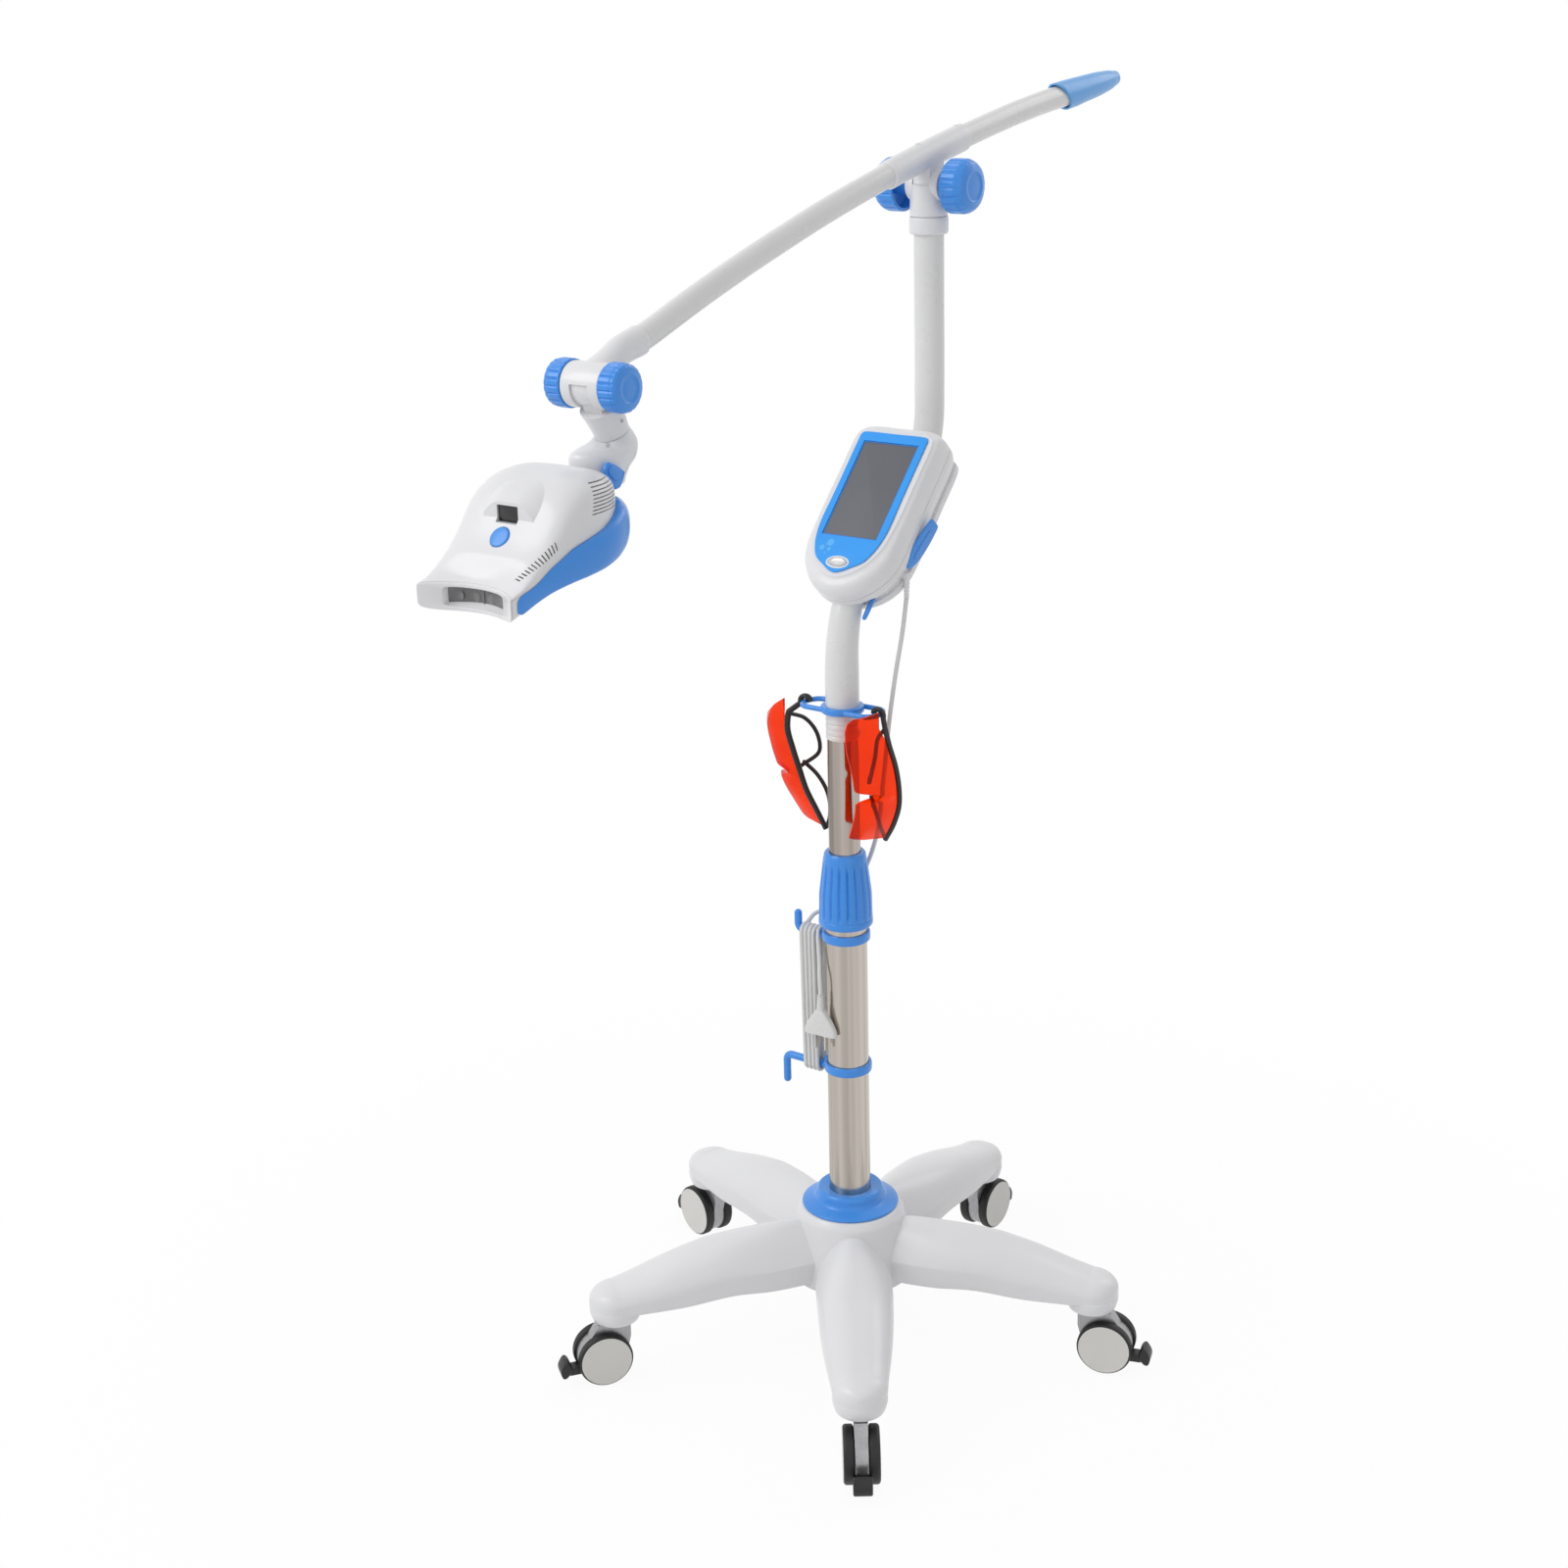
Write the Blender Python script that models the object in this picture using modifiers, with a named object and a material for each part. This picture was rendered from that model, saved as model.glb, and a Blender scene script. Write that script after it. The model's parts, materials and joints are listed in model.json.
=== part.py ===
"""Teeth whitening lamp on a five-star wheeled stand: one object for each sub-part.

Metres, +Z up, floor at z = 0, the lamp head towards -Y. The stand is drawn round the axis of its pole and is
symmetric about the plane x = 0, except for its hooks, cord and goggles. The root empty then centres the lamp
over the origin.
"""
import math

import bmesh
import bpy
import numpy as np
from mathutils import Matrix, Vector

# Fits
GAP = 0.0003            # between faces that touch
RUN = 0.0008            # beside parts that turn

# Base and casters
LEG_COUNT = 5
CASTER_REACH = 0.272    # from the pole's axis to a caster's stem
CASTER_TRAIL = 0.0178
WHEEL_R = 0.0306
WHEEL_WIDTH = 0.0115
WHEEL_STEPS = 20
HOUSING_WIDTH = 0.0145
FENDER_R = 0.0278
STEM_R = 0.0055
AXLE_R = 0.0030
SOCKET_BOTTOM = 0.072
STEM_TOP = 0.0975
LEG_TIP_R = 0.0292
HUB_BOTTOM = 0.080
LEG_BOTTOM = 0.088
HUB_TOP = 0.1620
COLLAR_FLANGE_R = 0.0532
COLLAR_TOP = 0.1824
BRAKE_WIDTH = 0.0200

# Poles
POLE_R = 0.0225
POLE_WALL = 0.0020
POLE_BOTTOM = 0.0985
POLE_TOP = 0.4995
INNER_R = 0.01675
INNER_WALL = 0.0015
INNER_BOTTOM = 0.250
INNER_TOP = 0.7415
BUSH_LENGTH = 0.036
CLAMP_BOTTOM = 0.494
CLAMP_TOP = 0.576
CLAMP_R = 0.0290
CLAMP_TOP_R = 0.0212
CLAMP_FLUTES = 10

# White post
POST_R = 0.0177
POST_TOP_R = 0.01565
POST_WALL = 0.0020
POST_BOTTOM = 0.702
POST_TOP = 1.2165
POST_Y = 0.170          # the post's upper stretch stands this far behind the pole's axis

# Goggle holder
HOLDER_Z = 0.734
LOOP_ROD_R = 0.0028

# Cord hooks
HOOK_RING_R = 0.0260
HOOK_ROD_R = 0.00425
UPPER_HOOK_Z = 0.4814
LOWER_HOOK_Z = 0.3280
UPPER_REACH = 0.0625
UPPER_ROD_Z = 0.4745
UPPER_FINGER = 0.0222
LOWER_REACH = 0.0820
LOWER_ROD_Z = 0.3205
LOWER_FINGER = -0.0340

# Mains cord
CORD_D = 0.0047
WINDING_TURNS = 4
WINDING_PITCH = 0.0052
WINDING_POINTS = 24     # a turn
WINDING_FIRST_X = -0.0540

# Control box: its own axes are x right, y up its face, z out of its face
BOX_CENTRE = (0.0, 0.0575, 0.9516)
BOX_SLOPE = math.radians(45.8)
BOX_WALL = 0.0025
BOX_SPLIT = 0.026       # depth of the seam between the two shells
BOX_DEPTH = 0.061
BEZEL_THICK = 0.0015
LCD_HALF = (0.0332, 0.0575)
BUTTON_HALF = (0.0110, 0.0050)
BUTTON_Y = -0.088

# Top joint
TILT_Z = 1.2475
HEAD_BODY_R = 0.0195
CHEEK_R = 0.0160
FORK_SLOT = 0.0103      # half width of the slot between two cheeks
TONGUE = 0.0100         # half width of the tongue in it
TONGUE_R = 0.0130
BOLT_R = 0.0040
TOP_KNOB_R = 0.0275
TOP_KNOB_BACK = 0.0285
TOP_KNOB_FACE = 0.0548

# Arm
ARM_HALF_HEIGHT = 0.01225
ARM_HALF_WIDTH = 0.0105
ARM_WALL = 0.0015
SADDLE_FRONT = 0.092
SADDLE_BACK = 0.235

# Head joint
JOINT_Y = -0.3725
JOINT_Z = 1.1234
JOINT_R = 0.0203
JOINT_HALF = 0.0213
JOINT_TONGUE_R = 0.0160
HEAD_KNOB_R = 0.02175
HEAD_KNOB_FACE = 0.0415
YOKE_AXIS = (0.0, 0.456, -0.890)
NECK_START = 0.0212
NECK_END = 0.0494
NECK_R = 0.0158

# Elbow and the lamp head's hinge
HINGE_Y = -0.376
HINGE_Z = 1.045
BARREL_R = 0.0150
BARREL_HALF = 0.0145
LUG_R = 0.0110
LUG_THICK = 0.0037
HINGE_PIN_R = 0.0030

# Lamp head
HEAD_WALL = 0.0025
HEAD_POWER = 4.0        # how square the head's cross-sections are
DISPLAY_Y = -0.4905
HEAD_BUTTON_R = 0.0110
FAN_Y = -0.440

WHITE = (0.80, 0.80, 0.81)
BLUE = (0.028, 0.262, 0.830)
BLACK = (0.012, 0.012, 0.013)
STEEL = (0.58, 0.55, 0.52)


def clear_scene():
    for obj in list(bpy.data.objects):
        bpy.data.objects.remove(obj, do_unlink=True)


clear_scene()
PARTS = bpy.data.collections.new("teeth_whitening_lamp")
TOOLS = bpy.data.collections.new("cutters")
bpy.context.scene.collection.children.link(PARTS)
bpy.context.scene.collection.children.link(TOOLS)
ROOT = bpy.data.objects.new("lamp_root", None)
PARTS.objects.link(ROOT)


def material(name, colour, roughness, metallic=0.0, alpha=1.0):
    mat = bpy.data.materials.new(name)
    mat.use_nodes = True
    shader = mat.node_tree.nodes["Principled BSDF"]
    shader.inputs["Base Color"].default_value = (*colour, 1.0)
    shader.inputs["Roughness"].default_value = roughness
    shader.inputs["Metallic"].default_value = metallic
    shader.inputs["Alpha"].default_value = alpha
    return mat


# Mesh helpers

ACROSS = Matrix(((0, 0, 1, 0), (1, 0, 0, 0), (0, 1, 0, 0), (0, 0, 0, 1)))     # from XY and depth to YZ and X


def from_object(obj):
    """The evaluated mesh of an object, in world space; the object is then removed."""
    bpy.context.view_layer.update()
    graph = bpy.context.evaluated_depsgraph_get()
    mesh = bpy.data.meshes.new_from_object(obj.evaluated_get(graph))
    mesh.transform(obj.matrix_world)
    bpy.data.objects.remove(obj, do_unlink=True)
    return mesh


def tidy(mesh, weld=1e-6):
    """Weld doubled corners and point every face outwards."""
    work = bmesh.new()
    work.from_mesh(mesh)
    bmesh.ops.remove_doubles(work, verts=work.verts, dist=weld)
    bmesh.ops.recalc_face_normals(work, faces=work.faces)
    work.to_mesh(mesh)
    work.free()
    return mesh


def box(low, high):
    """A block between two opposite corners."""
    work = bmesh.new()
    bmesh.ops.create_cube(work, size=1.0)
    size = [b - a for a, b in zip(low, high)]
    middle = [(a + b) / 2 for a, b in zip(low, high)]
    bmesh.ops.transform(work, verts=work.verts, matrix=Matrix.Translation(middle) @ Matrix.Diagonal((*size, 1)))
    mesh = bpy.data.meshes.new("box")
    work.to_mesh(mesh)
    work.free()
    return mesh


def along(start, end):
    """The matrix that takes +Z to the direction from start to end, with its origin at start."""
    start, end = Vector(start), Vector(end)
    turn = (end - start).to_track_quat("Z", "Y").to_matrix().to_4x4()
    return Matrix.Translation(start) @ turn


def rod(start, end, radius, end_radius=None, steps=24):
    """A round bar or a cone from start to end."""
    length = (Vector(end) - Vector(start)).length
    work = bmesh.new()
    bmesh.ops.create_cone(work, cap_ends=True, segments=steps, radius1=radius,
                          radius2=radius if end_radius is None else end_radius, depth=length)
    bmesh.ops.transform(work, verts=work.verts, matrix=along(start, end) @ Matrix.Translation((0, 0, length / 2)))
    mesh = bpy.data.meshes.new("rod")
    work.to_mesh(mesh)
    work.free()
    return mesh


def cross_rod(y, z, half, radius, steps=24):
    """A round bar along X, centred on x = 0."""
    return rod((-half, y, z), (half, y, z), radius, steps=steps)


def turned(profile, matrix=Matrix(), steps=32):
    """A profile of (radius, height) turned about Z by a Screw modifier; a profile off the axis is closed."""
    mesh = bpy.data.meshes.new("profile")
    count = len(profile)
    closed = profile[0][0] > 1e-6
    edges = [(i, i + 1) for i in range(count - 1)] + ([(count - 1, 0)] if closed else [])
    mesh.from_pydata([(r, 0, z) for r, z in profile], edges, [])
    obj = bpy.data.objects.new("profile", mesh)
    TOOLS.objects.link(obj)
    screw = obj.modifiers.new("turn", "SCREW")
    screw.steps = steps
    screw.render_steps = steps
    screw.use_merge_vertices = True
    screw.merge_threshold = 1e-6
    result = tidy(from_object(obj))
    result.transform(matrix)
    return result


def strap(low, high, centre, radius, heading, length, half):
    """A flat link from x = low to x = high: a round eye about centre (y, z) that runs on along heading (y, z)."""
    turn = math.atan2(heading[1], heading[0])
    start = math.asin(min(1.0, half / radius))
    arc = np.linspace(start, 2 * math.pi - start, 21)
    local = [(radius * math.cos(a), radius * math.sin(a)) for a in arc] + [(length, -half), (length, half)]
    c, s = math.cos(turn), math.sin(turn)
    outline = [(centre[0] + a * c - b * s, centre[1] + a * s + b * c) for a, b in local]
    mesh = plate(outline, low, high)
    mesh.transform(ACROSS)
    return mesh


def wire(points, radius, radii=None, resolution=2):
    """A tube along points: a bevelled poly curve with filled caps."""
    curve = bpy.data.curves.new("wire", "CURVE")
    curve.dimensions = "3D"
    curve.bevel_depth = radius
    curve.bevel_resolution = resolution
    curve.use_fill_caps = True
    spline = curve.splines.new("POLY")
    spline.points.add(len(points) - 1)
    for i, point in enumerate(points):
        spline.points[i].co = (*point, 1.0)
        spline.points[i].radius = 1.0 if radii is None else radii[i] / radius
    obj = bpy.data.objects.new("wire", curve)
    TOOLS.objects.link(obj)
    return tidy(from_object(obj))


def plate(outline, low, high):
    """A flat outline in XY, filled by a 2D curve and extruded from z = low to z = high."""
    curve = bpy.data.curves.new("outline", "CURVE")
    curve.dimensions = "2D"
    curve.fill_mode = "BOTH"
    curve.extrude = (high - low) / 2
    spline = curve.splines.new("POLY")
    spline.points.add(len(outline) - 1)
    for i, point in enumerate(outline):
        spline.points[i].co = (point[0], point[1], 0.0, 1.0)
    spline.use_cyclic_u = True
    obj = bpy.data.objects.new("outline", curve)
    TOOLS.objects.link(obj)
    mesh = tidy(from_object(obj))
    mesh.transform(Matrix.Translation((0, 0, (high + low) / 2)))
    return mesh


def skin(rings, loop=False):
    """Faces between rings of equal length: capped at both ends, or joined last to first when loop is set."""
    work = bmesh.new()
    rows = [[work.verts.new(point) for point in ring] for ring in rings]
    count = len(rows[0])
    pairs = list(zip(rows, rows[1:])) + ([(rows[-1], rows[0])] if loop else [])
    for low, high in pairs:
        for i in range(count):
            j = (i + 1) % count
            work.faces.new((low[i], low[j], high[j], high[i]))
    if not loop:
        work.faces.new(rows[0][::-1])
        work.faces.new(rows[-1])
    mesh = bpy.data.meshes.new("skin")
    work.to_mesh(mesh)
    work.free()
    return tidy(mesh, 1e-7)


def boolean(operation, mesh, *others):
    """Union or difference of closed meshes with Blender's exact Boolean."""
    target = bpy.data.objects.new("target", mesh)
    TOOLS.objects.link(target)
    cutters = []
    for other in others:
        cutter = bpy.data.objects.new("cutter", other)
        cutter.hide_render = True
        cutter.display_type = "WIRE"
        TOOLS.objects.link(cutter)
        cutters.append(cutter)
        modifier = target.modifiers.new("cut", "BOOLEAN")
        modifier.operation = operation
        modifier.solver = "EXACT"
        modifier.object = cutter
    result = from_object(target)
    for cutter in cutters:
        bpy.data.objects.remove(cutter, do_unlink=True)
    return tidy(result)


def union(mesh, *others):
    return boolean("UNION", mesh, *others)


def cut(mesh, *others):
    return boolean("DIFFERENCE", mesh, *others)


def part(name, mesh, mat, pivot=(0.0, 0.0, 0.0), frame=None):
    """A named sub-part. Its origin is at pivot; with a frame empty, mesh and pivot are in that frame."""
    mesh.name = name
    mesh.transform(Matrix.Translation(-Vector(pivot)))
    mesh.materials.clear()
    mesh.materials.append(mat)
    mesh.shade_smooth()
    mesh.set_sharp_from_angle(angle=math.radians(35))
    obj = bpy.data.objects.new(name, mesh)
    PARTS.objects.link(obj)
    obj.parent = frame or ROOT
    obj.location = pivot
    return obj


def smooth(xs, ys, x):
    """Cubic Hermite curve through (xs, ys), each slope the mean of those beside it."""
    xs, ys, x = np.asarray(xs, float), np.asarray(ys, float), np.asarray(x, float)
    slope = np.gradient(ys, xs)
    i = np.clip(np.searchsorted(xs, x) - 1, 0, len(xs) - 2)
    step = xs[i + 1] - xs[i]
    t = (x - xs[i]) / step
    return ((2 * t**3 - 3 * t**2 + 1) * ys[i] + (t**3 - 2 * t**2 + t) * step * slope[i]
            + (3 * t**2 - 2 * t**3) * ys[i + 1] + (t**3 - t**2) * step * slope[i + 1])


def smooth_path(points, count):
    """count points, evenly spaced along a smooth curve through the given ones."""
    points = np.asarray(points, float)
    chord = np.r_[0, np.cumsum(np.linalg.norm(np.diff(points, axis=0), axis=1))]
    fine = np.linspace(0, chord[-1], 400)
    dense = np.stack([smooth(chord, points[:, k], fine) for k in range(3)], 1)
    run = np.r_[0, np.cumsum(np.linalg.norm(np.diff(dense, axis=0), axis=1))]
    even = np.linspace(0, run[-1], count)
    return np.stack([np.interp(even, run, dense[:, k]) for k in range(3)], 1)


def circle(radius, steps, phase=0.0):
    angle = np.arange(steps) * 2 * math.pi / steps + phase
    return radius * np.cos(angle), radius * np.sin(angle)


def ellipse_ring(front, rear, half_x, steps=20):
    """A ring whose long axis runs from the point front to the point rear (y, z) and whose half width is half_x."""
    front, rear = np.asarray(front), np.asarray(rear)
    c, s = circle(1.0, steps)
    centre, half = (front + rear) / 2, (rear - front) / 2
    return np.stack([half_x * c, centre[0] + half[0] * s, centre[1] + half[1] * s], 1)


# Base and casters

# A leg's stations: distance from the pole's axis, half width, top of its ridge, underside
LEG_STATIONS = (
    (0.040, 0.034, 0.1450, LEG_BOTTOM),
    (0.069, 0.038, 0.1500, LEG_BOTTOM),
    (0.105, 0.0412, 0.1482, 0.0895),
    (0.147, 0.0405, 0.1432, 0.0925),
    (0.204, 0.0370, 0.1318, 0.0880),
    (0.2535, 0.0310, 0.1172, 0.0860),
    (0.272, 0.0290, 0.1125, 0.0855),
    (0.289, 0.0240, 0.1045, 0.0850),
    (0.2995, 0.0140, 0.0945, 0.0845),
)


def leg_ring(reach, half, top, bottom, points=7):
    """Section of a leg: flat below, upright sides that arch over to a soft ridge."""
    angle = np.linspace(0, math.pi, points)
    across = half * np.sign(np.cos(angle)) * np.abs(np.cos(angle)) ** 0.75
    height = bottom + (top - bottom) * (0.42 + 0.58 * np.sin(angle) ** 1.1)
    across = np.r_[half * 0.94, across, -half * 0.94]
    height = np.r_[bottom, height, bottom]
    return np.stack([np.full(len(across), reach), across, height], 1)


def star_base(mat):
    body = turned(((0, HUB_TOP), (0.0545, HUB_TOP), (0.0600, 0.154), (0.0655, 0.122), (0.0690, HUB_BOTTOM),
                   (0, HUB_BOTTOM)), steps=30)
    legs = []
    for i in range(LEG_COUNT):
        leg = skin([leg_ring(*station) for station in LEG_STATIONS])
        socket = turned(((0, 0.0985), (LEG_TIP_R, 0.0985), (LEG_TIP_R, 0.080), (LEG_TIP_R - 0.0035, SOCKET_BOTTOM),
                         (0, SOCKET_BOTTOM)), Matrix.Translation((CASTER_REACH + 0.0035, 0, 0)), steps=16)
        bore = rod((CASTER_REACH, 0, SOCKET_BOTTOM - 0.01), (CASTER_REACH, 0, STEM_TOP + GAP), STEM_R + GAP, steps=12)
        leg = cut(union(leg, socket), bore)
        leg.transform(Matrix.Rotation(math.radians(90 + 360 * i / LEG_COUNT), 4, "Z"))
        legs.append(leg)
    body = union(body, *legs)
    bore = rod((0, 0, POLE_BOTTOM - GAP), (0, 0, HUB_TOP + 0.01), POLE_R + GAP, steps=24)
    part("star_base", cut(body, bore), mat)


def base_collar(mat):
    bore = POLE_R + GAP
    bottom = HUB_TOP + GAP
    part("base_collar", turned((
        (bore, COLLAR_TOP - 0.002), (0.0345, COLLAR_TOP), (0.0372, COLLAR_TOP - 0.004), (0.0376, 0.1730),
        (0.0400, 0.1690), (0.0460, 0.1672), (COLLAR_FLANGE_R, 0.1650), (COLLAR_FLANGE_R, bottom), (bore, bottom)),
        steps=32), mat)


def caster(i, mats):
    """One twin-wheel caster: housing with stem, two wheels on their axle, and brake lever."""
    angle = math.radians(90 + 360 * i / LEG_COUNT)
    frame = bpy.data.objects.new(f"caster_{i + 1}", None)
    PARTS.objects.link(frame)
    frame.parent = ROOT
    frame.location = (CASTER_REACH * math.cos(angle), CASTER_REACH * math.sin(angle), 0)
    frame.rotation_euler = (0, 0, angle)
    half = HOUSING_WIDTH / 2
    axle_z = WHEEL_R * math.cos(math.pi / WHEEL_STEPS)
    pivot = (0.0405, 0.0, 0.0180)

    # Housing: a fender round the axle, a block below the stem, and a notch for the brake lever
    side_on = Matrix.Rotation(math.pi / 2, 4, "X")
    block_back = -0.0135
    angles = np.radians(np.linspace(-190, 58, 15))
    outline = [(CASTER_TRAIL + FENDER_R * math.cos(a), axle_z + FENDER_R * math.sin(a)) for a in angles]
    outline += [(0.0225, 0.0690), (block_back, 0.0690), (block_back, 0.0500)]
    body = plate(outline, -half, half)
    body.transform(side_on)
    stem = rod((0, 0, 0.060), (0, 0, STEM_TOP), STEM_R, steps=12)
    axle_bore = rod((CASTER_TRAIL, -0.02, axle_z), (CASTER_TRAIL, 0.02, axle_z), AXLE_R + GAP, steps=12)
    notch = box((pivot[0] - 0.0045, -0.02, -0.01), (0.06, 0.02, 0.0245))
    part(f"caster_{i + 1}_housing", cut(union(body, stem), axle_bore, notch), mats["grey"], frame=frame)

    # Wheels: tyre, raised disc cover and axle in one turning piece
    inner = half + GAP
    outer = inner + WHEEL_WIDTH
    profile = ((0, outer), (WHEEL_R - 0.0021, outer), (WHEEL_R, outer - 0.0018), (WHEEL_R, inner), (AXLE_R, inner))
    profile += tuple((r, -z) for r, z in profile[::-1])
    turn = Matrix.Translation((CASTER_TRAIL, 0, axle_z)) @ Matrix.Rotation(math.pi / 2, 4, "X")
    level = Matrix.Rotation(math.pi / WHEEL_STEPS, 4, "Z")
    wheels = turned(profile, turn @ level, steps=WHEEL_STEPS)
    part(f"caster_{i + 1}_wheels", wheels, mats["black"], (CASTER_TRAIL, 0, axle_z), frame)

    # Brake lever: a neck in the fender's notch and a wider paddle outside the wheels
    neck = box((pivot[0] - 0.0038, -half + GAP, 0.0132), (0.0570, half - GAP, 0.0226))
    paddle_outline = ((0.0552, 0.0190), (0.0600, 0.0128), (0.0645, 0.0120), (0.0668, 0.0165), (0.0665, 0.0235),
                      (0.0615, 0.0318), (0.0575, 0.0312), (0.0548, 0.0262))
    paddle = plate(paddle_outline, -BRAKE_WIDTH / 2, BRAKE_WIDTH / 2)
    paddle.transform(side_on)
    part(f"caster_{i + 1}_brake", union(paddle, neck), mats["black"], pivot, frame)


# Poles, hooks and collar

def tube(bottom, top, radius, wall, steps=24):
    return turned(((radius, top), (radius, bottom), (radius - wall, bottom), (radius - wall, top)), steps=steps)


def poles(mats):
    part("outer_pole", tube(POLE_BOTTOM, POLE_TOP, POLE_R, POLE_WALL), mats["steel"])
    part("inner_pole", tube(INNER_BOTTOM, INNER_TOP, INNER_R, INNER_WALL), mats["steel"])


def height_collar(mat):
    """Fluted clamp on the outer pole's top, with a bush inside the pole; its flutes start above a plain band."""
    rows = ((CLAMP_BOTTOM, CLAMP_R - 0.0012, 0), (0.4985, CLAMP_R, 0), (0.505, CLAMP_R, 0.0013),
            (0.530, CLAMP_R - 0.0006, 0.0015), (0.560, 0.0245, 0.0012), (CLAMP_TOP - 0.002, CLAMP_TOP_R + 0.001, 0),
            (CLAMP_TOP, CLAMP_TOP_R - 0.0005, 0))
    rings = []
    for z, radius, depth in rows:
        angle = np.arange(CLAMP_FLUTES * 4) * math.pi / (CLAMP_FLUTES * 2)
        dip = radius - depth * (np.arange(CLAMP_FLUTES * 4) % 4 == 0)
        rings.append(np.stack([dip * np.cos(angle), dip * np.sin(angle), np.full(len(angle), z)], 1))
    bore = turned(((0, CLAMP_TOP + 0.01), (INNER_R + GAP, CLAMP_TOP + 0.01), (INNER_R + GAP, POLE_TOP + GAP),
                   (POLE_R + GAP, POLE_TOP + GAP), (POLE_R + GAP, CLAMP_BOTTOM - 0.01), (0, CLAMP_BOTTOM - 0.01)),
                  steps=32)
    bush_r = POLE_R - POLE_WALL - GAP
    bush = tube(POLE_TOP - BUSH_LENGTH, POLE_TOP + 0.003, bush_r, bush_r - INNER_R - 2 * GAP)
    part("height_collar", union(cut(skin(rings), bore), bush), mat)


def hook(z, reach, finger, rod_z):
    """A ring round the pole with a rod towards -X that ends in a finger, up when finger is positive."""
    ring = turned(((HOOK_RING_R - 0.0012, z + 0.0050), (HOOK_RING_R, z + 0.0030), (HOOK_RING_R, z - 0.0030),
                   (HOOK_RING_R - 0.0012, z - 0.0050), (POLE_R + GAP, z - 0.0050), (POLE_R + GAP, z + 0.0050)),
                  steps=24)
    bend = 0.007
    corner = [(-reach + bend * (1 - math.sin(a)), 0, rod_z + math.copysign(bend * (1 - math.cos(a)), finger))
              for a in np.linspace(0, math.pi / 2, 6)]
    path = [(-HOOK_RING_R + 0.0022, 0, rod_z)] + corner + [(-reach, 0, rod_z + finger)]
    gusset = box((-0.0296, -0.0035, rod_z), (-0.0246, 0.0035, z + 0.0030))
    return union(ring, wire(path, HOOK_ROD_R, resolution=2), gusset)


def hooks(mat):
    part("cord_hook_upper", hook(UPPER_HOOK_Z, UPPER_REACH, UPPER_FINGER, UPPER_ROD_Z), mat)
    part("cord_hook_lower", hook(LOWER_HOOK_Z, LOWER_REACH, LOWER_FINGER, LOWER_ROD_Z), mat)


# The post's centre line: (y, z)
POST_LINE = ((0, POST_BOTTOM), (0, 0.735), (0, 0.770), (0.0025, 0.808), (0.0130, 0.842), (0.0430, 0.873),
             (0.0850, 0.9040), (0.1270, 0.9360), (0.1570, 0.9700), (0.1685, 1.0060), (POST_Y, 1.0450),
             (POST_Y, 1.1300), (POST_Y, POST_TOP))


def post_path(count=28):
    return smooth_path([(0, y, z) for y, z in POST_LINE], count)


def post_radius(points):
    """Radius at points: swaged down from POST_R to POST_TOP_R between z 0.77 and z 0.85."""
    return np.interp(points[:, 2], (0.770, 0.850), (POST_R, POST_TOP_R))


def post_tube(mat):
    path = post_path()
    radius = post_radius(path)
    outer = wire(path, POST_R, radius, resolution=6)
    inner_path = np.vstack([path[0] - (0, 0, 0.01), path, path[-1] + (0, 0, 0.01)])
    inner_radius = np.r_[radius[0], radius, radius[-1]] - POST_WALL
    inner = wire(inner_path, POST_R, inner_radius, resolution=3)
    seat = rod((0, 0, POST_BOTTOM - 0.01), (0, 0, INNER_TOP + GAP), INNER_R + GAP, steps=24)
    part("post_tube", cut(outer, inner, seat), mat)


def goggle_holder(mat):
    """A ring on the post and one closed loop of rod at each side, for a pair of goggles each."""
    z, rod_r, half = HOLDER_Z, LOOP_ROD_R, 0.0160
    inner = POST_R + GAP
    body = turned(((inner + 0.0045, z + 0.0035), (inner + 0.0050, z), (inner + 0.0045, z - 0.0035),
                   (inner, z - 0.0035), (inner, z + 0.0035)), steps=24)
    for side in (-1, 1):
        corner = [(side * (0.034 + 0.012 * math.sin(a)), -half * math.cos(a), z)
                  for a in np.linspace(0, math.pi, 9)]
        path = [(side * 0.0120, -half, z)] + corner + [(side * 0.0120, half, z)]
        body = union(body, wire(path, rod_r, resolution=2))
    clearance = rod((0, 0, z - 0.02), (0, 0, z + 0.02), inner, steps=24)
    part("goggle_holder", cut(body, clearance), mat)


# Goggles: each pair hangs by one end, its brow upright

LENS_TOP = 1.13         # how far up its brow the lens reaches


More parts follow.
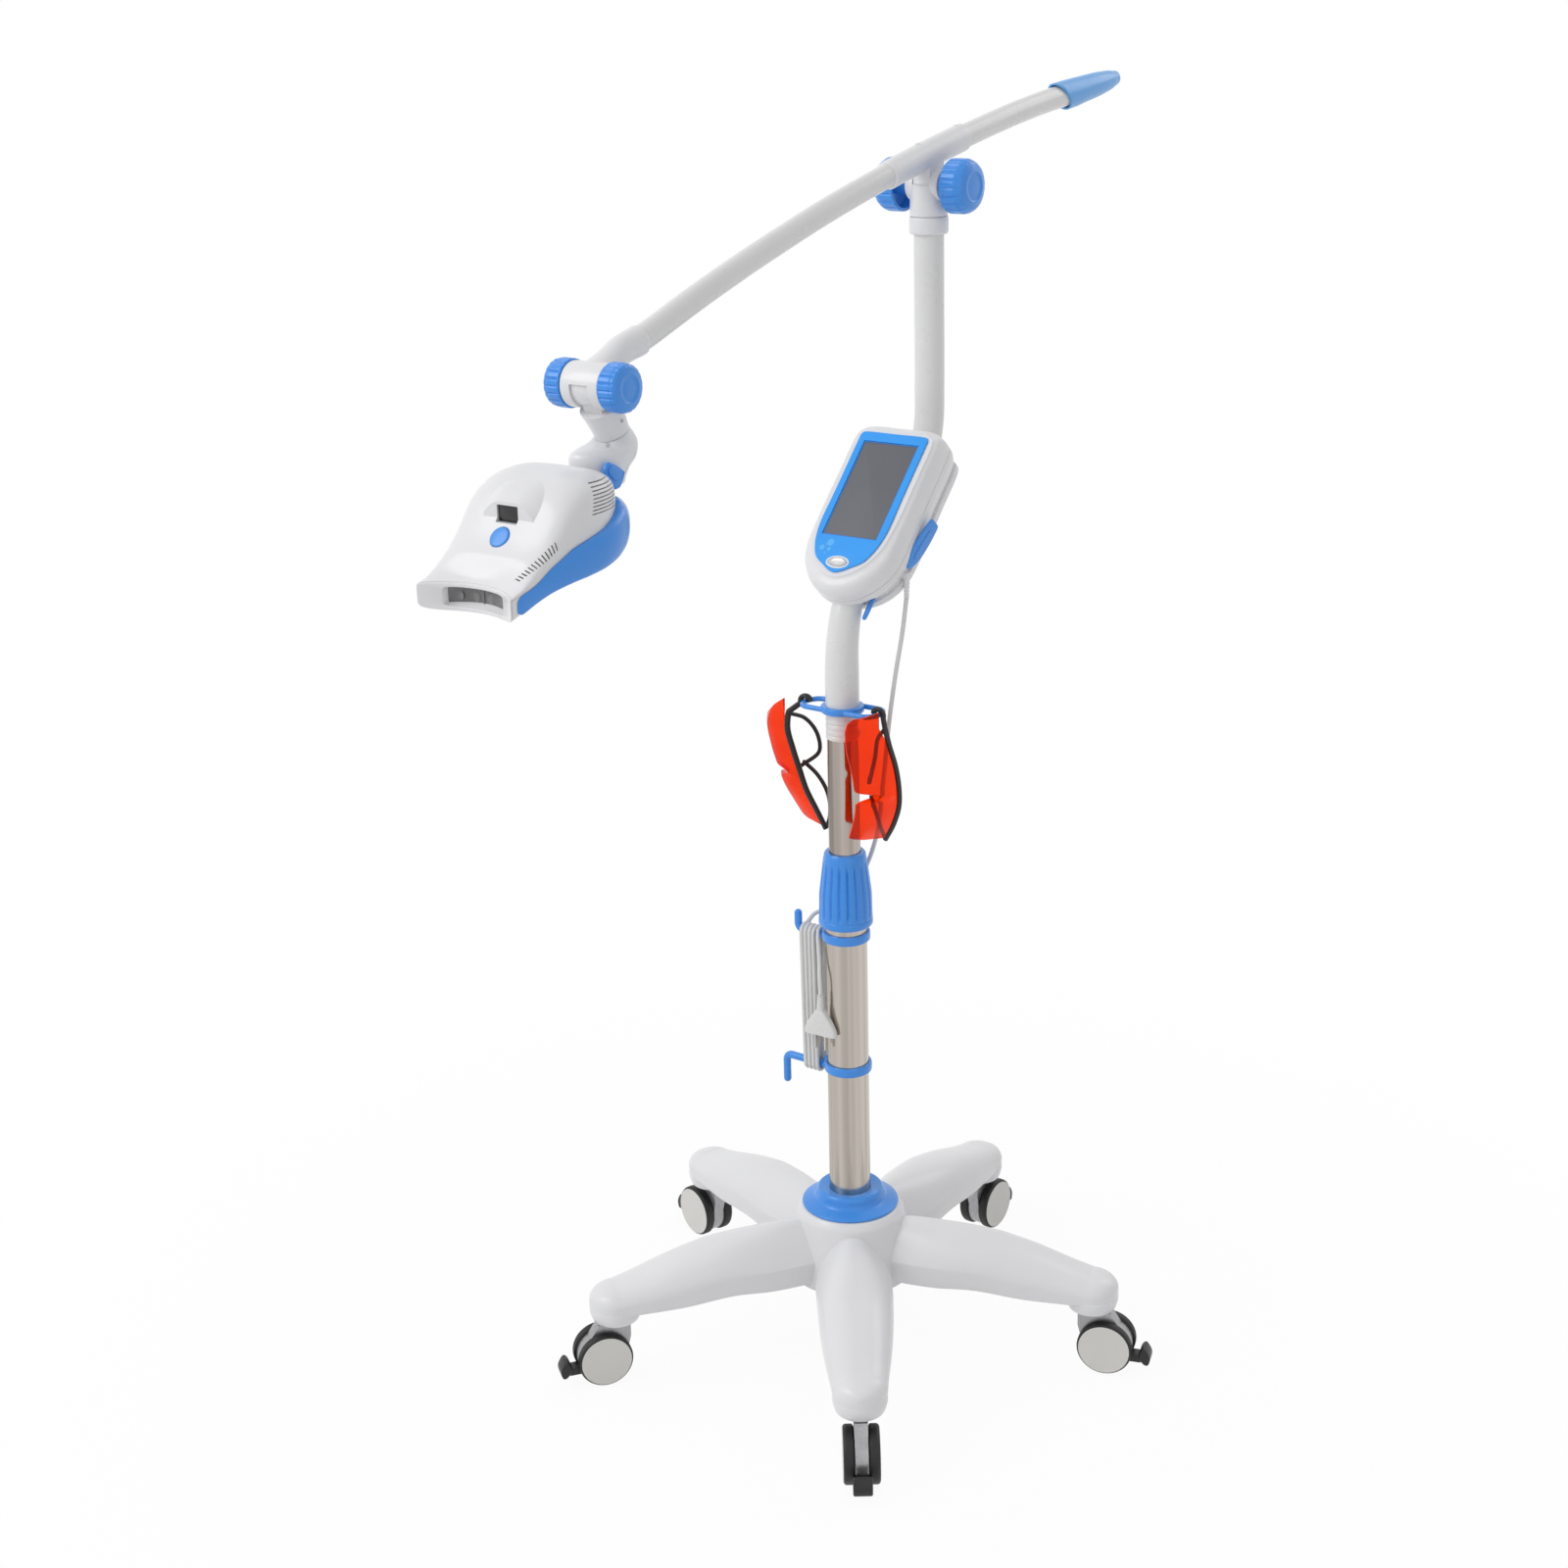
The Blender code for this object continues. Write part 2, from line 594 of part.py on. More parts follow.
class Goggles:
    """Places a point of a pair of goggles: u from 0 to 1 up its brow, v down its lens, f out of its front.

    Above 1, u goes on straight up: there the lens stands higher than its brow, beside the holder.
    """

    def __init__(self, brow, front, down, drop):
        self.path = smooth_path(brow, 61)
        self.length = length_of(self.path)
        self.front, self.down, self.drop = np.array(front), np.array(down), drop

    def at(self, u, v=0.0, f=0.0):
        place = [np.interp(u, np.linspace(0, 1, len(self.path)), self.path[:, k]) for k in range(3)]
        rise = np.array((0, 0, max(0.0, u - 1) * self.length))
        return np.array(place) + rise + self.down * v + self.front * f

    def lens(self):
        """A bent sheet whose height falls off towards its ends, with the nose notch in its lower edge."""
        rows = []
        foot, top = 0.02, LENS_TOP
        for share in np.linspace(0, 1, 13):
            u = foot + (top - foot) * share
            height = self.drop * (1 - 0.40 * abs(2 * share - 1) ** 3)
            height -= 0.014 * max(0.0, 1 - abs(u - 0.475) / 0.08)
            start = 0.0036 + 0.0040 * min(1.0, max(0.0, u - 0.90) / 0.10)
            rows.append([(0.5 + (u - 0.5) * (1 - 0.10 * v / self.drop), v) for v in np.linspace(start, height, 4)])
        front = [[self.at(u, v, 0.0010) for u, v in row] for row in rows]
        back = [[self.at(u, v, -0.0010) for u, v in row[::-1]] for row in rows]
        return skin([a + b for a, b in zip(front, back)])

    def frame(self, hook_points, top, bottom):
        """The brow's bar with its hook, and the two temples, each a line of (u, v, f)."""
        brow = [self.at(u) for u in np.linspace(0.0, 1.0, 13)] + hook_points
        temples = [wire([self.at(*place) for place in line], 0.0022, resolution=1) for line in (top, bottom)]
        return union(wire(brow, 0.0029, resolution=1), *temples)


def over_loop(side, y, turn_from, turn_to):
    """Points of a temple's end that hooks over the outer end of a holder loop."""
    x = side * (0.034 + 0.012 * math.sqrt(1 - (y / 0.016) ** 2))
    reach = LOOP_ROD_R + 0.0029 + GAP + 0.0001
    return [np.array((x + side * reach * math.cos(a), y, HOLDER_Z + reach * math.sin(a)))
            for a in np.radians(np.linspace(turn_from, turn_to, 6))]


def goggles(mats):
    # Directions across (to the right) and towards the front right of the lamp, in plan
    across = np.array((0.808, 0.589, 0.0))
    near = np.array((0.589, -0.808, 0.0))

    def spots(*places):
        return [across * r + near * t + (0, 0, z) for r, t, z in places]

    turn = math.radians(27)
    left = Goggles(spots((-0.0190, -0.0180, 0.5950), (-0.0290, -0.0200, 0.6165), (-0.0389, -0.0215, 0.6380),
                         (-0.0460, -0.0225, 0.6615), (-0.0519, -0.0235, 0.6820), (-0.0575, -0.0250, 0.7080),
                         (-0.0560, -0.0270, 0.7230)),
                   front=-across * math.cos(turn) + near * math.sin(turn),
                   down=-across * math.sin(turn) - near * math.cos(turn), drop=0.044)
    part("goggles_left_frame", left.frame(over_loop(-1, -0.0010, -20, 170),
         ((0.985, 0.0, -0.002), (0.92, 0.003, -0.022), (0.76, 0.005, -0.035), (0.62, 0.009, -0.033),
          (0.50, 0.020, -0.012)),
         ((0.02, 0.0, -0.002), (0.06, 0.004, -0.010), (0.25, 0.008, -0.0240), (0.42, 0.014, -0.0240),
          (0.52, 0.022, -0.0170))), mats["black"])
    part("goggles_left_lens", left.lens(), mats["orange"])

    turn = math.radians(25)
    right = Goggles(spots((0.0415, 0.0350, 0.6010), (0.0500, 0.0470, 0.6230), (0.0550, 0.0540, 0.6450),
                          (0.0548, 0.0560, 0.6650), (0.0520, 0.0530, 0.6850), (0.0455, 0.0440, 0.7080),
                          (0.0420, 0.0345, 0.7230)),
                    front=near * math.cos(turn) + across * math.sin(turn),
                    down=-across * math.cos(turn) + near * math.sin(turn), drop=0.048)
    part("goggles_right_frame", right.frame(over_loop(1, -0.0020, -20, 170),
         ((0.97, 0.001, -0.002), (0.90, 0.004, -0.012), (0.72, 0.012, -0.020), (0.55, 0.024, -0.018)),
         ((0.02, 0.001, -0.002), (0.08, 0.004, -0.008), (0.25, 0.012, -0.020), (0.42, 0.020, -0.024))), mats["black"])
    part("goggles_right_lens", right.lens(), mats["orange"])


# Control box

# Half outlines of the box at three depths, from the middle of its top to the middle of its foot
BOX_FRONT = ((0, 0.0745), (0.030, 0.0745), (0.0415, 0.071), (0.0475, 0.061), (0.0478, 0.020), (0.0475, -0.030),
             (0.0440, -0.063), (0.034, -0.084), (0.018, -0.0985), (0, -0.1045))
BOX_MIDDLE = ((0, 0.083), (0.032, 0.083), (0.046, 0.079), (0.0525, 0.068), (0.0535, 0.020), (0.0545, -0.032),
              (0.0530, -0.072), (0.0420, -0.096), (0.023, -0.1125), (0, -0.1185))
BOX_REAR = ((0, 0.080), (0.031, 0.080), (0.044, 0.076), (0.0500, 0.066), (0.0505, 0.020), (0.0510, -0.030),
            (0.0490, -0.066), (0.039, -0.088), (0.0215, -0.102), (0, -0.107))
BEZEL = ((0, 0.069), (0.0345, 0.069), (0.0405, 0.065), (0.0410, 0.058), (0.0410, -0.058), (0.0320, -0.0795),
         (0.0170, -0.092), (0, -0.0996))
BOX_LEVEL = -0.020      # the outlines shrink towards this height
GLAND_TOP = (0.0507, 0.0459, 0.8710)
GLAND_END = (0.0507, 0.0449, 0.8480)
LOOP_R = 0.0022
LOOP_CENTRE = (0.0255, -0.1105, -0.0455)
LOOP_HALF = (0.0065, 0.0115)
LOOP_LEAN = (0.643, 0.766)


def outline_ring(half, depth, shrink=0.0):
    """A closed ring from a half outline, drawn in by shrink on all sides."""
    half = np.array(half)
    wide = half[:, 0].max()
    tall = (half[:, 1].max() - half[:, 1].min()) / 2
    x = half[:, 0] * (1 - shrink / wide)
    y = BOX_LEVEL + (half[:, 1] - BOX_LEVEL) * (1 - shrink / tall)
    right = np.stack([x, y, np.full(len(x), -depth)], 1)
    left = right[-2:0:-1] * (-1, 1, 1)
    return np.vstack([right, left])


def blend(a, b, share):
    return np.array(a) * (1 - share) + np.array(b) * share


def ellipse_plate(half, centre_y, low, high, steps=24, extra=0.0):
    c, s = circle(1.0, steps)
    return plate(list(zip((half[0] + extra) * c, centre_y + (half[1] + extra) * s)), low, high)


TO_BOX = (Matrix.Translation(BOX_CENTRE) @ Matrix.Rotation(BOX_SLOPE, 4, "X")).inverted()


def control_box(mats):
    frame = bpy.data.objects.new("control_box", None)
    PARTS.objects.link(frame)
    frame.parent = ROOT
    frame.location = BOX_CENTRE
    frame.rotation_euler = (BOX_SLOPE, 0, 0)
    ring_half = (0.0140, 0.0075)
    board_z = 0.0122

    # Front shell: an open-backed cup with a window, a button collar and four board posts
    outer = [outline_ring(BOX_FRONT, 0.0), outline_ring(blend(BOX_FRONT, BOX_MIDDLE, 0.6), 0.004),
             outline_ring(BOX_MIDDLE, 0.014), outline_ring(BOX_MIDDLE, BOX_SPLIT)]
    inner = [outline_ring(BOX_MIDDLE, BOX_SPLIT, BOX_WALL), outline_ring(BOX_MIDDLE, 0.014, BOX_WALL),
             outline_ring(blend(BOX_FRONT, BOX_MIDDLE, 0.4), BOX_WALL, BOX_WALL)]
    shell = skin(outer + inner)
    collar = ellipse_plate(ring_half, BUTTON_Y, -0.001, 0.0022)
    posts = [rod((x, y, -BOX_WALL + 0.0005), (x, y, -board_z), 0.0030, steps=12)
             for x in (-0.039, 0.039) for y in (-0.050, 0.050)]
    window = box((-LCD_HALF[0] - GAP, -LCD_HALF[1] - GAP, -0.006), (LCD_HALF[0] + GAP, LCD_HALF[1] + GAP, 0.01))
    hole = ellipse_plate(BUTTON_HALF, BUTTON_Y, -0.006, 0.01, extra=GAP)
    part("box_front_shell", cut(union(shell, collar, *posts), window, hole), mats["white"], frame=frame)

    # Rear shell: a deeper cup with a groove before its back plate, and a sleeve on the post
    groove, back = 0.003, 0.0
    outer = [outline_ring(BOX_MIDDLE, BOX_SPLIT + GAP), outline_ring(BOX_MIDDLE, 0.033),
             outline_ring(BOX_REAR, 0.045), outline_ring(BOX_REAR, 0.0455, groove),
             outline_ring(BOX_REAR, 0.0510, groove), outline_ring(BOX_REAR, 0.0515, back),
             outline_ring(BOX_REAR, 0.0590, back), outline_ring(BOX_REAR, BOX_DEPTH, 0.003)]
    inner = [outline_ring(BOX_REAR, BOX_DEPTH - BOX_WALL, groove + BOX_WALL),
             outline_ring(BOX_REAR, 0.043, groove + BOX_WALL), outline_ring(BOX_MIDDLE, 0.033, BOX_WALL),
             outline_ring(BOX_MIDDLE, BOX_SPLIT + GAP, BOX_WALL)]
    path = post_path()
    radius = post_radius(path)
    local = [tuple(TO_BOX @ Vector(point)) for point in path]
    inside = [(p, r) for p, r in zip(local, radius) if -0.098 < p[1] < 0.068]
    sleeve = wire([p for p, r in inside], POST_R, [r + 0.0035 for p, r in inside], resolution=4)
    through = [(p, r) for p, r in zip(local, radius) if -0.145 < p[1] < 0.125]
    bore = wire([p for p, r in through], POST_R, [r + 0.0006 for p, r in through], resolution=6)
    # The cord's gland is moulded on the lower right of the rear shell
    boss = rod((0.0430, *GLAND_TOP[1:]), (GLAND_TOP[0] + 0.0036, *GLAND_TOP[1:]), 0.0040, steps=12)
    gland = union(rod(GLAND_TOP, GLAND_END, 0.0035, 0.0027, steps=12), boss)
    gland.transform(TO_BOX)
    shell = union(skin(outer[::-1] + inner[::-1]), sleeve, gland)
    loop_line = [(LOOP_CENTRE[0] + LOOP_HALF[0] * LOOP_LEAN[0] * a, LOOP_CENTRE[1] + LOOP_HALF[1] * b,
                  LOOP_CENTRE[2] + LOOP_HALF[0] * LOOP_LEAN[1] * a) for a, b in zip(*circle(1.0, 20))]
    part("box_rear_shell", cut(shell, bore, ring_wire(loop_line, LOOP_R + GAP)), mats["white"], frame=frame)

    # Bezel, display and button
    half = [(x, y) for x, y in BEZEL]
    outline = half + [(-x, y) for x, y in half[-2:0:-1]]
    bezel = plate(outline, GAP, BEZEL_THICK + GAP)
    opening = box((-LCD_HALF[0] - GAP, -LCD_HALF[1] - GAP, -0.01), (LCD_HALF[0] + GAP, LCD_HALF[1] + GAP, 0.01))
    part("box_bezel", cut(bezel, opening, ellipse_plate(ring_half, BUTTON_Y, -0.01, 0.01, extra=GAP)),
         mats["blue"], frame=frame)
    wall = BOX_WALL + GAP
    lcd = union(box((-LCD_HALF[0], -LCD_HALF[1], -0.0080), (LCD_HALF[0], LCD_HALF[1], 0.0008)),
                box((-LCD_HALF[0] - 0.0025, -LCD_HALF[1] - 0.0020, -0.0080),
                    (LCD_HALF[0] + 0.0025, LCD_HALF[1] + 0.0020, -wall)))
    part("lcd_module", lcd, mats["lcd"], frame=frame)
    button = union(ellipse_plate(BUTTON_HALF, BUTTON_Y, -0.0040, 0.0030),
                   ellipse_plate(BUTTON_HALF, BUTTON_Y, -0.0045, -wall, extra=0.0018))
    part("power_button", button, mats["steel"], (0, BUTTON_Y, 0), frame)
    board = box((-0.0430, -0.0550, -board_z - GAP - 0.0016), (0.0430, 0.0550, -board_z - GAP))
    transformer = box((-0.030, 0.010, -0.0255), (-0.004, 0.045, -board_z - GAP - 0.0010))
    coil = box((0.008, 0.014, -0.0225), (0.030, 0.036, -board_z - GAP - 0.0010))
    part("power_board", union(board, transformer, coil), mats["board"], frame=frame)

    # Grips: a leaf-shaped pad on each side and a hollow loop through the foot's wall
    for side, name in ((-1, "grip_pad_left"), (1, "grip_pad_right")):
        angle = np.linspace(0, 2 * math.pi, 20, endpoint=False)
        leaf = [(-0.0325 + 0.0285 * math.cos(a), -0.0410 + 0.0110 * math.sin(a)) for a in angle]
        pad = plate(leaf, 0.0, 0.0028)
        flare = 0.15
        pad.transform(Matrix(((0, side * flare, side, side * (0.0554 + 0.030 * flare)), (1, 0, 0, 0), (0, 1, 0, 0),
                              (0, 0, 0, 1))))
        part(name, tidy(pad), mats["blue"], frame=frame)
    part("grip_loop", ring_wire(loop_line, LOOP_R), mats["blue"], frame=frame)


def ring_wire(points, radius, sides=8):
    """A closed ring of wire through points, as rings of sides corners joined last to first."""
    points = np.array(points)
    ahead = np.roll(points, -1, 0) - np.roll(points, 1, 0)
    ahead /= np.linalg.norm(ahead, axis=1)[:, None]
    normal = np.cross(points[1] - points[0], points[5] - points[0])
    normal /= np.linalg.norm(normal)
    side = np.cross(ahead, normal)
    c, s = circle(radius, sides)
    rings = [p + np.outer(c, b) + np.outer(s, normal) for p, b in zip(points, side)]
    return skin(rings, loop=True)


# Mains cord

WINDING_RADIUS = HOOK_ROD_R + CORD_D / 2 + 0.0004
WINDING_TOP = UPPER_ROD_Z
WINDING_FOOT = LOWER_ROD_Z
WINDING_LAST_X = WINDING_FIRST_X + WINDING_TURNS * WINDING_PITCH
CORD_ROUTE = (GLAND_END, (0.0475, 0.0425, 0.815), (0.0410, 0.0375, 0.765), (0.0345, 0.0340, 0.710),
              (0.0280, 0.0330, 0.650), (0.0170, 0.0350, 0.585), (-0.0020, 0.0370, 0.540), (-0.0230, 0.0340, 0.508),
              (-0.0410, 0.0260, 0.4935), (-0.0520, 0.0140, 0.4880),
              (WINDING_FIRST_X, 0.0050, WINDING_TOP + WINDING_RADIUS),
              (WINDING_FIRST_X, GAP, WINDING_TOP + WINDING_RADIUS))
PLUG_ACROSS = (1.0, 0.02)                     # the plug's width runs along this direction in plan
PLUG_TOP = (-0.0150, -0.0286, 0.4170)
PLUG_LENGTH = 0.046


def winding_path():
    """Turns round both hook rods: down in front, round the lower rod, up behind and over the upper one."""
    straight = WINDING_TOP - WINDING_FOOT
    lap = 2 * straight + 2 * math.pi * WINDING_RADIUS
    turn = []
    for k in range(WINDING_POINTS):
        # Eight points round each rod and four down each side
        if k < 4:
            angle = math.pi / 2 * k / 4
            turn.append((-math.sin(angle), math.cos(angle), WINDING_TOP))
        elif k < 8:
            turn.append((-1.0, 0.0, WINDING_TOP - straight * (k - 4) / 4))
        elif k < 16:
            angle = math.pi * (k - 8) / 8
            turn.append((-math.cos(angle), -math.sin(angle), WINDING_FOOT))
        elif k < 20:
            turn.append((1.0, 0.0, WINDING_FOOT + straight * (k - 16) / 4))
        else:
            angle = math.pi / 2 * (k - 20) / 4
            turn.append((math.cos(angle), math.sin(angle), WINDING_TOP))
    step = [math.hypot(b[0] - a[0], (b[2] - a[2]) / WINDING_RADIUS + b[1] - a[1])
            for a, b in zip(turn, turn[1:] + turn[:1])]
    share = np.r_[0, np.cumsum(step)] * WINDING_RADIUS / lap
    points = []
    for n in range(WINDING_TURNS):
        for k, (y, z, base) in enumerate(turn):
            x = WINDING_FIRST_X + WINDING_PITCH * (n + min(share[k], 1.0))
            points.append((x, y * WINDING_RADIUS, base + z * WINDING_RADIUS))
    # The last quarter turn leaves the rod forwards and hangs down to the plug
    x = WINDING_LAST_X
    tail = [(x, 0, WINDING_TOP + WINDING_RADIUS), (x + 0.0010, -0.0050, WINDING_TOP + WINDING_RADIUS - 0.0008),
            (x + 0.0035, -0.0100, WINDING_TOP + 0.0025), (x + 0.0075, -0.0150, WINDING_TOP - 0.0080),
            (x + 0.0120, -0.0205, WINDING_TOP - 0.0250), (x + 0.0165, -0.0270, 0.4360),
            (PLUG_TOP[0], PLUG_TOP[1], PLUG_TOP[2] + 0.0050 + GAP), (PLUG_TOP[0], PLUG_TOP[1], PLUG_TOP[2] + GAP)]
    return np.array(points + tail)


def least_gap(points, skip=6):
    """Least distance between the tube's surfaces, leaving out neighbours along it."""
    points = np.asarray(points)
    steps = np.linspace(0, 1, 6, endpoint=False)
    fine = np.vstack([a + (b - a) * t for a, b in zip(points, points[1:]) for t in steps])
    reach = skip * 6
    best = 1.0
    for i in range(len(fine) - reach):
        best = min(best, np.linalg.norm(fine[i + reach:] - fine[i], axis=1).min())
    return best - CORD_D


def length_of(points):
    return float(np.linalg.norm(np.diff(np.asarray(points), axis=0), axis=1).sum())


def mains_cord(mats):
    free = smooth_path(CORD_ROUTE, 44)
    free[0] = np.array(GLAND_END) - (0, 0, GAP)
    part("mains_cord", wire(free, CORD_D / 2, resolution=2), mats["cord"])
    winding = winding_path()
    winding[0] += (0, -GAP, 0)
    part("cord_winding", wire(winding, CORD_D / 2, resolution=1), mats["cord"])
    print("cord_winding least gap to itself mm", round(least_gap(winding) * 1000, 3))
    print("cord length m", round(length_of(free) + length_of(winding), 3))

    # Plug: ribbed relief, flat body that widens downwards, two flat pins
    across = Vector((*PLUG_ACROSS, 0)).normalized()
    normal = across.cross(Vector((0, 0, 1)))
    frame = Matrix.Translation(PLUG_TOP) @ Matrix((
        (across.x, normal.x, 0, 0), (across.y, normal.y, 0, 0), (0, 0, 1, 0), (0, 0, 0, 1)))
    relief = turned(((0, 0), (0.0036, 0), (0.0040, -0.018), (0, -0.018)), steps=12)
    levels = ((-0.017, 0.0050, 0.0042), (-0.022, 0.0080, 0.0046), (-0.031, 0.0145, 0.0048),
              (-0.040, 0.0190, 0.0048), (-PLUG_LENGTH, 0.0195, 0.0045))
    rings = []
    for z, wide, thick in levels:
        angle = np.arange(12) * math.pi / 6
        x = wide * np.sign(np.cos(angle)) * np.abs(np.cos(angle)) ** 0.5
        y = thick * np.sign(np.sin(angle)) * np.abs(np.sin(angle)) ** 0.5
        rings.append(np.stack([x, y, np.full(12, z)], 1))
    pins = [box((x - 0.00075, -0.0031, -PLUG_LENGTH - 0.0165), (x + 0.00075, 0.0031, -PLUG_LENGTH + 0.001))
            for x in (-0.00635, 0.00635)]
    plug = union(skin(rings), relief, *pins)
    plug.transform(frame)
    part("mains_plug", tidy(plug), mats["cord"])


# Top joint and arm

# The arm's centre line: (y, z)
ARM_LINE = ((-0.3400, 1.1445), (-0.3237, 1.1493), (-0.2957, 1.1568), (-0.2671, 1.1661), (-0.2380, 1.1756),
            (-0.2085, 1.1848), (-0.1477, 1.2028), (-0.0847, 1.2201), (-0.0193, 1.2372), (0.0487, 1.2531),
            (0.1700, 1.2785), (0.2702, 1.2965), (0.3302, 1.3062), (0.3923, 1.3148), (0.4786, 1.3240),
            (0.5669, 1.3338))


# Where the arm is sectioned: its sleeves share these stations, so that they bend as it does
ARM_STATIONS = (-0.3360, -0.3080, -0.2500, -0.1800, -0.1000, -0.0200, 0.0400, SADDLE_FRONT, 0.1400, 0.1880,
                SADDLE_BACK, 0.3000, 0.3700, 0.4400, 0.5150)


def arm_point(y):
    """Centre of the arm at y, and the unit vector across it in the plane x = 0."""
    ys, zs = zip(*ARM_LINE)
    z = float(smooth(ys, zs, y))
    slope = float(smooth(ys, zs, y + 0.001) - smooth(ys, zs, y - 0.001)) / 0.002
    across = np.array((0, -slope, 1.0)) / math.hypot(1, slope)
    return np.array((0, y, z)), across


def arm_ring(y, half_width, half_height, lift=0.0, steps=16):
    """An oval ring round the arm, square to it."""
    centre, across = arm_point(y)
    c, s = circle(1.0, steps)
    return centre + np.outer(half_width * c, (1, 0, 0)) + np.outer(half_height * s + lift, across)


def knob(side, face, body_r, cap_r, back, hub_r, hub_start, flutes, pivot, bolt_end=None, steps=2):
    """A clamp knob along X: hub, hollow back, fluted rim and dished cap; with bolt_end also a bolt."""
    y, z = pivot
    count = flutes * steps

    def ring(x, radius, dip=0.0):
        c, s = circle(1.0, count)
        r = radius - dip * (np.arange(count) % steps == 0)
        return np.stack([np.full(count, side * x), y + r * c, z + r * s], 1)

    depth = (face - back) * 0.45
    edge = face - back
    rings = [ring(hub_start, hub_r), ring(back + depth, hub_r), ring(back + depth, body_r - 0.0045),
             ring(back, body_r - 0.0035), ring(back, body_r, 0.0), ring(back + 0.001, body_r, 0.0010),
             ring(back + edge * 0.66, body_r, 0.0010), ring(back + edge * 0.88, (body_r + cap_r) / 2 + 0.0020),
             ring(face, cap_r), ring(face - 0.0006, cap_r - 0.0025)]
    body = skin(rings)
    if bolt_end is None:
        return cut(body, rod((side * (hub_start - 0.01), y, z), (side * (back + depth - 0.002), y, z),
                             BOLT_R + GAP, steps=16))
    return union(body, rod((side * (hub_start + 0.002), y, z), (bolt_end, y, z), BOLT_R, steps=16))


def top_joint(mats):
    pivot = (0, POST_Y, TILT_Z)
    seam = POST_TOP + GAP
    bore = POST_TOP_R + GAP
    stand = Matrix.Translation((0, POST_Y, 0))
    part("post_collar", turned(((0.0200, POST_TOP), (0.0203, 1.2120), (0.0203, 1.2020), (0.0190, 1.1990),
                                (bore, 1.1990), (bore, POST_TOP)), stand, steps=32), mats["white"], (0, POST_Y, 0))

    # Swivel head: spigot in the post, round body, and two cheeks about the tilt axis
    spigot_r = POST_TOP_R - POST_WALL - RUN - GAP
    body = rod((0, POST_Y, seam), (0, POST_Y, TILT_Z), HEAD_BODY_R, steps=32)
    cheeks = cross_rod(POST_Y, TILT_Z, HEAD_BODY_R - 0.0002, CHEEK_R, steps=28)
    spigot = rod((0, POST_Y, seam - 0.030), (0, POST_Y, seam + 0.002), spigot_r, steps=20)
    slot = box((-FORK_SLOT, POST_Y - 0.03, TILT_Z - TONGUE_R - RUN), (FORK_SLOT, POST_Y + 0.03, TILT_Z + 0.03))
    bolt = cross_rod(POST_Y, TILT_Z, 0.05, BOLT_R + GAP, steps=16)
    part("swivel_head", cut(union(body, cheeks, spigot), slot, bolt), mats["white"], (0, POST_Y, 0))

    # Saddle: sleeve on the arm with a tongue down between the cheeks
    wall = 0.0022
    sleeve = skin([arm_ring(y, ARM_HALF_WIDTH + wall, ARM_HALF_HEIGHT + wall) for y in ARM_STATIONS
                   if SADDLE_FRONT <= y <= SADDLE_BACK])
    seat = skin([arm_ring(y, ARM_HALF_WIDTH + GAP, ARM_HALF_HEIGHT + GAP) for y in ARM_STATIONS[5:13]])
    tongue = strap(-TONGUE, TONGUE, (POST_Y, TILT_Z), TONGUE_R, (0, 1), 0.0250, TONGUE_R - 0.001)
    part("arm_saddle", cut(union(sleeve, tongue), seat, bolt_cutter(POST_Y, TILT_Z)), mats["white"], pivot)

    settings = dict(face=TOP_KNOB_FACE, body_r=TOP_KNOB_R, cap_r=0.0170, back=TOP_KNOB_BACK, hub_r=0.0100,
                    hub_start=HEAD_BODY_R + GAP, flutes=16, pivot=(POST_Y, TILT_Z))
    bolt_tip = TOP_KNOB_BACK + 0.004
    part("top_knob_left", knob(-1, bolt_end=bolt_tip, **settings), mats["blue"], pivot)
    part("top_knob_right", knob(1, **settings), mats["blue"], pivot)


def bolt_cutter(y, z):
    return cross_rod(y, z, 0.05, BOLT_R + GAP, steps=16)


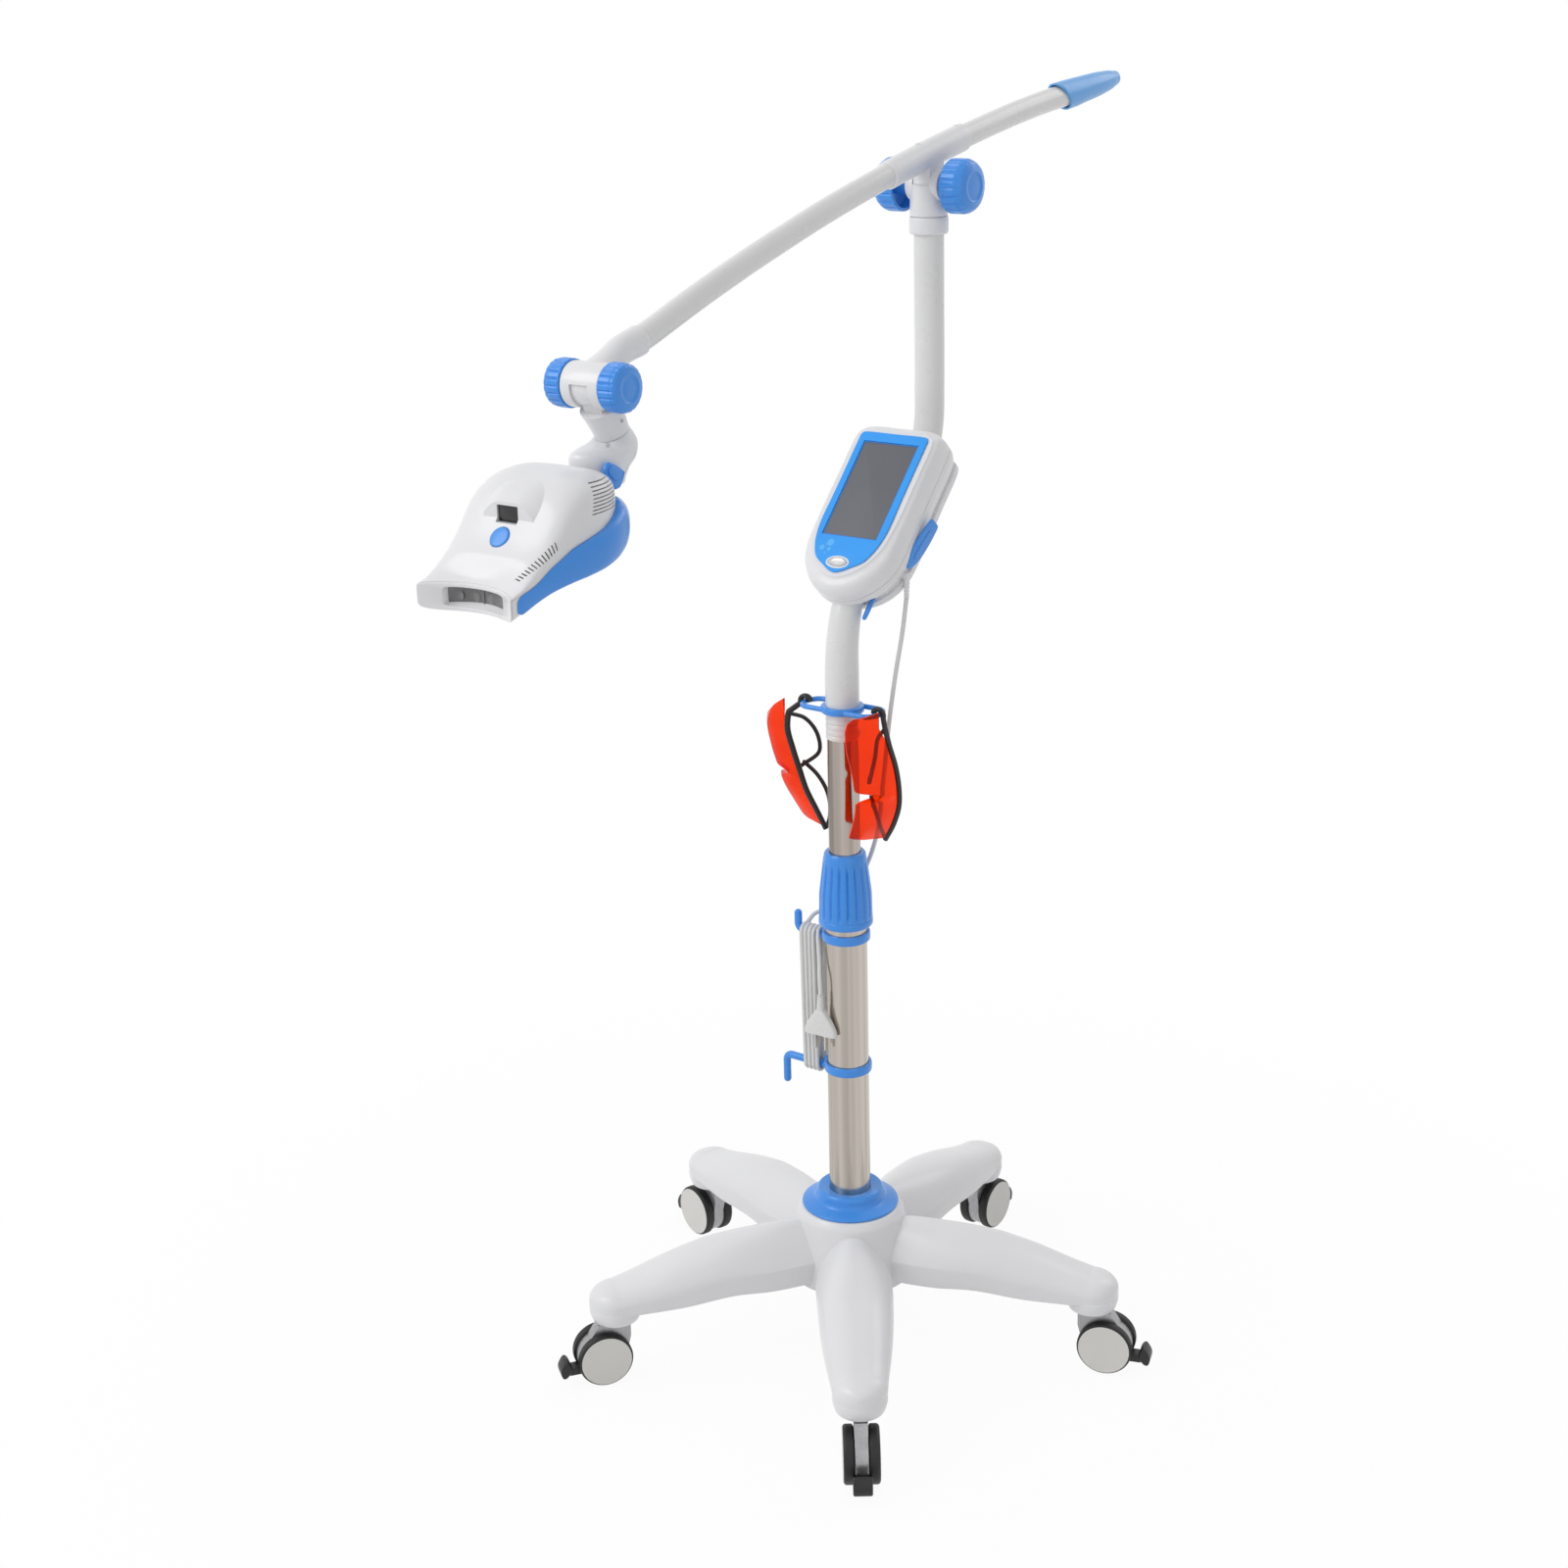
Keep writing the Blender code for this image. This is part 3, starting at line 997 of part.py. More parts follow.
def arm(mats):
    pivot = (0, POST_Y, TILT_Z)
    outer = [arm_ring(y, ARM_HALF_WIDTH, ARM_HALF_HEIGHT) for y in ARM_STATIONS]
    inner = [arm_ring(y, ARM_HALF_WIDTH - ARM_WALL, ARM_HALF_HEIGHT - ARM_WALL) for y in ARM_STATIONS]
    part("arm_tube", skin(outer + inner[::-1], loop=True), mats["white"], pivot)

    # End cap: a hollow shell round the arm with a slanted mouth, closed in a rounded nose
    fit_w, fit_h = ARM_HALF_WIDTH + GAP, ARM_HALF_HEIGHT + GAP
    stations = ((0.000, 0.0135, 0.0148), (0.022, 0.0136, 0.0150), (0.060, 0.0130, 0.0142), (0.096, 0.0112, 0.0122),
                (0.119, 0.0080, 0.0090), (0.1300, 0.0045, 0.0052), (0.1325, 0.0015, 0.0018))
    mouth, slant = 0.4375, 0.012
    rings = []
    for along_cap, half_w, half_h in stations:
        ring = arm_ring(mouth + along_cap, half_w, half_h)
        lean = slant * max(0.0, 1 - along_cap / 0.05)
        ring[:, 1] -= lean * np.sin(np.arange(16) * math.pi / 8)
        rings.append(ring)
    hollow = []
    for y in (*ARM_STATIONS[-3:-1], ARM_STATIONS[-1] + GAP):
        hollow.append(arm_ring(y, fit_w, fit_h))
    part("arm_end_cap", cut(skin(rings), skin(hollow)), mats["blue"], pivot)

    # Socket: a sleeve on the arm's front end that turns down into the head joint's two cheeks
    centre = np.array((0, JOINT_Y, JOINT_Z))
    sleeve_start, sleeve_end = ARM_STATIONS[0] - 0.002, ARM_STATIONS[1]
    rings = [joint_ring(0.008, 0.0190, 0.0190), joint_ring(0.025, 0.0155, 0.0172)]
    rings += [arm_ring(y, ARM_HALF_WIDTH + 0.0022, ARM_HALF_HEIGHT + 0.0018) for y in (sleeve_start, sleeve_end)]
    sleeve = skin([ring for ring in rings])
    seat = skin([arm_ring(y, fit_w, fit_h) for y in (ARM_STATIONS[0] - GAP, *ARM_STATIONS[1:3])])
    cheeks = cross_rod(JOINT_Y, JOINT_Z, JOINT_HALF, JOINT_R, steps=28)
    slot_disc = cross_rod(JOINT_Y, JOINT_Z, FORK_SLOT, JOINT_TONGUE_R + RUN, steps=24)
    slot = box((-FORK_SLOT, -0.03, -0.04), (FORK_SLOT, 0.0165, 0.04))
    slot.transform(Matrix.Translation(centre) @ Matrix.Rotation(SOCKET_SLOPE, 4, "X"))
    body = cut(union(cheeks, sleeve), seat, slot_disc, slot, bolt_cutter(JOINT_Y, JOINT_Z))
    part("arm_socket", body, mats["white"], pivot)


SOCKET_SLOPE = math.radians(28)


def joint_ring(distance, half_width, half_height, steps=16):
    """An oval ring square to the line that leaves the head joint towards the arm."""
    ahead = np.array((0, math.cos(SOCKET_SLOPE), math.sin(SOCKET_SLOPE)))
    across = np.array((0, -math.sin(SOCKET_SLOPE), math.cos(SOCKET_SLOPE)))
    c, s = circle(1.0, steps)
    centre = np.array((0, JOINT_Y, JOINT_Z)) + distance * ahead
    return centre + np.outer(half_width * c, (1, 0, 0)) + np.outer(half_height * s, across)


# Head joint, yoke, elbow

def head_joint(mats):
    pivot = (0, JOINT_Y, JOINT_Z)
    centre, axis = Vector(pivot), Vector(YOKE_AXIS).normalized()
    settings = dict(face=HEAD_KNOB_FACE, body_r=HEAD_KNOB_R, cap_r=0.0145, back=JOINT_HALF + GAP, hub_r=0.0090,
                    hub_start=JOINT_HALF + GAP, flutes=16, pivot=(JOINT_Y, JOINT_Z))
    part("head_knob_left", knob(-1, bolt_end=0.0262, **settings), mats["blue"], pivot)
    part("head_knob_right", knob(1, **settings), mats["blue"], pivot)

    neck = rod(centre + axis * NECK_START, centre + axis * NECK_END, JOINT_R - 0.0004, NECK_R, steps=28)
    tongue = strap(-TONGUE, TONGUE, (JOINT_Y, JOINT_Z), JOINT_TONGUE_R, (axis.y, axis.z), NECK_START + 0.002, 0.0120)
    part("yoke", cut(union(neck, tongue), bolt_cutter(JOINT_Y, JOINT_Z)), mats["white"], pivot)

    # Elbow: from the yoke's seam it turns forwards and ends in the lamp head's hinge barrel
    start = centre + axis * (NECK_END + GAP)
    side = Vector((0, -axis.z, axis.y))
    first = ((start - side * NECK_R)[1:], (start + side * NECK_R)[1:])
    if first[0][0] > first[1][0]:
        first = first[::-1]
    stations = ((*first, NECK_R), ((-0.3740, 1.0705), (-0.3255, 1.0730), 0.0190),
                ((-0.3900, 1.0690), (-0.3265, 1.0570), 0.0220), ((-0.4010, 1.0655), (-0.3380, 1.0465), 0.0225))
    body = skin([ellipse_ring(front, rear, half) for front, rear, half in stations])
    barrel = cross_rod(HINGE_Y, HINGE_Z, BARREL_HALF, BARREL_R, steps=28)
    pin = cross_rod(HINGE_Y, HINGE_Z, 0.05, HINGE_PIN_R + GAP, steps=12)
    part("elbow", cut(union(body, barrel), pin), mats["white"], tuple(start))

    # Wing lever: a hub with one wing, and the clamp pin through the hinge
    hub_start = BARREL_HALF + GAP + LUG_THICK + GAP
    hub = rod((hub_start, HINGE_Y, HINGE_Z), (0.0240, HINGE_Y, HINGE_Z), 0.0088, steps=20)
    wing = plate(((-0.0160, 0.0130), (-0.0085, 0.0155), (0.0065, 0.0068), (0.0092, 0.0030), (0.0040, -0.0065),
                  (0.0000, -0.0090), (-0.0068, -0.0078), (-0.0165, 0.0048)), 0.0229, 0.0290)
    wing.transform(Matrix.Translation((0, HINGE_Y, HINGE_Z)) @ ACROSS)
    pin = rod((-BARREL_HALF - LUG_THICK, HINGE_Y, HINGE_Z), (0.022, HINGE_Y, HINGE_Z), HINGE_PIN_R, steps=12)
    part("wing_lever", union(hub, pin, wing), mats["blue"], (0, HINGE_Y, HINGE_Z))


# Lamp head: stations along y with half width, underside, low edge, high edge and top of its sections
HEAD_STATIONS = np.array((
    (-0.551, 0.0530, 0.9555, 0.9590, 0.9770, 0.9802),
    (-0.538, 0.0536, 0.9600, 0.9635, 0.9795, 0.9850),
    (-0.520, 0.0545, 0.9665, 0.9697, 0.9850, 0.9985),
    (-0.502, 0.0558, 0.9710, 0.9745, 0.9950, 1.0150),
    (-0.4915, 0.0572, 0.9733, 0.9765, 1.0000, 1.0280),
    (-0.480, 0.0590, 0.9755, 0.9785, 1.0060, 1.0430),
    (-0.460, 0.0612, 0.9785, 0.9810, 1.0120, 1.0570),
    (-0.440, 0.0608, 0.9815, 0.9840, 1.0170, 1.0620),
    (-0.420, 0.0555, 0.9860, 0.9885, 1.0240, 1.0620),
    (-0.405, 0.0465, 0.9910, 0.9935, 1.0300, 1.0570),
    (-0.393, 0.0325, 0.9970, 0.9990, 1.0310, 1.0480),
    (-0.386, 0.0190, 1.0030, 1.0050, 1.0310, 1.0400),
    (-0.383, 0.0060, 1.0070, 1.0100, 1.0300, 1.0330),
))
MOUTH_DISH = 0.015      # how far the mouth's middle stands back from its corners


def head_row(y):
    """Half width, underside, low edge, high edge and top at y."""
    return [float(smooth(HEAD_STATIONS[:, 0], HEAD_STATIONS[:, k], y)) for k in range(1, 6)]


def front_push(x, y):
    """Moves the first rows back in their middle, so that the mouth is dished."""
    reach = 0.035
    share = max(0.0, 1 - (y - HEAD_STATIONS[0, 0]) / reach)
    return MOUTH_DISH * share * (1 - (x / 0.052) ** 2)


def upper_point(angle, y):
    """A point of the head's upper surface: a superellipse from the high edge over the top."""
    half, _, _, high, top = head_row(y)
    x = half * np.sign(math.cos(angle)) * abs(math.cos(angle)) ** (2 / HEAD_POWER)
    z = high + (top - high) * math.sin(angle) ** (2 / HEAD_POWER)
    return x, y + front_push(x, y), z


# The hood over the display: y, half width and height of its foot, half width and height of its top
VISOR = ((DISPLAY_Y - 0.0005, 0.0300, 1.0215, 0.0150, 1.0420), (DISPLAY_Y + 0.0100, 0.0360, 1.0290, 0.0190, 1.0500),
         (DISPLAY_Y + 0.0310, 0.0340, 1.0450, 0.0220, 1.0575))


def visor_ring(y, foot_half, foot, top_half, top):
    side = [(foot_half, foot), (foot_half * 0.92, foot + (top - foot) * 0.45),
            (top_half, top - (top - foot) * 0.08), (top_half * 0.5, top)]
    return [(x, y, z) for x, z in side] + [(-x, y, z) for x, z in side[::-1]]


def walled(outer, inner):
    """A sheet with thickness: two grids of points, joined round their four borders."""
    work = bmesh.new()
    borders = []
    for rows in (outer, inner):
        grid = [[work.verts.new(point) for point in row] for row in rows]
        for a, b in zip(grid, grid[1:]):
            for i in range(len(a) - 1):
                work.faces.new((a[i], a[i + 1], b[i + 1], b[i]))
        borders.append(grid[0] + [row[-1] for row in grid[1:]] + grid[-1][-2::-1]
                       + [row[0] for row in grid[-2:0:-1]])
    for i in range(len(borders[0])):
        work.faces.new((borders[0][i - 1], borders[0][i], borders[1][i], borders[1][i - 1]))
    mesh = bpy.data.meshes.new("walled")
    work.to_mesh(mesh)
    work.free()
    return tidy(mesh)


def inset_y(y):
    """Where the inner face of a wall stands for the outer face's y: the same in front, a wall less behind."""
    front, rear = HEAD_STATIONS[0, 0], HEAD_STATIONS[-1, 0]
    return y - HEAD_WALL * (y - front) / (rear - front)


def lamp_head(mats):
    hinge = (0, HINGE_Y, HINGE_Z)
    ys = (-0.551, -0.540, -0.528, -0.514, -0.502, -0.4915, -0.480, -0.466, -0.450, -0.434, -0.420, -0.408, -0.398,
          -0.390, -0.3855, -0.383)
    angles = np.linspace(0, math.pi, 11)

    # Upper shell, with lugs for the hinge, the display's recess and its holes
    outer, inner = [], []
    for y in ys:
        half, _, _, high, top = head_row(y)
        narrow, low = (half - HEAD_WALL) / half, (top - high - HEAD_WALL) / (top - high)
        outer.append([upper_point(a, y) for a in angles])
        inner.append([(px * narrow, inset_y(py), high + (pz - high) * low) for px, py, pz in outer[-1]])
    shell = walled(outer, inner)
    lug_start = BARREL_HALF + GAP + 0.0001
    lugs = []
    for low in (-lug_start - LUG_THICK, lug_start):
        lugs.append(strap(low, low + LUG_THICK, (HINGE_Y, HINGE_Z), LUG_R, (-0.90, -0.15), 0.0240, 0.0085))
    barrel = cross_rod(HINGE_Y, HINGE_Z, BARREL_HALF + GAP, BARREL_R + RUN, steps=28)
    barrel_room = cross_rod(HINGE_Y, HINGE_Z, BARREL_HALF + LUG_THICK + RUN, BARREL_R + RUN, steps=28)
    pin = cross_rod(HINGE_Y, HINGE_Z, 0.05, HINGE_PIN_R + GAP, steps=12)
    slope = Vector((0, -0.750, 0.661))
    button_at = Vector((0, -0.5022, 1.0150))
    button_hole = rod(button_at - slope * 0.012, button_at + slope * 0.012, HEAD_BUTTON_R + GAP)
    visor = skin([visor_ring(*ring) for ring in VISOR])
    window = box((-0.0118, -0.5100, 1.0250), (0.0118, DISPLAY_Y + 0.0060, 1.0398))
    shell = cut(union(shell, visor, *lugs), barrel, pin, button_hole, window)
    part("head_top_shell", shell, mats["white"], hinge)

    # Lower shell: side walls up to the upper shell, and the underside
    outer, inner = [], []
    for y in ys:
        half, bottom, low, high, _ = head_row(y)
        narrow = (half - HEAD_WALL) / half
        section = [(half, high - GAP), (half, (high + low) / 2), (half, low), (half * 0.86, bottom),
                   (half * 0.4, bottom), (0, bottom)]
        section += [(-x, z) for x, z in section[-2::-1]]
        outer.append([(x, y + front_push(x, y), z) for x, z in section])
        inner.append([(x * narrow, inset_y(y + front_push(x, y)), z + HEAD_WALL * (z < low + 0.0005))
                      for x, z in section])
    part("head_bottom_shell", walled(outer, inner), mats["white"], hinge)

    # Band round the sides and rear, thickest at the rear
    part("head_trim", cut(head_trim(ys), barrel_room), mats["blue"], hinge)

    # Display, button, lens, board and fan
    part("display_window", box((-0.0115, DISPLAY_Y + 0.0008, 1.0253), (0.0115, DISPLAY_Y + 0.0057, 1.0395)),
         mats["black"], hinge)
    button = union(rod(button_at - slope * 0.0060, button_at + slope * 0.0012, HEAD_BUTTON_R),
                   rod(button_at - slope * 0.0085, button_at - slope * 0.0055, HEAD_BUTTON_R + 0.0015))
    part("head_button", button, mats["blue"], tuple(button_at))
    part("led_lens", box((-0.0440, -0.5215, 0.9697), (0.0440, -0.5190, 0.9850)), mats["lens"], hinge)
    board = box((-0.0350, -0.4950, 0.9808), (0.0350, -0.4650, 0.9850))
    fins = [box((x - 0.0012, -0.4930, 0.9845), (x + 0.0012, -0.4670, 0.9960)) for x in np.linspace(-0.030, 0.030, 7)]
    centre = Matrix.Translation((0, FAN_Y, 0))
    fan = cut(turned(((0, 1.0040), (0.0200, 1.0040), (0.0200, 0.9920), (0, 0.9920)), centre, steps=24),
              turned(((0.0070, 1.0050), (0.0175, 1.0050), (0.0175, 0.9940), (0.0070, 0.9940)), centre, steps=24))
    bracket = box((-0.0080, -0.4700, 0.9925), (0.0080, FAN_Y - 0.0185, 0.9955))
    part("led_engine", union(board, *fins, fan, bracket), mats["board"], hinge)


def head_trim(ys):
    """A U-shaped band outside the lower shell's side walls."""
    stations = [y for y in ys if -0.545 < y]
    half_line = []
    for y in stations:
        half, _, low, high, _ = head_row(y)
        half_line.append((half, y, low, high))
    half_line.append((0.0, -0.3822, 1.0110, 1.0290))
    line = half_line + [(-x, y, low, high) for x, y, low, high in half_line[-2::-1]]
    plan = np.array([(x, y) for x, y, _, _ in line])
    ahead = np.gradient(plan, axis=0)
    outward = np.stack([-ahead[:, 1], ahead[:, 0]], 1)
    outward /= np.linalg.norm(outward, axis=1)[:, None]
    outward *= np.sign((outward * (plan - (0, -0.46))).sum(1))[:, None]
    rings = []
    for (x, y, low, high), out in zip(line, outward):
        rear = np.clip((y + 0.545) / 0.16, 0, 1)
        bulge = 0.0006 + 0.0128 * rear ** 2
        edge = 0.0010
        section = ((0.0004, low), (0.0004, high - 0.0005), (edge + bulge * 0.3, high),
                   (edge + bulge, high - (high - low) * 0.35), (edge + bulge, low + (high - low) * 0.3),
                   (edge + bulge * 0.3, low))
        rings.append([(x + out[0] * t, y + out[1] * t, z) for t, z in section])
    return skin(rings)


def centre_lamp():
    """Move the root so that the lamp, without its cord, stands centred over the origin."""
    bpy.context.view_layer.update()
    low, high = np.full(3, 9.0), np.full(3, -9.0)
    for obj in PARTS.objects:
        if obj.type == "MESH" and obj.name not in ("mains_cord", "cord_winding", "mains_plug"):
            corners = np.array([obj.matrix_world @ v.co for v in obj.data.vertices])
            low, high = np.minimum(low, corners.min(0)), np.maximum(high, corners.max(0))
    ROOT.location = (-(low[0] + high[0]) / 2, -(low[1] + high[1]) / 2, 0)
    print("root shift", [round(v, 6) for v in ROOT.location], "size", np.round(high - low, 4), "floor", low[2])


def main():
    mats = {
        "white": material("white_plastic", WHITE, 0.35),
        "blue": material("blue_plastic", BLUE, 0.35),
        "black": material("black_plastic", BLACK, 0.5),
        "grey": material("silver_plastic", (0.42, 0.42, 0.43), 0.35),
        "steel": material("brushed_stainless", STEEL, 0.3, 1.0),
        "orange": material("orange_lens", (0.95, 0.10, 0.02), 0.1, 0.0, 0.75),
        "lcd": material("lcd_glass", (0.35, 0.40, 0.40), 0.2),
        "board": material("circuit_board", (0.02, 0.16, 0.06), 0.5),
        "cord": material("pale_grey_cord", (0.62, 0.62, 0.62), 0.5),
        "lens": material("clear_lens", (0.30, 0.30, 0.31), 0.2),
    }
    star_base(mats["white"])
    base_collar(mats["blue"])
    for i in range(LEG_COUNT):
        caster(i, mats)
    poles(mats)
    height_collar(mats["blue"])
    hooks(mats["blue"])
    post_tube(mats["white"])
    goggle_holder(mats["blue"])
    goggles(mats)
    control_box(mats)
    mains_cord(mats)
    top_joint(mats)
    arm(mats)
    head_joint(mats)
    lamp_head(mats)
    centre_lamp()


main()
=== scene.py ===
"""Teeth whitening lamp on a five-star wheeled stand, dressed for a plain studio picture.

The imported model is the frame. Each visible form is drawn again here as a smooth surface, worked out with numpy
round the pole's axis, and then moved to where the frame's pole stands. Metres, +Z up, the lamp head towards -Y.
"""
import json
import math

import bmesh
import bpy
import numpy as np
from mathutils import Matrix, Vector

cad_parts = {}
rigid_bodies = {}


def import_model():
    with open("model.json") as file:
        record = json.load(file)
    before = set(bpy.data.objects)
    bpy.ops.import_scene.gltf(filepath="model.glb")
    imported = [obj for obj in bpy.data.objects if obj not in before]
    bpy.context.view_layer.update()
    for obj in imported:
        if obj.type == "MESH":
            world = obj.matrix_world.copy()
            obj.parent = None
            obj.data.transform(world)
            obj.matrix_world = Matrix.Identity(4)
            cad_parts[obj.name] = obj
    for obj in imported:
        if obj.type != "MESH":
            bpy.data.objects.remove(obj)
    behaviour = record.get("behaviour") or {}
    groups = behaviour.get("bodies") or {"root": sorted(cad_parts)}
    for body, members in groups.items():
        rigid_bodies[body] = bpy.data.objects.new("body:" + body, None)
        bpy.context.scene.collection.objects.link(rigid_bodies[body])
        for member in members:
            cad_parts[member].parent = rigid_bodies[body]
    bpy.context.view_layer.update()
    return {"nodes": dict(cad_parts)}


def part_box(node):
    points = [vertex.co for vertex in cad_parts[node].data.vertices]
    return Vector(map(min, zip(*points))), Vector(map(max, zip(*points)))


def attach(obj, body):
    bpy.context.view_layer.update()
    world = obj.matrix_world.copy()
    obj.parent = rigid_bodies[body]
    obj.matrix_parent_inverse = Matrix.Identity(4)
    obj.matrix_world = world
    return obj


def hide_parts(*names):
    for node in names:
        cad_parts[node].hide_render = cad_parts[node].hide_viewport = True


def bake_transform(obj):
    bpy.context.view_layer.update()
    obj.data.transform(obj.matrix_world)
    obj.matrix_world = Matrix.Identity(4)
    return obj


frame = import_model()
NODES = frame["nodes"]
POLE_LOW, POLE_HIGH = (np.array(corner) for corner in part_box("outer_pole"))
SHIFT = np.array((0.0, (POLE_LOW[1] + POLE_HIGH[1]) / 2, 0.0))     # the pole's axis in the frame
GAP = 0.0003     # clearance between pieces that meet
DENSE = 1200     # points on which a curve is measured before it is spaced evenly
MERGE = 2e-6     # points that are closer than this become one


# Camera: fitted to the photograph, in the pole's own axes

CAMERA_AZIMUTH = math.radians(34.615)
CAMERA_DISTANCE = 2.39625
CAMERA_HEIGHT = 1.46618
CAMERA_YAW = math.radians(-1.49415)
CAMERA_PITCH = math.radians(18.767)
CAMERA_ROLL = math.radians(-1.39644)
CAMERA_LENS = 55.504


def view_camera():
    """The photo's camera: at an azimuth, distance and height round the pole, turned by yaw, pitch and roll."""
    data = bpy.data.cameras.new("camera")
    data.lens = CAMERA_LENS
    data.sensor_width = 36.0
    data.clip_start = 0.05
    obj = bpy.data.objects.new("camera", data)
    bpy.context.scene.collection.objects.link(obj)
    heading = CAMERA_AZIMUTH - CAMERA_YAW
    level = math.cos(CAMERA_PITCH)
    ahead = Vector((-math.sin(heading) * level, math.cos(heading) * level, -math.sin(CAMERA_PITCH)))
    right = Vector((math.cos(heading), math.sin(heading), 0.0))
    up = right.cross(ahead)
    across = math.cos(CAMERA_ROLL) * right + math.sin(CAMERA_ROLL) * up
    above = -math.sin(CAMERA_ROLL) * right + math.cos(CAMERA_ROLL) * up
    spot = Vector((math.sin(CAMERA_AZIMUTH) * CAMERA_DISTANCE, -math.cos(CAMERA_AZIMUTH) * CAMERA_DISTANCE,
                   CAMERA_HEIGHT)) + Vector(SHIFT)
    obj.matrix_world = (
        (across.x, above.x, -ahead.x, spot.x), (across.y, above.y, -ahead.y, spot.y),
        (across.z, above.z, -ahead.z, spot.z), (0, 0, 0, 1))
    obj.matrix_world.transpose()
    bpy.context.scene.camera = obj
    return obj


# Surfaces: points in rows and columns, and the faces between them

def grid(points, round_v=True, round_u=False, caps=(False, False)):
    """Quads between neighbours of a (rows, columns, 3) array, closed round its columns or rows, with flat caps."""
    points = np.asarray(points, float)
    rows, columns = points.shape[:2]
    index = np.arange(rows * columns).reshape(rows, columns)
    low = index if round_u else index[:-1]
    high = np.roll(index, -1, 0) if round_u else index[1:]
    if round_v:
        quads = np.stack([low, np.roll(low, -1, 1), np.roll(high, -1, 1), high], -1)
    else:
        quads = np.stack([low[:, :-1], low[:, 1:], high[:, 1:], high[:, :-1]], -1)
    faces = quads.reshape(-1, 4).tolist()
    if caps[0]:
        faces.append(index[0][::-1].tolist())
    if caps[1]:
        faces.append(index[-1].tolist())
    return points.reshape(-1, 3), faces


def join(*forms):
    """Several surfaces as one."""
    verts, faces, base = [], [], 0
    for points, polygons in forms:
        verts.append(points)
        faces += [[i + base for i in face] for face in polygons]
        base += len(points)
    return np.vstack(verts), faces


def place(form, origin=(0, 0, 0), x=(1, 0, 0), y=(0, 1, 0), z=(0, 0, 1)):
    """A form moved so that its axes lie along x, y and z from origin."""
    points, faces = form
    return points @ np.array((x, y, z), float) + np.array(origin, float), faces


# Axes for place: a drawing seen from the front, and one seen from the side with its thickness along X
FRONT_ON = dict(x=(1, 0, 0), y=(0, 0, 1), z=(0, -1, 0))
ACROSS_X = dict(x=(0, 1, 0), y=(0, 0, 1), z=(1, 0, 0))


def unit(vector):
    """A vector, or each row of an array, at length one."""
    vector = np.asarray(vector, float)
    return vector / np.linalg.norm(vector, axis=-1, keepdims=True)


def full_turn(steps):
    """Even angles once round."""
    return np.arange(steps) * 2 * math.pi / steps


def turned(profile, centre=(0, 0, 0), axis=(0, 0, 1), steps=96, closed=False, flutes=0, depth=0.0):
    """A profile of (radius, height) turned about an axis; flutes wave the radius by depth, scaled by row weights.

    Point = centre + height * axis + radius * (cos a * side + sin a * over). A profile row may have a third
    value, its flute weight: radius is then reduced by depth * weight * a rounded groove in cos(flutes * a).
    """
    profile = np.array([tuple(row) + (0.0,) * (3 - len(row)) for row in profile], float)
    w = unit(axis)
    side = unit(np.cross((1, 0, 0) if abs(w[0]) < 0.9 else (0, 1, 0), w))
    over = np.cross(w, side)
    a = full_turn(steps)
    groove = np.clip(np.cos(flutes * a), 0, 1) ** 2 if flutes else np.zeros(steps)
    radius = profile[:, :1] - depth * profile[:, 2:] * groove
    points = (np.array(centre) + profile[:, 1, None, None] * w
              + radius[..., None] * (np.cos(a)[:, None] * side + np.sin(a)[:, None] * over))
    return grid(points, round_u=closed, caps=(not closed, not closed))


def rounded(profile, radius=0.0006, steps=4):
    """A profile with each inner corner replaced by an arc of about that radius; end points stay."""
    profile = np.array(profile, float)
    out = [profile[0]]
    for before, corner, after in zip(profile, profile[1:], profile[2:]):
        back, ahead = before - corner, after - corner
        reach = min(radius, 0.45 * np.linalg.norm(back[:2]), 0.45 * np.linalg.norm(ahead[:2]))
        start = corner + back / np.linalg.norm(back[:2]) * reach
        end = corner + ahead / np.linalg.norm(ahead[:2]) * reach
        for t in np.linspace(0, 1, steps):
            out.append((1 - t) ** 2 * start + 2 * t * (1 - t) * corner + t ** 2 * end)
    return np.array(out + [profile[-1]])


def hermite(t):
    """Cubic weights at t of the start, of the slope there, of the end and of the slope there."""
    return 2 * t**3 - 3 * t**2 + 1, t**3 - 2 * t**2 + t, 3 * t**2 - 2 * t**3, t**3 - t**2


def smooth(xs, ys, x):
    """Cubic Hermite curve through (xs, ys), each slope the mean of those beside it."""
    xs, ys, x = np.asarray(xs, float), np.asarray(ys, float), np.asarray(x, float)
    slope = np.gradient(ys, xs)
    i = np.clip(np.searchsorted(xs, x) - 1, 0, len(xs) - 2)
    step = xs[i + 1] - xs[i]
    start, leave, end, arrive = hermite((x - xs[i]) / step)
    return start * ys[i] + leave * step * slope[i] + end * ys[i + 1] + arrive * step * slope[i + 1]


def spans(path):
    """The distances from each point of a path to the next."""
    return np.linalg.norm(np.diff(path, axis=0), axis=1)


def run_along(path):
    """How far along a path each of its points lies."""
    return np.r_[0, np.cumsum(spans(path))]


def smooth_path(points, count):
    """count points, evenly spaced along a smooth curve through the given ones."""
    points = np.asarray(points, float)
    chord = run_along(points)
    fine = np.linspace(0, chord[-1], DENSE)
    dense = np.stack([smooth(chord, points[:, k], fine) for k in range(points.shape[1])], 1)
    run = run_along(dense)
    even = np.linspace(0, run[-1], count)
    return np.stack([np.interp(even, run, dense[:, k]) for k in range(points.shape[1])], 1)


def oval(half_x, half_y, steps=48, power=2.0):
    """A superellipse as (x, y) points."""
    a = full_turn(steps)
    c, s = np.cos(a), np.sin(a)
    return np.stack([half_x * np.sign(c) * np.abs(c) ** (2 / power),
                     half_y * np.sign(s) * np.abs(s) ** (2 / power)], 1)


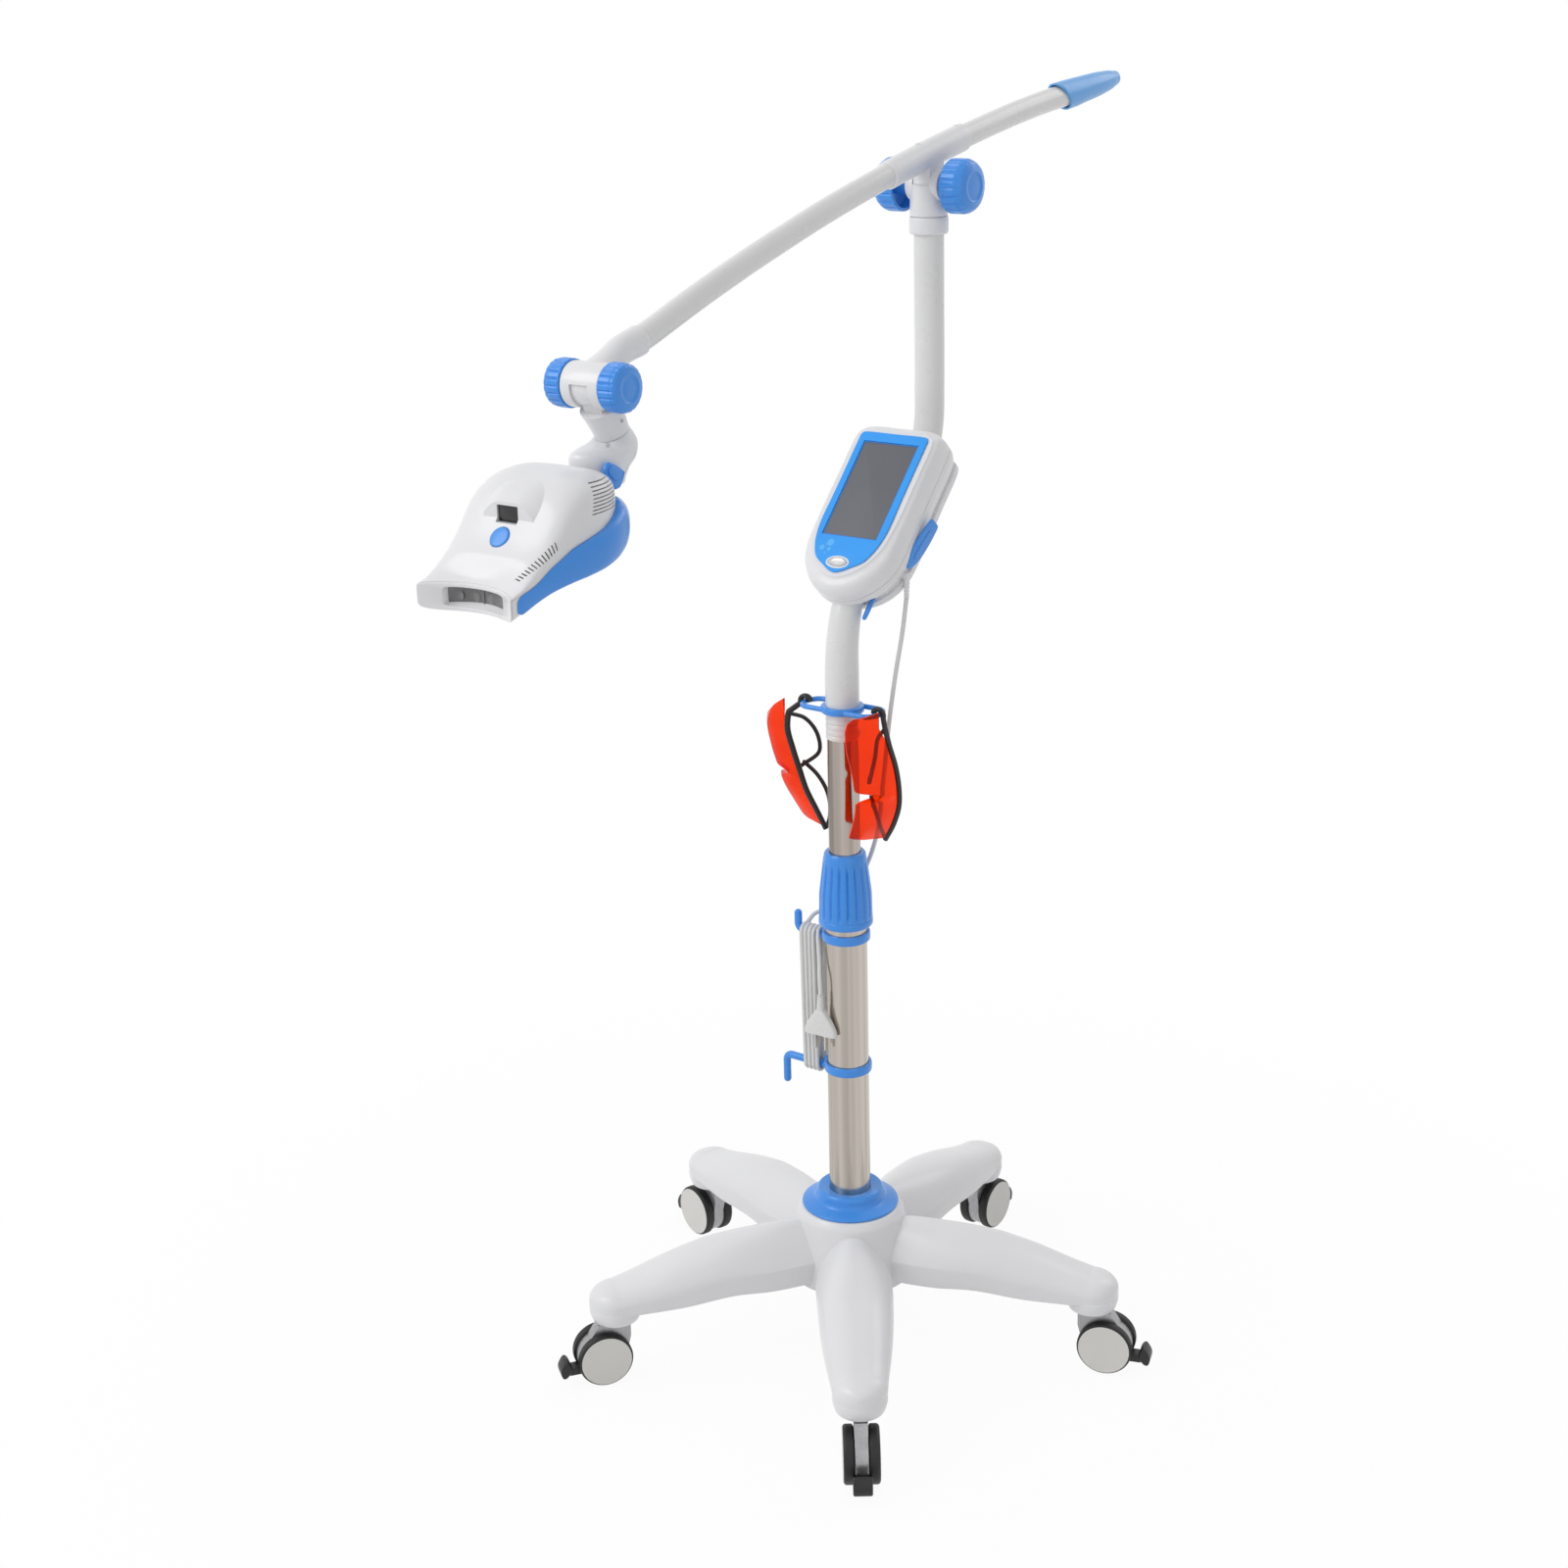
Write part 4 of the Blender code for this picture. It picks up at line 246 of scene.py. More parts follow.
def carry(section, path, side=(1.0, 0.0, 0.0), size=1.0, caps=(True, True)):
    """A section of (across, over) points carried along a path; over stays square to side and to the path."""
    path = np.asarray(path, float)
    ahead = unit(np.gradient(path, axis=0))
    over = unit(np.cross(ahead, np.broadcast_to(side, path.shape)))
    across = np.cross(over, ahead)
    size = np.asarray(size, float)
    size = np.broadcast_to(size if size.ndim == 2 else size[..., None], (len(path), 2))
    ring = section[None] * size[:, None]
    points = path[:, None] + ring[..., :1] * across[:, None] + ring[..., 1:] * over[:, None]
    return grid(points, caps=caps)


def rod_along(path, radius, steps=20, side=(0.0, 0.0, 1.0), domed=(True, True)):
    """A round bar along a path, with domed ends where asked: rings of radius sin a, set on by radius * cos a."""
    path = np.asarray(path, float)
    size = np.ones(len(path))
    for end in (0, 1):
        if domed[end]:
            way = slice(None) if end == 0 else slice(None, None, -1)
            line, weight = path[way], size[way]
            beyond = unit(line[0] - line[1])
            a = np.linspace(0.12, math.pi / 2, 6, endpoint=False)
            dome = line[0] + beyond * radius * np.cos(a)[:, None]
            path = np.vstack([dome, line])[way]
            size = np.r_[np.sin(a), weight][way]
    return carry(oval(radius, radius, steps), path, side, size)


def slab(outline, low, high, edge=0.0008, steps=4):
    """A flat outline from z = low to z = high with rounded rims: each rim row is drawn in along a quarter circle."""
    outline = np.asarray(outline, float)
    along = np.roll(outline, -1, 0) - np.roll(outline, 1, 0)
    away = unit(np.stack([along[:, 1], -along[:, 0]], 1))
    area = 0.5 * np.sum(outline[:, 0] * np.roll(outline[:, 1], -1) - np.roll(outline[:, 0], -1) * outline[:, 1])
    away *= np.sign(area)
    a = np.linspace(0, math.pi / 2, steps)
    draw = np.r_[edge * (1 - np.sin(a)), edge * (1 - np.sin(a[::-1]))]
    height = np.r_[low + edge * (1 - np.cos(a)), high - edge * (1 - np.cos(a[::-1]))]
    ring = outline[None] - away[None] * draw[:, None, None]
    points = np.concatenate([ring, np.broadcast_to(height[:, None, None], ring.shape[:2] + (1,))], -1)
    return grid(points, caps=(True, True))


def loop_path(outline, per_side=6):
    """Closed smooth outline through corner points, by cubic curves with mean slopes."""
    pts = np.asarray(outline, float)
    before, after = np.roll(pts, 1, 0), np.roll(pts, -1, 0)
    slope = (after - before) / 2
    start, leave, end, arrive = hermite(np.linspace(0, 1, per_side, endpoint=False)[:, None, None])
    curve = start * pts + leave * slope + end * after + arrive * np.roll(slope, -1, 0)
    return curve.transpose(1, 0, 2).reshape(-1, pts.shape[1])


def walled(outer, inner):
    """A sheet with thickness: two open grids of equal shape, joined round their four borders."""
    rows, columns = outer.shape[:2]
    index = np.arange(rows * columns).reshape(rows, columns)
    border = np.r_[index[0], index[1:, -1], index[-1, -2::-1], index[-2:0:-1, 0]]
    near = grid(outer, round_v=False)
    verts = np.vstack([outer.reshape(-1, 3), inner.reshape(-1, 3)])
    count = rows * columns
    back = np.stack([index[:-1, :-1], index[1:, :-1], index[1:, 1:], index[:-1, 1:]], -1).reshape(-1, 4) + count
    after = np.roll(border, -1)
    rim = np.stack([border, border + count, after + count, after], -1)
    return verts, near[1] + back.tolist() + rim.tolist()


# Materials: all patterns are on Object coordinates

NOISE_RANGE = (0.3, 0.7)      # where nearly all of a noise's values lie
MIX_COLOUR_A, MIX_COLOUR_B, MIX_COLOUR_RESULT = 6, 7, 2     # a mix node's colour sockets
MIX_VALUE_A, MIX_VALUE_B = 2, 3                             # and those for numbers


def node(tree, kind, **values):
    """A new node; each value goes to its setting of that name, or else to its input."""
    made = tree.nodes.new(kind)
    for key, value in values.items():
        if hasattr(made, key):
            setattr(made, key, value)
        else:
            made.inputs[key.replace("_", " ").title()].default_value = value
    return made


def map_range(tree, value, start, end, low, high):
    """value between start and end becomes low to high."""
    made = node(tree, "ShaderNodeMapRange", From_Min=start, From_Max=end, To_Min=low, To_Max=high)
    tree.links.new(value, made.inputs["Value"])
    return made.outputs["Result"]


class Finish:
    """A Principled material that is built up by adding noise to its colour, roughness and surface."""

    def __init__(self, name, colour, roughness, metallic=0.0):
        self.mat = bpy.data.materials.new(name)
        self.mat.use_nodes = True
        self.tree = self.mat.node_tree
        self.shader = self.tree.nodes["Principled BSDF"]
        self.shader.inputs["Base Color"].default_value = (*colour, 1.0)
        self.shader.inputs["Roughness"].default_value = roughness
        self.shader.inputs["Metallic"].default_value = metallic
        self.colour, self.roughness = colour, roughness
        self.coords = node(self.tree, "ShaderNodeTexCoord").outputs["Object"]
        self.normal = None

    def set(self, **values):
        """Inputs of the shader by name."""
        for key, value in values.items():
            self.shader.inputs[key.replace("_", " ")].default_value = value
        return self

    def noise(self, scale, detail=3.0, stretch=(1.0, 1.0, 1.0)):
        """Noise of scale per metre on Object coordinates, long where stretch is small."""
        turn = node(self.tree, "ShaderNodeMapping", Scale=stretch)
        self.tree.links.new(self.coords, turn.inputs["Vector"])
        made = node(self.tree, "ShaderNodeTexNoise", Scale=scale, Detail=detail)
        self.tree.links.new(turn.outputs["Vector"], made.inputs["Vector"])
        return made.outputs["Fac"]

    def spread(self, value, low, high):
        """The middle part of a noise's range becomes low to high."""
        return map_range(self.tree, value, *NOISE_RANGE, low, high)

    def mottle(self, scale, amount, stretch=(1.0, 1.0, 1.0), tint=(1.0, 1.0, 1.0)):
        """Base colour drifts between darker by amount and itself, in soft patches."""
        mix = node(self.tree, "ShaderNodeMix", data_type="RGBA")
        self.tree.links.new(self.spread(self.noise(scale, 2.0, stretch), 0.0, 1.0), mix.inputs["Factor"])
        darker = [c * (1 - amount) * t for c, t in zip(self.colour, tint)]
        for index, value in ((MIX_COLOUR_A, darker), (MIX_COLOUR_B, self.colour)):
            mix.inputs[index].default_value = (*value, 1.0)
        self.tree.links.new(mix.outputs[MIX_COLOUR_RESULT], self.shader.inputs["Base Color"])
        return self

    def polish(self, scale, amount, stretch=(1.0, 1.0, 1.0)):
        """Roughness drifts by amount to both sides."""
        value = self.spread(self.noise(scale, 3.0, stretch), self.roughness - amount, self.roughness + amount)
        self.tree.links.new(value, self.shader.inputs["Roughness"])
        return self

    def grain(self, scale, strength, height=0.0002, stretch=(1.0, 1.0, 1.0), detail=3.0):
        """Fine bumps, laid over those already there."""
        bump = node(self.tree, "ShaderNodeBump", Strength=strength, Distance=height)
        self.tree.links.new(self.noise(scale, detail, stretch), bump.inputs["Height"])
        if self.normal:
            self.tree.links.new(self.normal, bump.inputs["Normal"])
        self.normal = bump.outputs["Normal"]
        self.tree.links.new(self.normal, self.shader.inputs["Normal"])
        return self


def moulded(name, colour, roughness=0.34, coat=0.0):
    """Injection-moulded plastic: a faint spark texture, slow colour drift and handling marks in its gloss."""
    made = Finish(name, colour, roughness).mottle(9.0, 0.035).polish(38.0, 0.05).grain(1500.0, 0.10, 0.00005)
    made.grain(60.0, 0.05, 0.0004)
    return made.set(Coat_Weight=coat, Coat_Roughness=0.08, IOR=1.49).mat


WHITE = moulded("white_plastic", (0.770, 0.770, 0.785), 0.33, 0.15)
WHITE_TUBE = moulded("white_powder_coat", (0.740, 0.740, 0.737), 0.30, 0.20)
BLUE = moulded("blue_plastic", (0.035, 0.270, 0.800), 0.30, 0.25)
# Dark blue for the thin frame round the display: painted shade of the recess along the display's edge
EDGE_SHADE_BLUE = moulded("display_edge_painted_shade", (0.020, 0.190, 0.620), 0.34, 0.2)
BLUE_LIGHT = moulded("light_blue_plastic", (0.105, 0.385, 0.830), 0.34, 0.1)
BLUE_PALE = moulded("droplet_print", (0.075, 0.440, 0.930), 0.30, 0.3)
BLACK = moulded("black_plastic", (0.007, 0.007, 0.008), 0.38)
CORD_GREY = moulded("grey_cord_sheath", (0.700, 0.700, 0.695), 0.46)
TYRE = Finish("tyre_rubber", (0.006, 0.006, 0.007), 0.55).mottle(40.0, 0.3).polish(120.0, 0.08).grain(
    900.0, 0.25, 0.0002).mat
COVER = Finish("caster_cover_paint", (0.690, 0.680, 0.650), 0.42).mottle(14.0, 0.05).polish(60.0, 0.06).grain(
    1200.0, 0.12, 0.0001).mat
# Brushed steel: its long vertical streaks of darker colour are partly real brushing and partly painted reflection,
# bands that stand in for the surroundings mirrored in the pole
STEEL = Finish("brushed_stainless", (0.580, 0.530, 0.475), 0.22, 1.0).mottle(
    130.0, 0.34, (1.0, 1.0, 0.004)).polish(700.0, 0.05, (1.0, 1.0, 0.005)).grain(
    1400.0, 0.10, 0.00003, (1.0, 1.0, 0.004)).mat
# Polished steel: its strongly streaked colour is partly real polishing marks and partly painted reflection, long
# bands that stand in for the surroundings mirrored in the pole
POLISHED = Finish("polished_stainless_painted_reflection", (0.520, 0.455, 0.410), 0.12, 1.0).mottle(
    100.0, 0.60, (1.0, 1.0, 0.004)).polish(700.0, 0.03, (1.0, 1.0, 0.005)).grain(
    1400.0, 0.05, 0.00002, (1.0, 1.0, 0.004)).mat
FENDER = Finish("brushed_grey_fender", (0.420, 0.420, 0.430), 0.34, 0.75).mottle(700.0, 0.2, (1.0, 1.0, 0.02)).grain(
    900.0, 0.15, 0.0001, (1.0, 1.0, 0.03)).mat
PLATED = Finish("plated_steel", (0.66, 0.66, 0.66), 0.22, 1.0).mottle(60.0, 0.1).polish(200.0, 0.05).grain(
    500.0, 0.05).mat
BEZEL_BLUE = Finish("bezel_film", (0.006, 0.330, 0.930), 0.34).mottle(30.0, 0.06).polish(50.0, 0.04).grain(
    1800.0, 0.05, 0.00005).set(Coat_Weight=0.15, Coat_Roughness=0.20).mat
LCD = Finish("display_glass", (0.138, 0.142, 0.160), 0.42).mottle(18.0, 0.06).polish(24.0, 0.03).grain(
    900.0, 0.03, 0.00005).set(Coat_Weight=0.12, Coat_Roughness=0.30, Specular_IOR_Level=0.25).mat
DARK_GLASS = Finish("dark_window", (0.006, 0.006, 0.007), 0.22).mottle(80.0, 0.3).polish(60.0, 0.03).grain(
    400.0, 0.02).set(Coat_Weight=0.3, Coat_Roughness=0.08).mat
ORANGE = Finish("orange_lens", (1.0, 0.052, 0.003), 0.06).mottle(25.0, 0.10, tint=(1.0, 0.8, 0.8)).polish(
    40.0, 0.02).grain(300.0, 0.02).set(Transmission_Weight=0.86, IOR=1.22).mat
SMOKED = Finish("smoked_lens", (0.165, 0.165, 0.172), 0.26).mottle(70.0, 0.35).polish(80.0, 0.05).grain(
    700.0, 0.1).set(Coat_Weight=0.3).mat
SMOKED_PALE = Finish("led_window", (0.235, 0.235, 0.240), 0.30).mottle(120.0, 0.2).polish(80.0, 0.05).grain(
    700.0, 0.1).mat
BOARD = Finish("circuit_board", (0.02, 0.14, 0.06), 0.45).mottle(220.0, 0.5).polish(150.0, 0.1).grain(
    500.0, 0.4, 0.0006).mat

# The two nodes inside the shells are carried over from the solids
for hidden in ("power_board", "led_engine"):
    NODES[hidden].data.materials.clear()
    NODES[hidden].data.materials.append(BOARD)


# Pieces

def piece(name, form, mat, body, replaces=(), sharp=32.0):
    """A mesh object from a form in the pole's axes: outward faces, smooth shading and its place in the frame."""
    points, faces = form
    mesh = bpy.data.meshes.new(name)
    mesh.from_pydata((points + SHIFT).tolist(), [], faces)
    mesh.validate()
    mesh.materials.append(mat)
    obj = bpy.data.objects.new(name, mesh)
    bpy.context.scene.collection.objects.link(obj)
    outward(mesh)
    mesh.shade_smooth()
    mesh.set_sharp_from_angle(angle=math.radians(sharp))
    if body:
        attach(obj, body)
    if replaces:
        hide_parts(*replaces)
    return obj


def outward(mesh):
    """Doubled points become one, and all faces turn outwards."""
    work = bmesh.new()
    work.from_mesh(mesh)
    bmesh.ops.remove_doubles(work, verts=work.verts, dist=MERGE)
    bmesh.ops.recalc_face_normals(work, faces=work.faces)
    work.to_mesh(mesh)
    work.free()


def carved(name, form, cutters, added):
    """A form with others added to it and then cutters taken out of it, by exact Booleans, as points and faces."""
    objects = []
    parts = [("target", form)] + [("added", other) for other in added] + [("cutter", other) for other in cutters]
    for label, (points, faces) in parts:
        mesh = bpy.data.meshes.new(name + "_" + label)
        mesh.from_pydata(points.tolist(), [], faces)
        outward(mesh)
        obj = bpy.data.objects.new(name + "_" + label, mesh)
        bpy.context.scene.collection.objects.link(obj)
        objects.append(obj)
    target = objects[0]
    for other in objects[1:]:
        modifier = target.modifiers.new("cut", "BOOLEAN")
        modifier.operation = "UNION" if "_added" in other.name else "DIFFERENCE"
        modifier.solver = "EXACT"
        modifier.object = other
    bpy.context.view_layer.update()
    mesh = bpy.data.meshes.new_from_object(target.evaluated_get(bpy.context.evaluated_depsgraph_get()))
    points = np.zeros(len(mesh.vertices) * 3)
    mesh.vertices.foreach_get("co", points)
    faces = [list(polygon.vertices) for polygon in mesh.polygons]
    for obj in objects:
        bpy.data.objects.remove(obj, do_unlink=True)
    return points.reshape(-1, 3), faces


def block(low, high, edge=0.0006):
    """A box with rounded rims round its Z faces."""
    return slab(oblong(low, high, edge * 1.5), low[2], high[2], edge)


def rounded_loop(outline, radius, steps=5):
    """A closed outline with each corner replaced by a short arc."""
    outline = np.asarray(outline, float)
    before, after = np.roll(outline, 1, 0) - outline, np.roll(outline, -1, 0) - outline
    reach = np.minimum(radius, 0.45 * np.minimum(np.linalg.norm(before, axis=1), np.linalg.norm(after, axis=1)))
    start = outline + unit(before) * reach[:, None]
    end = outline + unit(after) * reach[:, None]
    t = np.linspace(0, 1, steps)[:, None, None]
    arcs = (1 - t) ** 2 * start + 2 * t * (1 - t) * outline + t ** 2 * end
    return arcs.transpose(1, 0, 2).reshape(-1, 2)


def oblong(low, high, radius):
    """An upright rectangle's outline between two corners, with its own corners rounded."""
    return rounded_loop([(low[0], low[1]), (high[0], low[1]), (high[0], high[1]), (low[0], high[1])], radius)


def lifted(loop, z):
    """A plane loop as points at height z."""
    return np.concatenate([loop, np.full((len(loop), 1), z)], 1)


def both_sides(half):
    """A half outline, from the middle round to the middle, and its mirror image as one closed outline."""
    return np.vstack([half, half[-2:0:-1] * (-1, 1)])


def screw_head(spot, way, middle, edge, rim):
    """A small turned head: the height of its middle, then (radius, height) of its edge and of its buried rim."""
    return turned(rounded(((0.0003, middle), edge, rim, (0.0003, -0.0010)), 0.0002), spot, way, 24)


# Mains cord

CORD_D = 0.0047
HOOK_ROD_R = 0.00425
WINDING_TURNS = 4
WINDING_PITCH = 0.0052
WINDING_POINTS = 24
WINDING_FIRST_X = -0.0540
WINDING_RADIUS = HOOK_ROD_R + CORD_D / 2 + 0.0004
WINDING_TOP = 0.4745
WINDING_FOOT = 0.3205
WINDING_LAST_X = WINDING_FIRST_X + WINDING_TURNS * WINDING_PITCH
GLAND_TOP = (0.0507, 0.0459, 0.8710)
GLAND_END = (0.0507, 0.0449, 0.8480)
CORD_ROUTE = (GLAND_END, (0.0475, 0.0425, 0.815), (0.0410, 0.0375, 0.765), (0.0345, 0.0340, 0.710),
              (0.0280, 0.0330, 0.650), (0.0170, 0.0350, 0.585), (-0.0020, 0.0370, 0.540), (-0.0230, 0.0340, 0.508),
              (-0.0410, 0.0260, 0.4935), (-0.0520, 0.0140, 0.4880),
              (WINDING_FIRST_X, 0.0050, WINDING_TOP + WINDING_RADIUS),
              (WINDING_FIRST_X, 0.0, WINDING_TOP + WINDING_RADIUS))
PLUG_ACROSS = unit((1.0, 0.02, 0.0))
PLUG_TOP = np.array((-0.0150, -0.0286, 0.4170))
PLUG_LENGTH = 0.046
RELIEF_LENGTH = 0.019
PIN_LENGTH = 0.0165
PIN_OFFSET = 0.00635        # from the plug's middle to a pin's


def winding_path():
    """Turns round both hook rods, at a steady pitch, and then a tail that hangs down to the plug."""
    straight = WINDING_TOP - WINDING_FOOT
    arc = math.pi * WINDING_RADIUS
    lap = 2 * (straight + arc)
    run = np.arange(WINDING_TURNS * WINDING_POINTS * 4) * lap / (WINDING_POINTS * 4)
    s = (run + arc / 2) % lap
    first, second = s < arc, (s >= arc) & (s < arc + straight)
    third = (s >= arc + straight) & (s < 2 * arc + straight)
    over, under = s / WINDING_RADIUS, (s - arc - straight) / WINDING_RADIUS
    y = np.where(first, np.cos(over), np.where(second, -1.0, np.where(third, -np.cos(under), 1.0)))
    z = np.where(first, WINDING_TOP + WINDING_RADIUS * np.sin(over),
                 np.where(second, WINDING_TOP - (s - arc),
                          np.where(third, WINDING_FOOT - WINDING_RADIUS * np.sin(under),
                                   WINDING_FOOT + (s - 2 * arc - straight))))
    x = WINDING_FIRST_X + WINDING_PITCH * run / lap
    coil = np.stack([x, y * WINDING_RADIUS, z], 1)
    x = WINDING_LAST_X
    tail = ((x, 0, WINDING_TOP + WINDING_RADIUS), (x + 0.0010, -0.0050, WINDING_TOP + WINDING_RADIUS - 0.0008),
            (x + 0.0035, -0.0100, WINDING_TOP + 0.0025), (x + 0.0075, -0.0150, WINDING_TOP - 0.0080),
            (x + 0.0120, -0.0205, WINDING_TOP - 0.0250), (x + 0.0165, -0.0270, 0.4360),
            tuple(PLUG_TOP + (0, 0, 0.0050)), tuple(PLUG_TOP + (0, 0, GAP)))
    return np.vstack([coil, smooth_path(tail, 40)])


def mains_cord():
    """A round section along the free route, the winding and the tail, as one cord piece, with its plug."""
    free = smooth_path(CORD_ROUTE, 160)
    path = np.vstack([free[:-1], winding_path()])
    path[0] = np.array(GLAND_END) - (0, 0, GAP)
    cord = piece("mains_cord_sheath", carry(oval(CORD_D / 2, CORD_D / 2, 14), path), CORD_GREY, None,
                 ("mains_cord", "cord_winding"), sharp=60)
    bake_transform(cord)
    plug = mains_plug()


def mains_plug():
    """Ribbed relief, flat body that widens downwards with a waist ridge, and two flat pins."""
    rows = []
    for i, z in enumerate(np.linspace(0.0, -RELIEF_LENGTH, 39)):
        rib = 0.0006 if (i // 3) % 2 else 0.0
        rows.append((0.0036 + 0.0009 * -z / RELIEF_LENGTH - rib, z))
    relief = turned(rows, steps=32)
    z = np.array((-0.0165, -0.018, -0.022, -0.031, -0.040, -0.0445, -0.0458, -PLUG_LENGTH))
    wide = np.array((0.0040, 0.0056, 0.0082, 0.0146, 0.0190, 0.0195, 0.0190, 0.0180))
    thick = np.array((0.0036, 0.0043, 0.0046, 0.0048, 0.0048, 0.0046, 0.0043, 0.0036))
    fine = np.linspace(z[0], z[-1], 40)
    wide, thick = smooth(-z, wide, -fine), smooth(-z, thick, -fine)
    ring = oval(1.0, 1.0, 48, 4.0)
    body = grid(np.stack([np.outer(wide, ring[:, 0]), np.outer(thick, ring[:, 1]),
                          np.repeat(fine[:, None], 48, 1)], -1), caps=(True, True))
    rib = slab(oblong((-0.0065, -0.0006), (0.0065, 0.0006), 0.0005), 0.0, 0.0004, 0.0002)
    grip = [place(rib, (0, side * 0.0046, -0.030 - 0.0030 * k), (1, 0, 0), (0, 0, side), (0, side, 0))
            for side in (-1, 1) for k in range(4)]
    normal = np.cross(PLUG_ACROSS, (0, 0, 1))
    to_frame = dict(origin=PLUG_TOP, x=PLUG_ACROSS, y=normal, z=(0, 0, 1))
    plug = piece("plug_body", place(join(relief, body, *grip), **to_frame), CORD_GREY, "stand", ("mains_plug",))
    pins = [block((x - 0.00075, -0.0031, -PLUG_LENGTH - PIN_LENGTH), (x + 0.00075, 0.0031, -PLUG_LENGTH + 0.001),
                  0.0003) for x in (-PIN_OFFSET, PIN_OFFSET)]
    blades = piece("plug_blades", place(join(*pins), **to_frame), PLATED, "stand", ())
    blades.parent = plug
    blades.matrix_parent_inverse.identity()
    return plug


# Base and casters

LEG_COUNT = 5
CASTER_REACH = 0.272
CASTER_TRAIL = 0.0178
WHEEL_R = 0.0306
WHEEL_WIDTH = 0.0115
AXLE_Z = 0.03022
HOUSING_HALF = 0.00725
FENDER_R = 0.0278
PEDAL_HALF = 0.0100
HUB_TOP = 0.1620
SOCKET_BOTTOM = 0.072
LEG_TIP_R = 0.0292
LEG_SHOULDER = 0.42         # share of a leg's height where its side turns into its arch
ROOT_END, ROOT_RUN = 0.165, 0.085       # the ridge at a leg's root has faded at this distance, over this run
# Stations along a leg: distance from the pole, half width, top and underside
LEG_STATIONS = np.array((
    (0.030, 0.0340, 0.1420, 0.0880), (0.069, 0.0380, 0.1500, 0.0880), (0.105, 0.0412, 0.1482, 0.0895),
    (0.147, 0.0405, 0.1432, 0.0925), (0.204, 0.0370, 0.1318, 0.0880), (0.2535, 0.0310, 0.1172, 0.0860),
    (0.272, 0.0290, 0.1125, 0.0855)))


def leg_axes(i):
    """Axes with x along leg i; the legs stand at even angles, the first one at the rear."""
    a = math.radians(90 + 360 * i / LEG_COUNT)
    return dict(x=(math.cos(a), math.sin(a), 0), y=(-math.sin(a), math.cos(a), 0))


def leg():
    """Flat below, upright sides that arch over to a soft ridge; the stations are read by smooth curves."""
    turn = np.r_[np.zeros(60), np.linspace(0.05, math.pi / 2 - 0.04, 26)]
    reach = np.r_[np.linspace(0.030, CASTER_REACH, 60), np.full(26, CASTER_REACH)] + LEG_TIP_R * np.sin(turn)
    half, top, bottom = (smooth(LEG_STATIONS[:, 0], LEG_STATIONS[:, k], np.minimum(reach, CASTER_REACH))[:, None]
                         for k in (1, 2, 3))
    turn = turn[:, None]
    half = half * np.cos(turn)
    top = top - (top - bottom) * (0.10 * np.sin(turn) ** 2 + 0.40 * (1 - np.cos(turn)))
    a = np.linspace(0, math.pi, 45)[None]
    root = np.clip((ROOT_END - reach) / ROOT_RUN, 0, 1)[:, None]
    across = half * np.sign(np.cos(a)) * np.abs(np.cos(a)) ** (0.75 + 0.25 * root)
    height = bottom + (top - bottom) * (LEG_SHOULDER + 0.58 * np.sin(a) ** (1.1 + 1.0 * root))
    foot = np.linspace(0.0, 1.0, 6)[None]
    side_y = half * (0.94 + 0.06 * foot ** 0.5)
    side_z = bottom + (top - bottom) * LEG_SHOULDER * foot
    across = np.concatenate([side_y[:, :-1], across, -side_y[:, -2::-1]], 1)
    height = np.concatenate([side_z[:, :-1], height, side_z[:, -2::-1]], 1)
    points = np.stack([np.broadcast_to(reach[:, None], across.shape), across, height], -1)
    return grid(points, caps=(True, True))


def star_base():
    """A turned hub, five legs with three ribs below and a turned caster socket each, and the collar on the hub."""
    hub = turned(rounded(((0.0300, HUB_TOP), (0.0545, HUB_TOP), (0.0598, 0.154), (0.0655, 0.122), (0.0690, 0.080),
                          (0.0300, 0.080)), 0.0025))
    forms = [hub]
    socket = turned(rounded(((0.004, 0.0900), (0.0286, 0.0900), (0.0284, 0.0820), (0.0252, SOCKET_BOTTOM),
                             (0.0065, SOCKET_BOTTOM), (0.0065, 0.080), (0.004, 0.080)), 0.0030),
                    (CASTER_REACH + 0.0008, 0, 0), steps=96)
    ribs = [block((0.080, y - 0.0012, 0.0868), (0.235, y + 0.0012, 0.0905)) for y in (-0.020, 0.0, 0.020)]
    one = join(leg(), socket, *ribs)
    forms += [place(one, **leg_axes(i)) for i in range(LEG_COUNT)]
    piece("five_leg_base", join(*forms), WHITE, "stand", ("star_base",), sharp=40)
    collar = turned(rounded(((0.0228, 0.1804), (0.0345, 0.1824), (0.0372, 0.1784), (0.0376, 0.1730), (0.0400, 0.1694),
                             (0.0460, 0.1672), (0.0532, 0.1650), (0.0532, HUB_TOP + GAP),
                             (0.0228, HUB_TOP + GAP)), 0.0016), closed=True)
    piece("pole_collar", collar, BLUE, "stand", ("base_collar",))


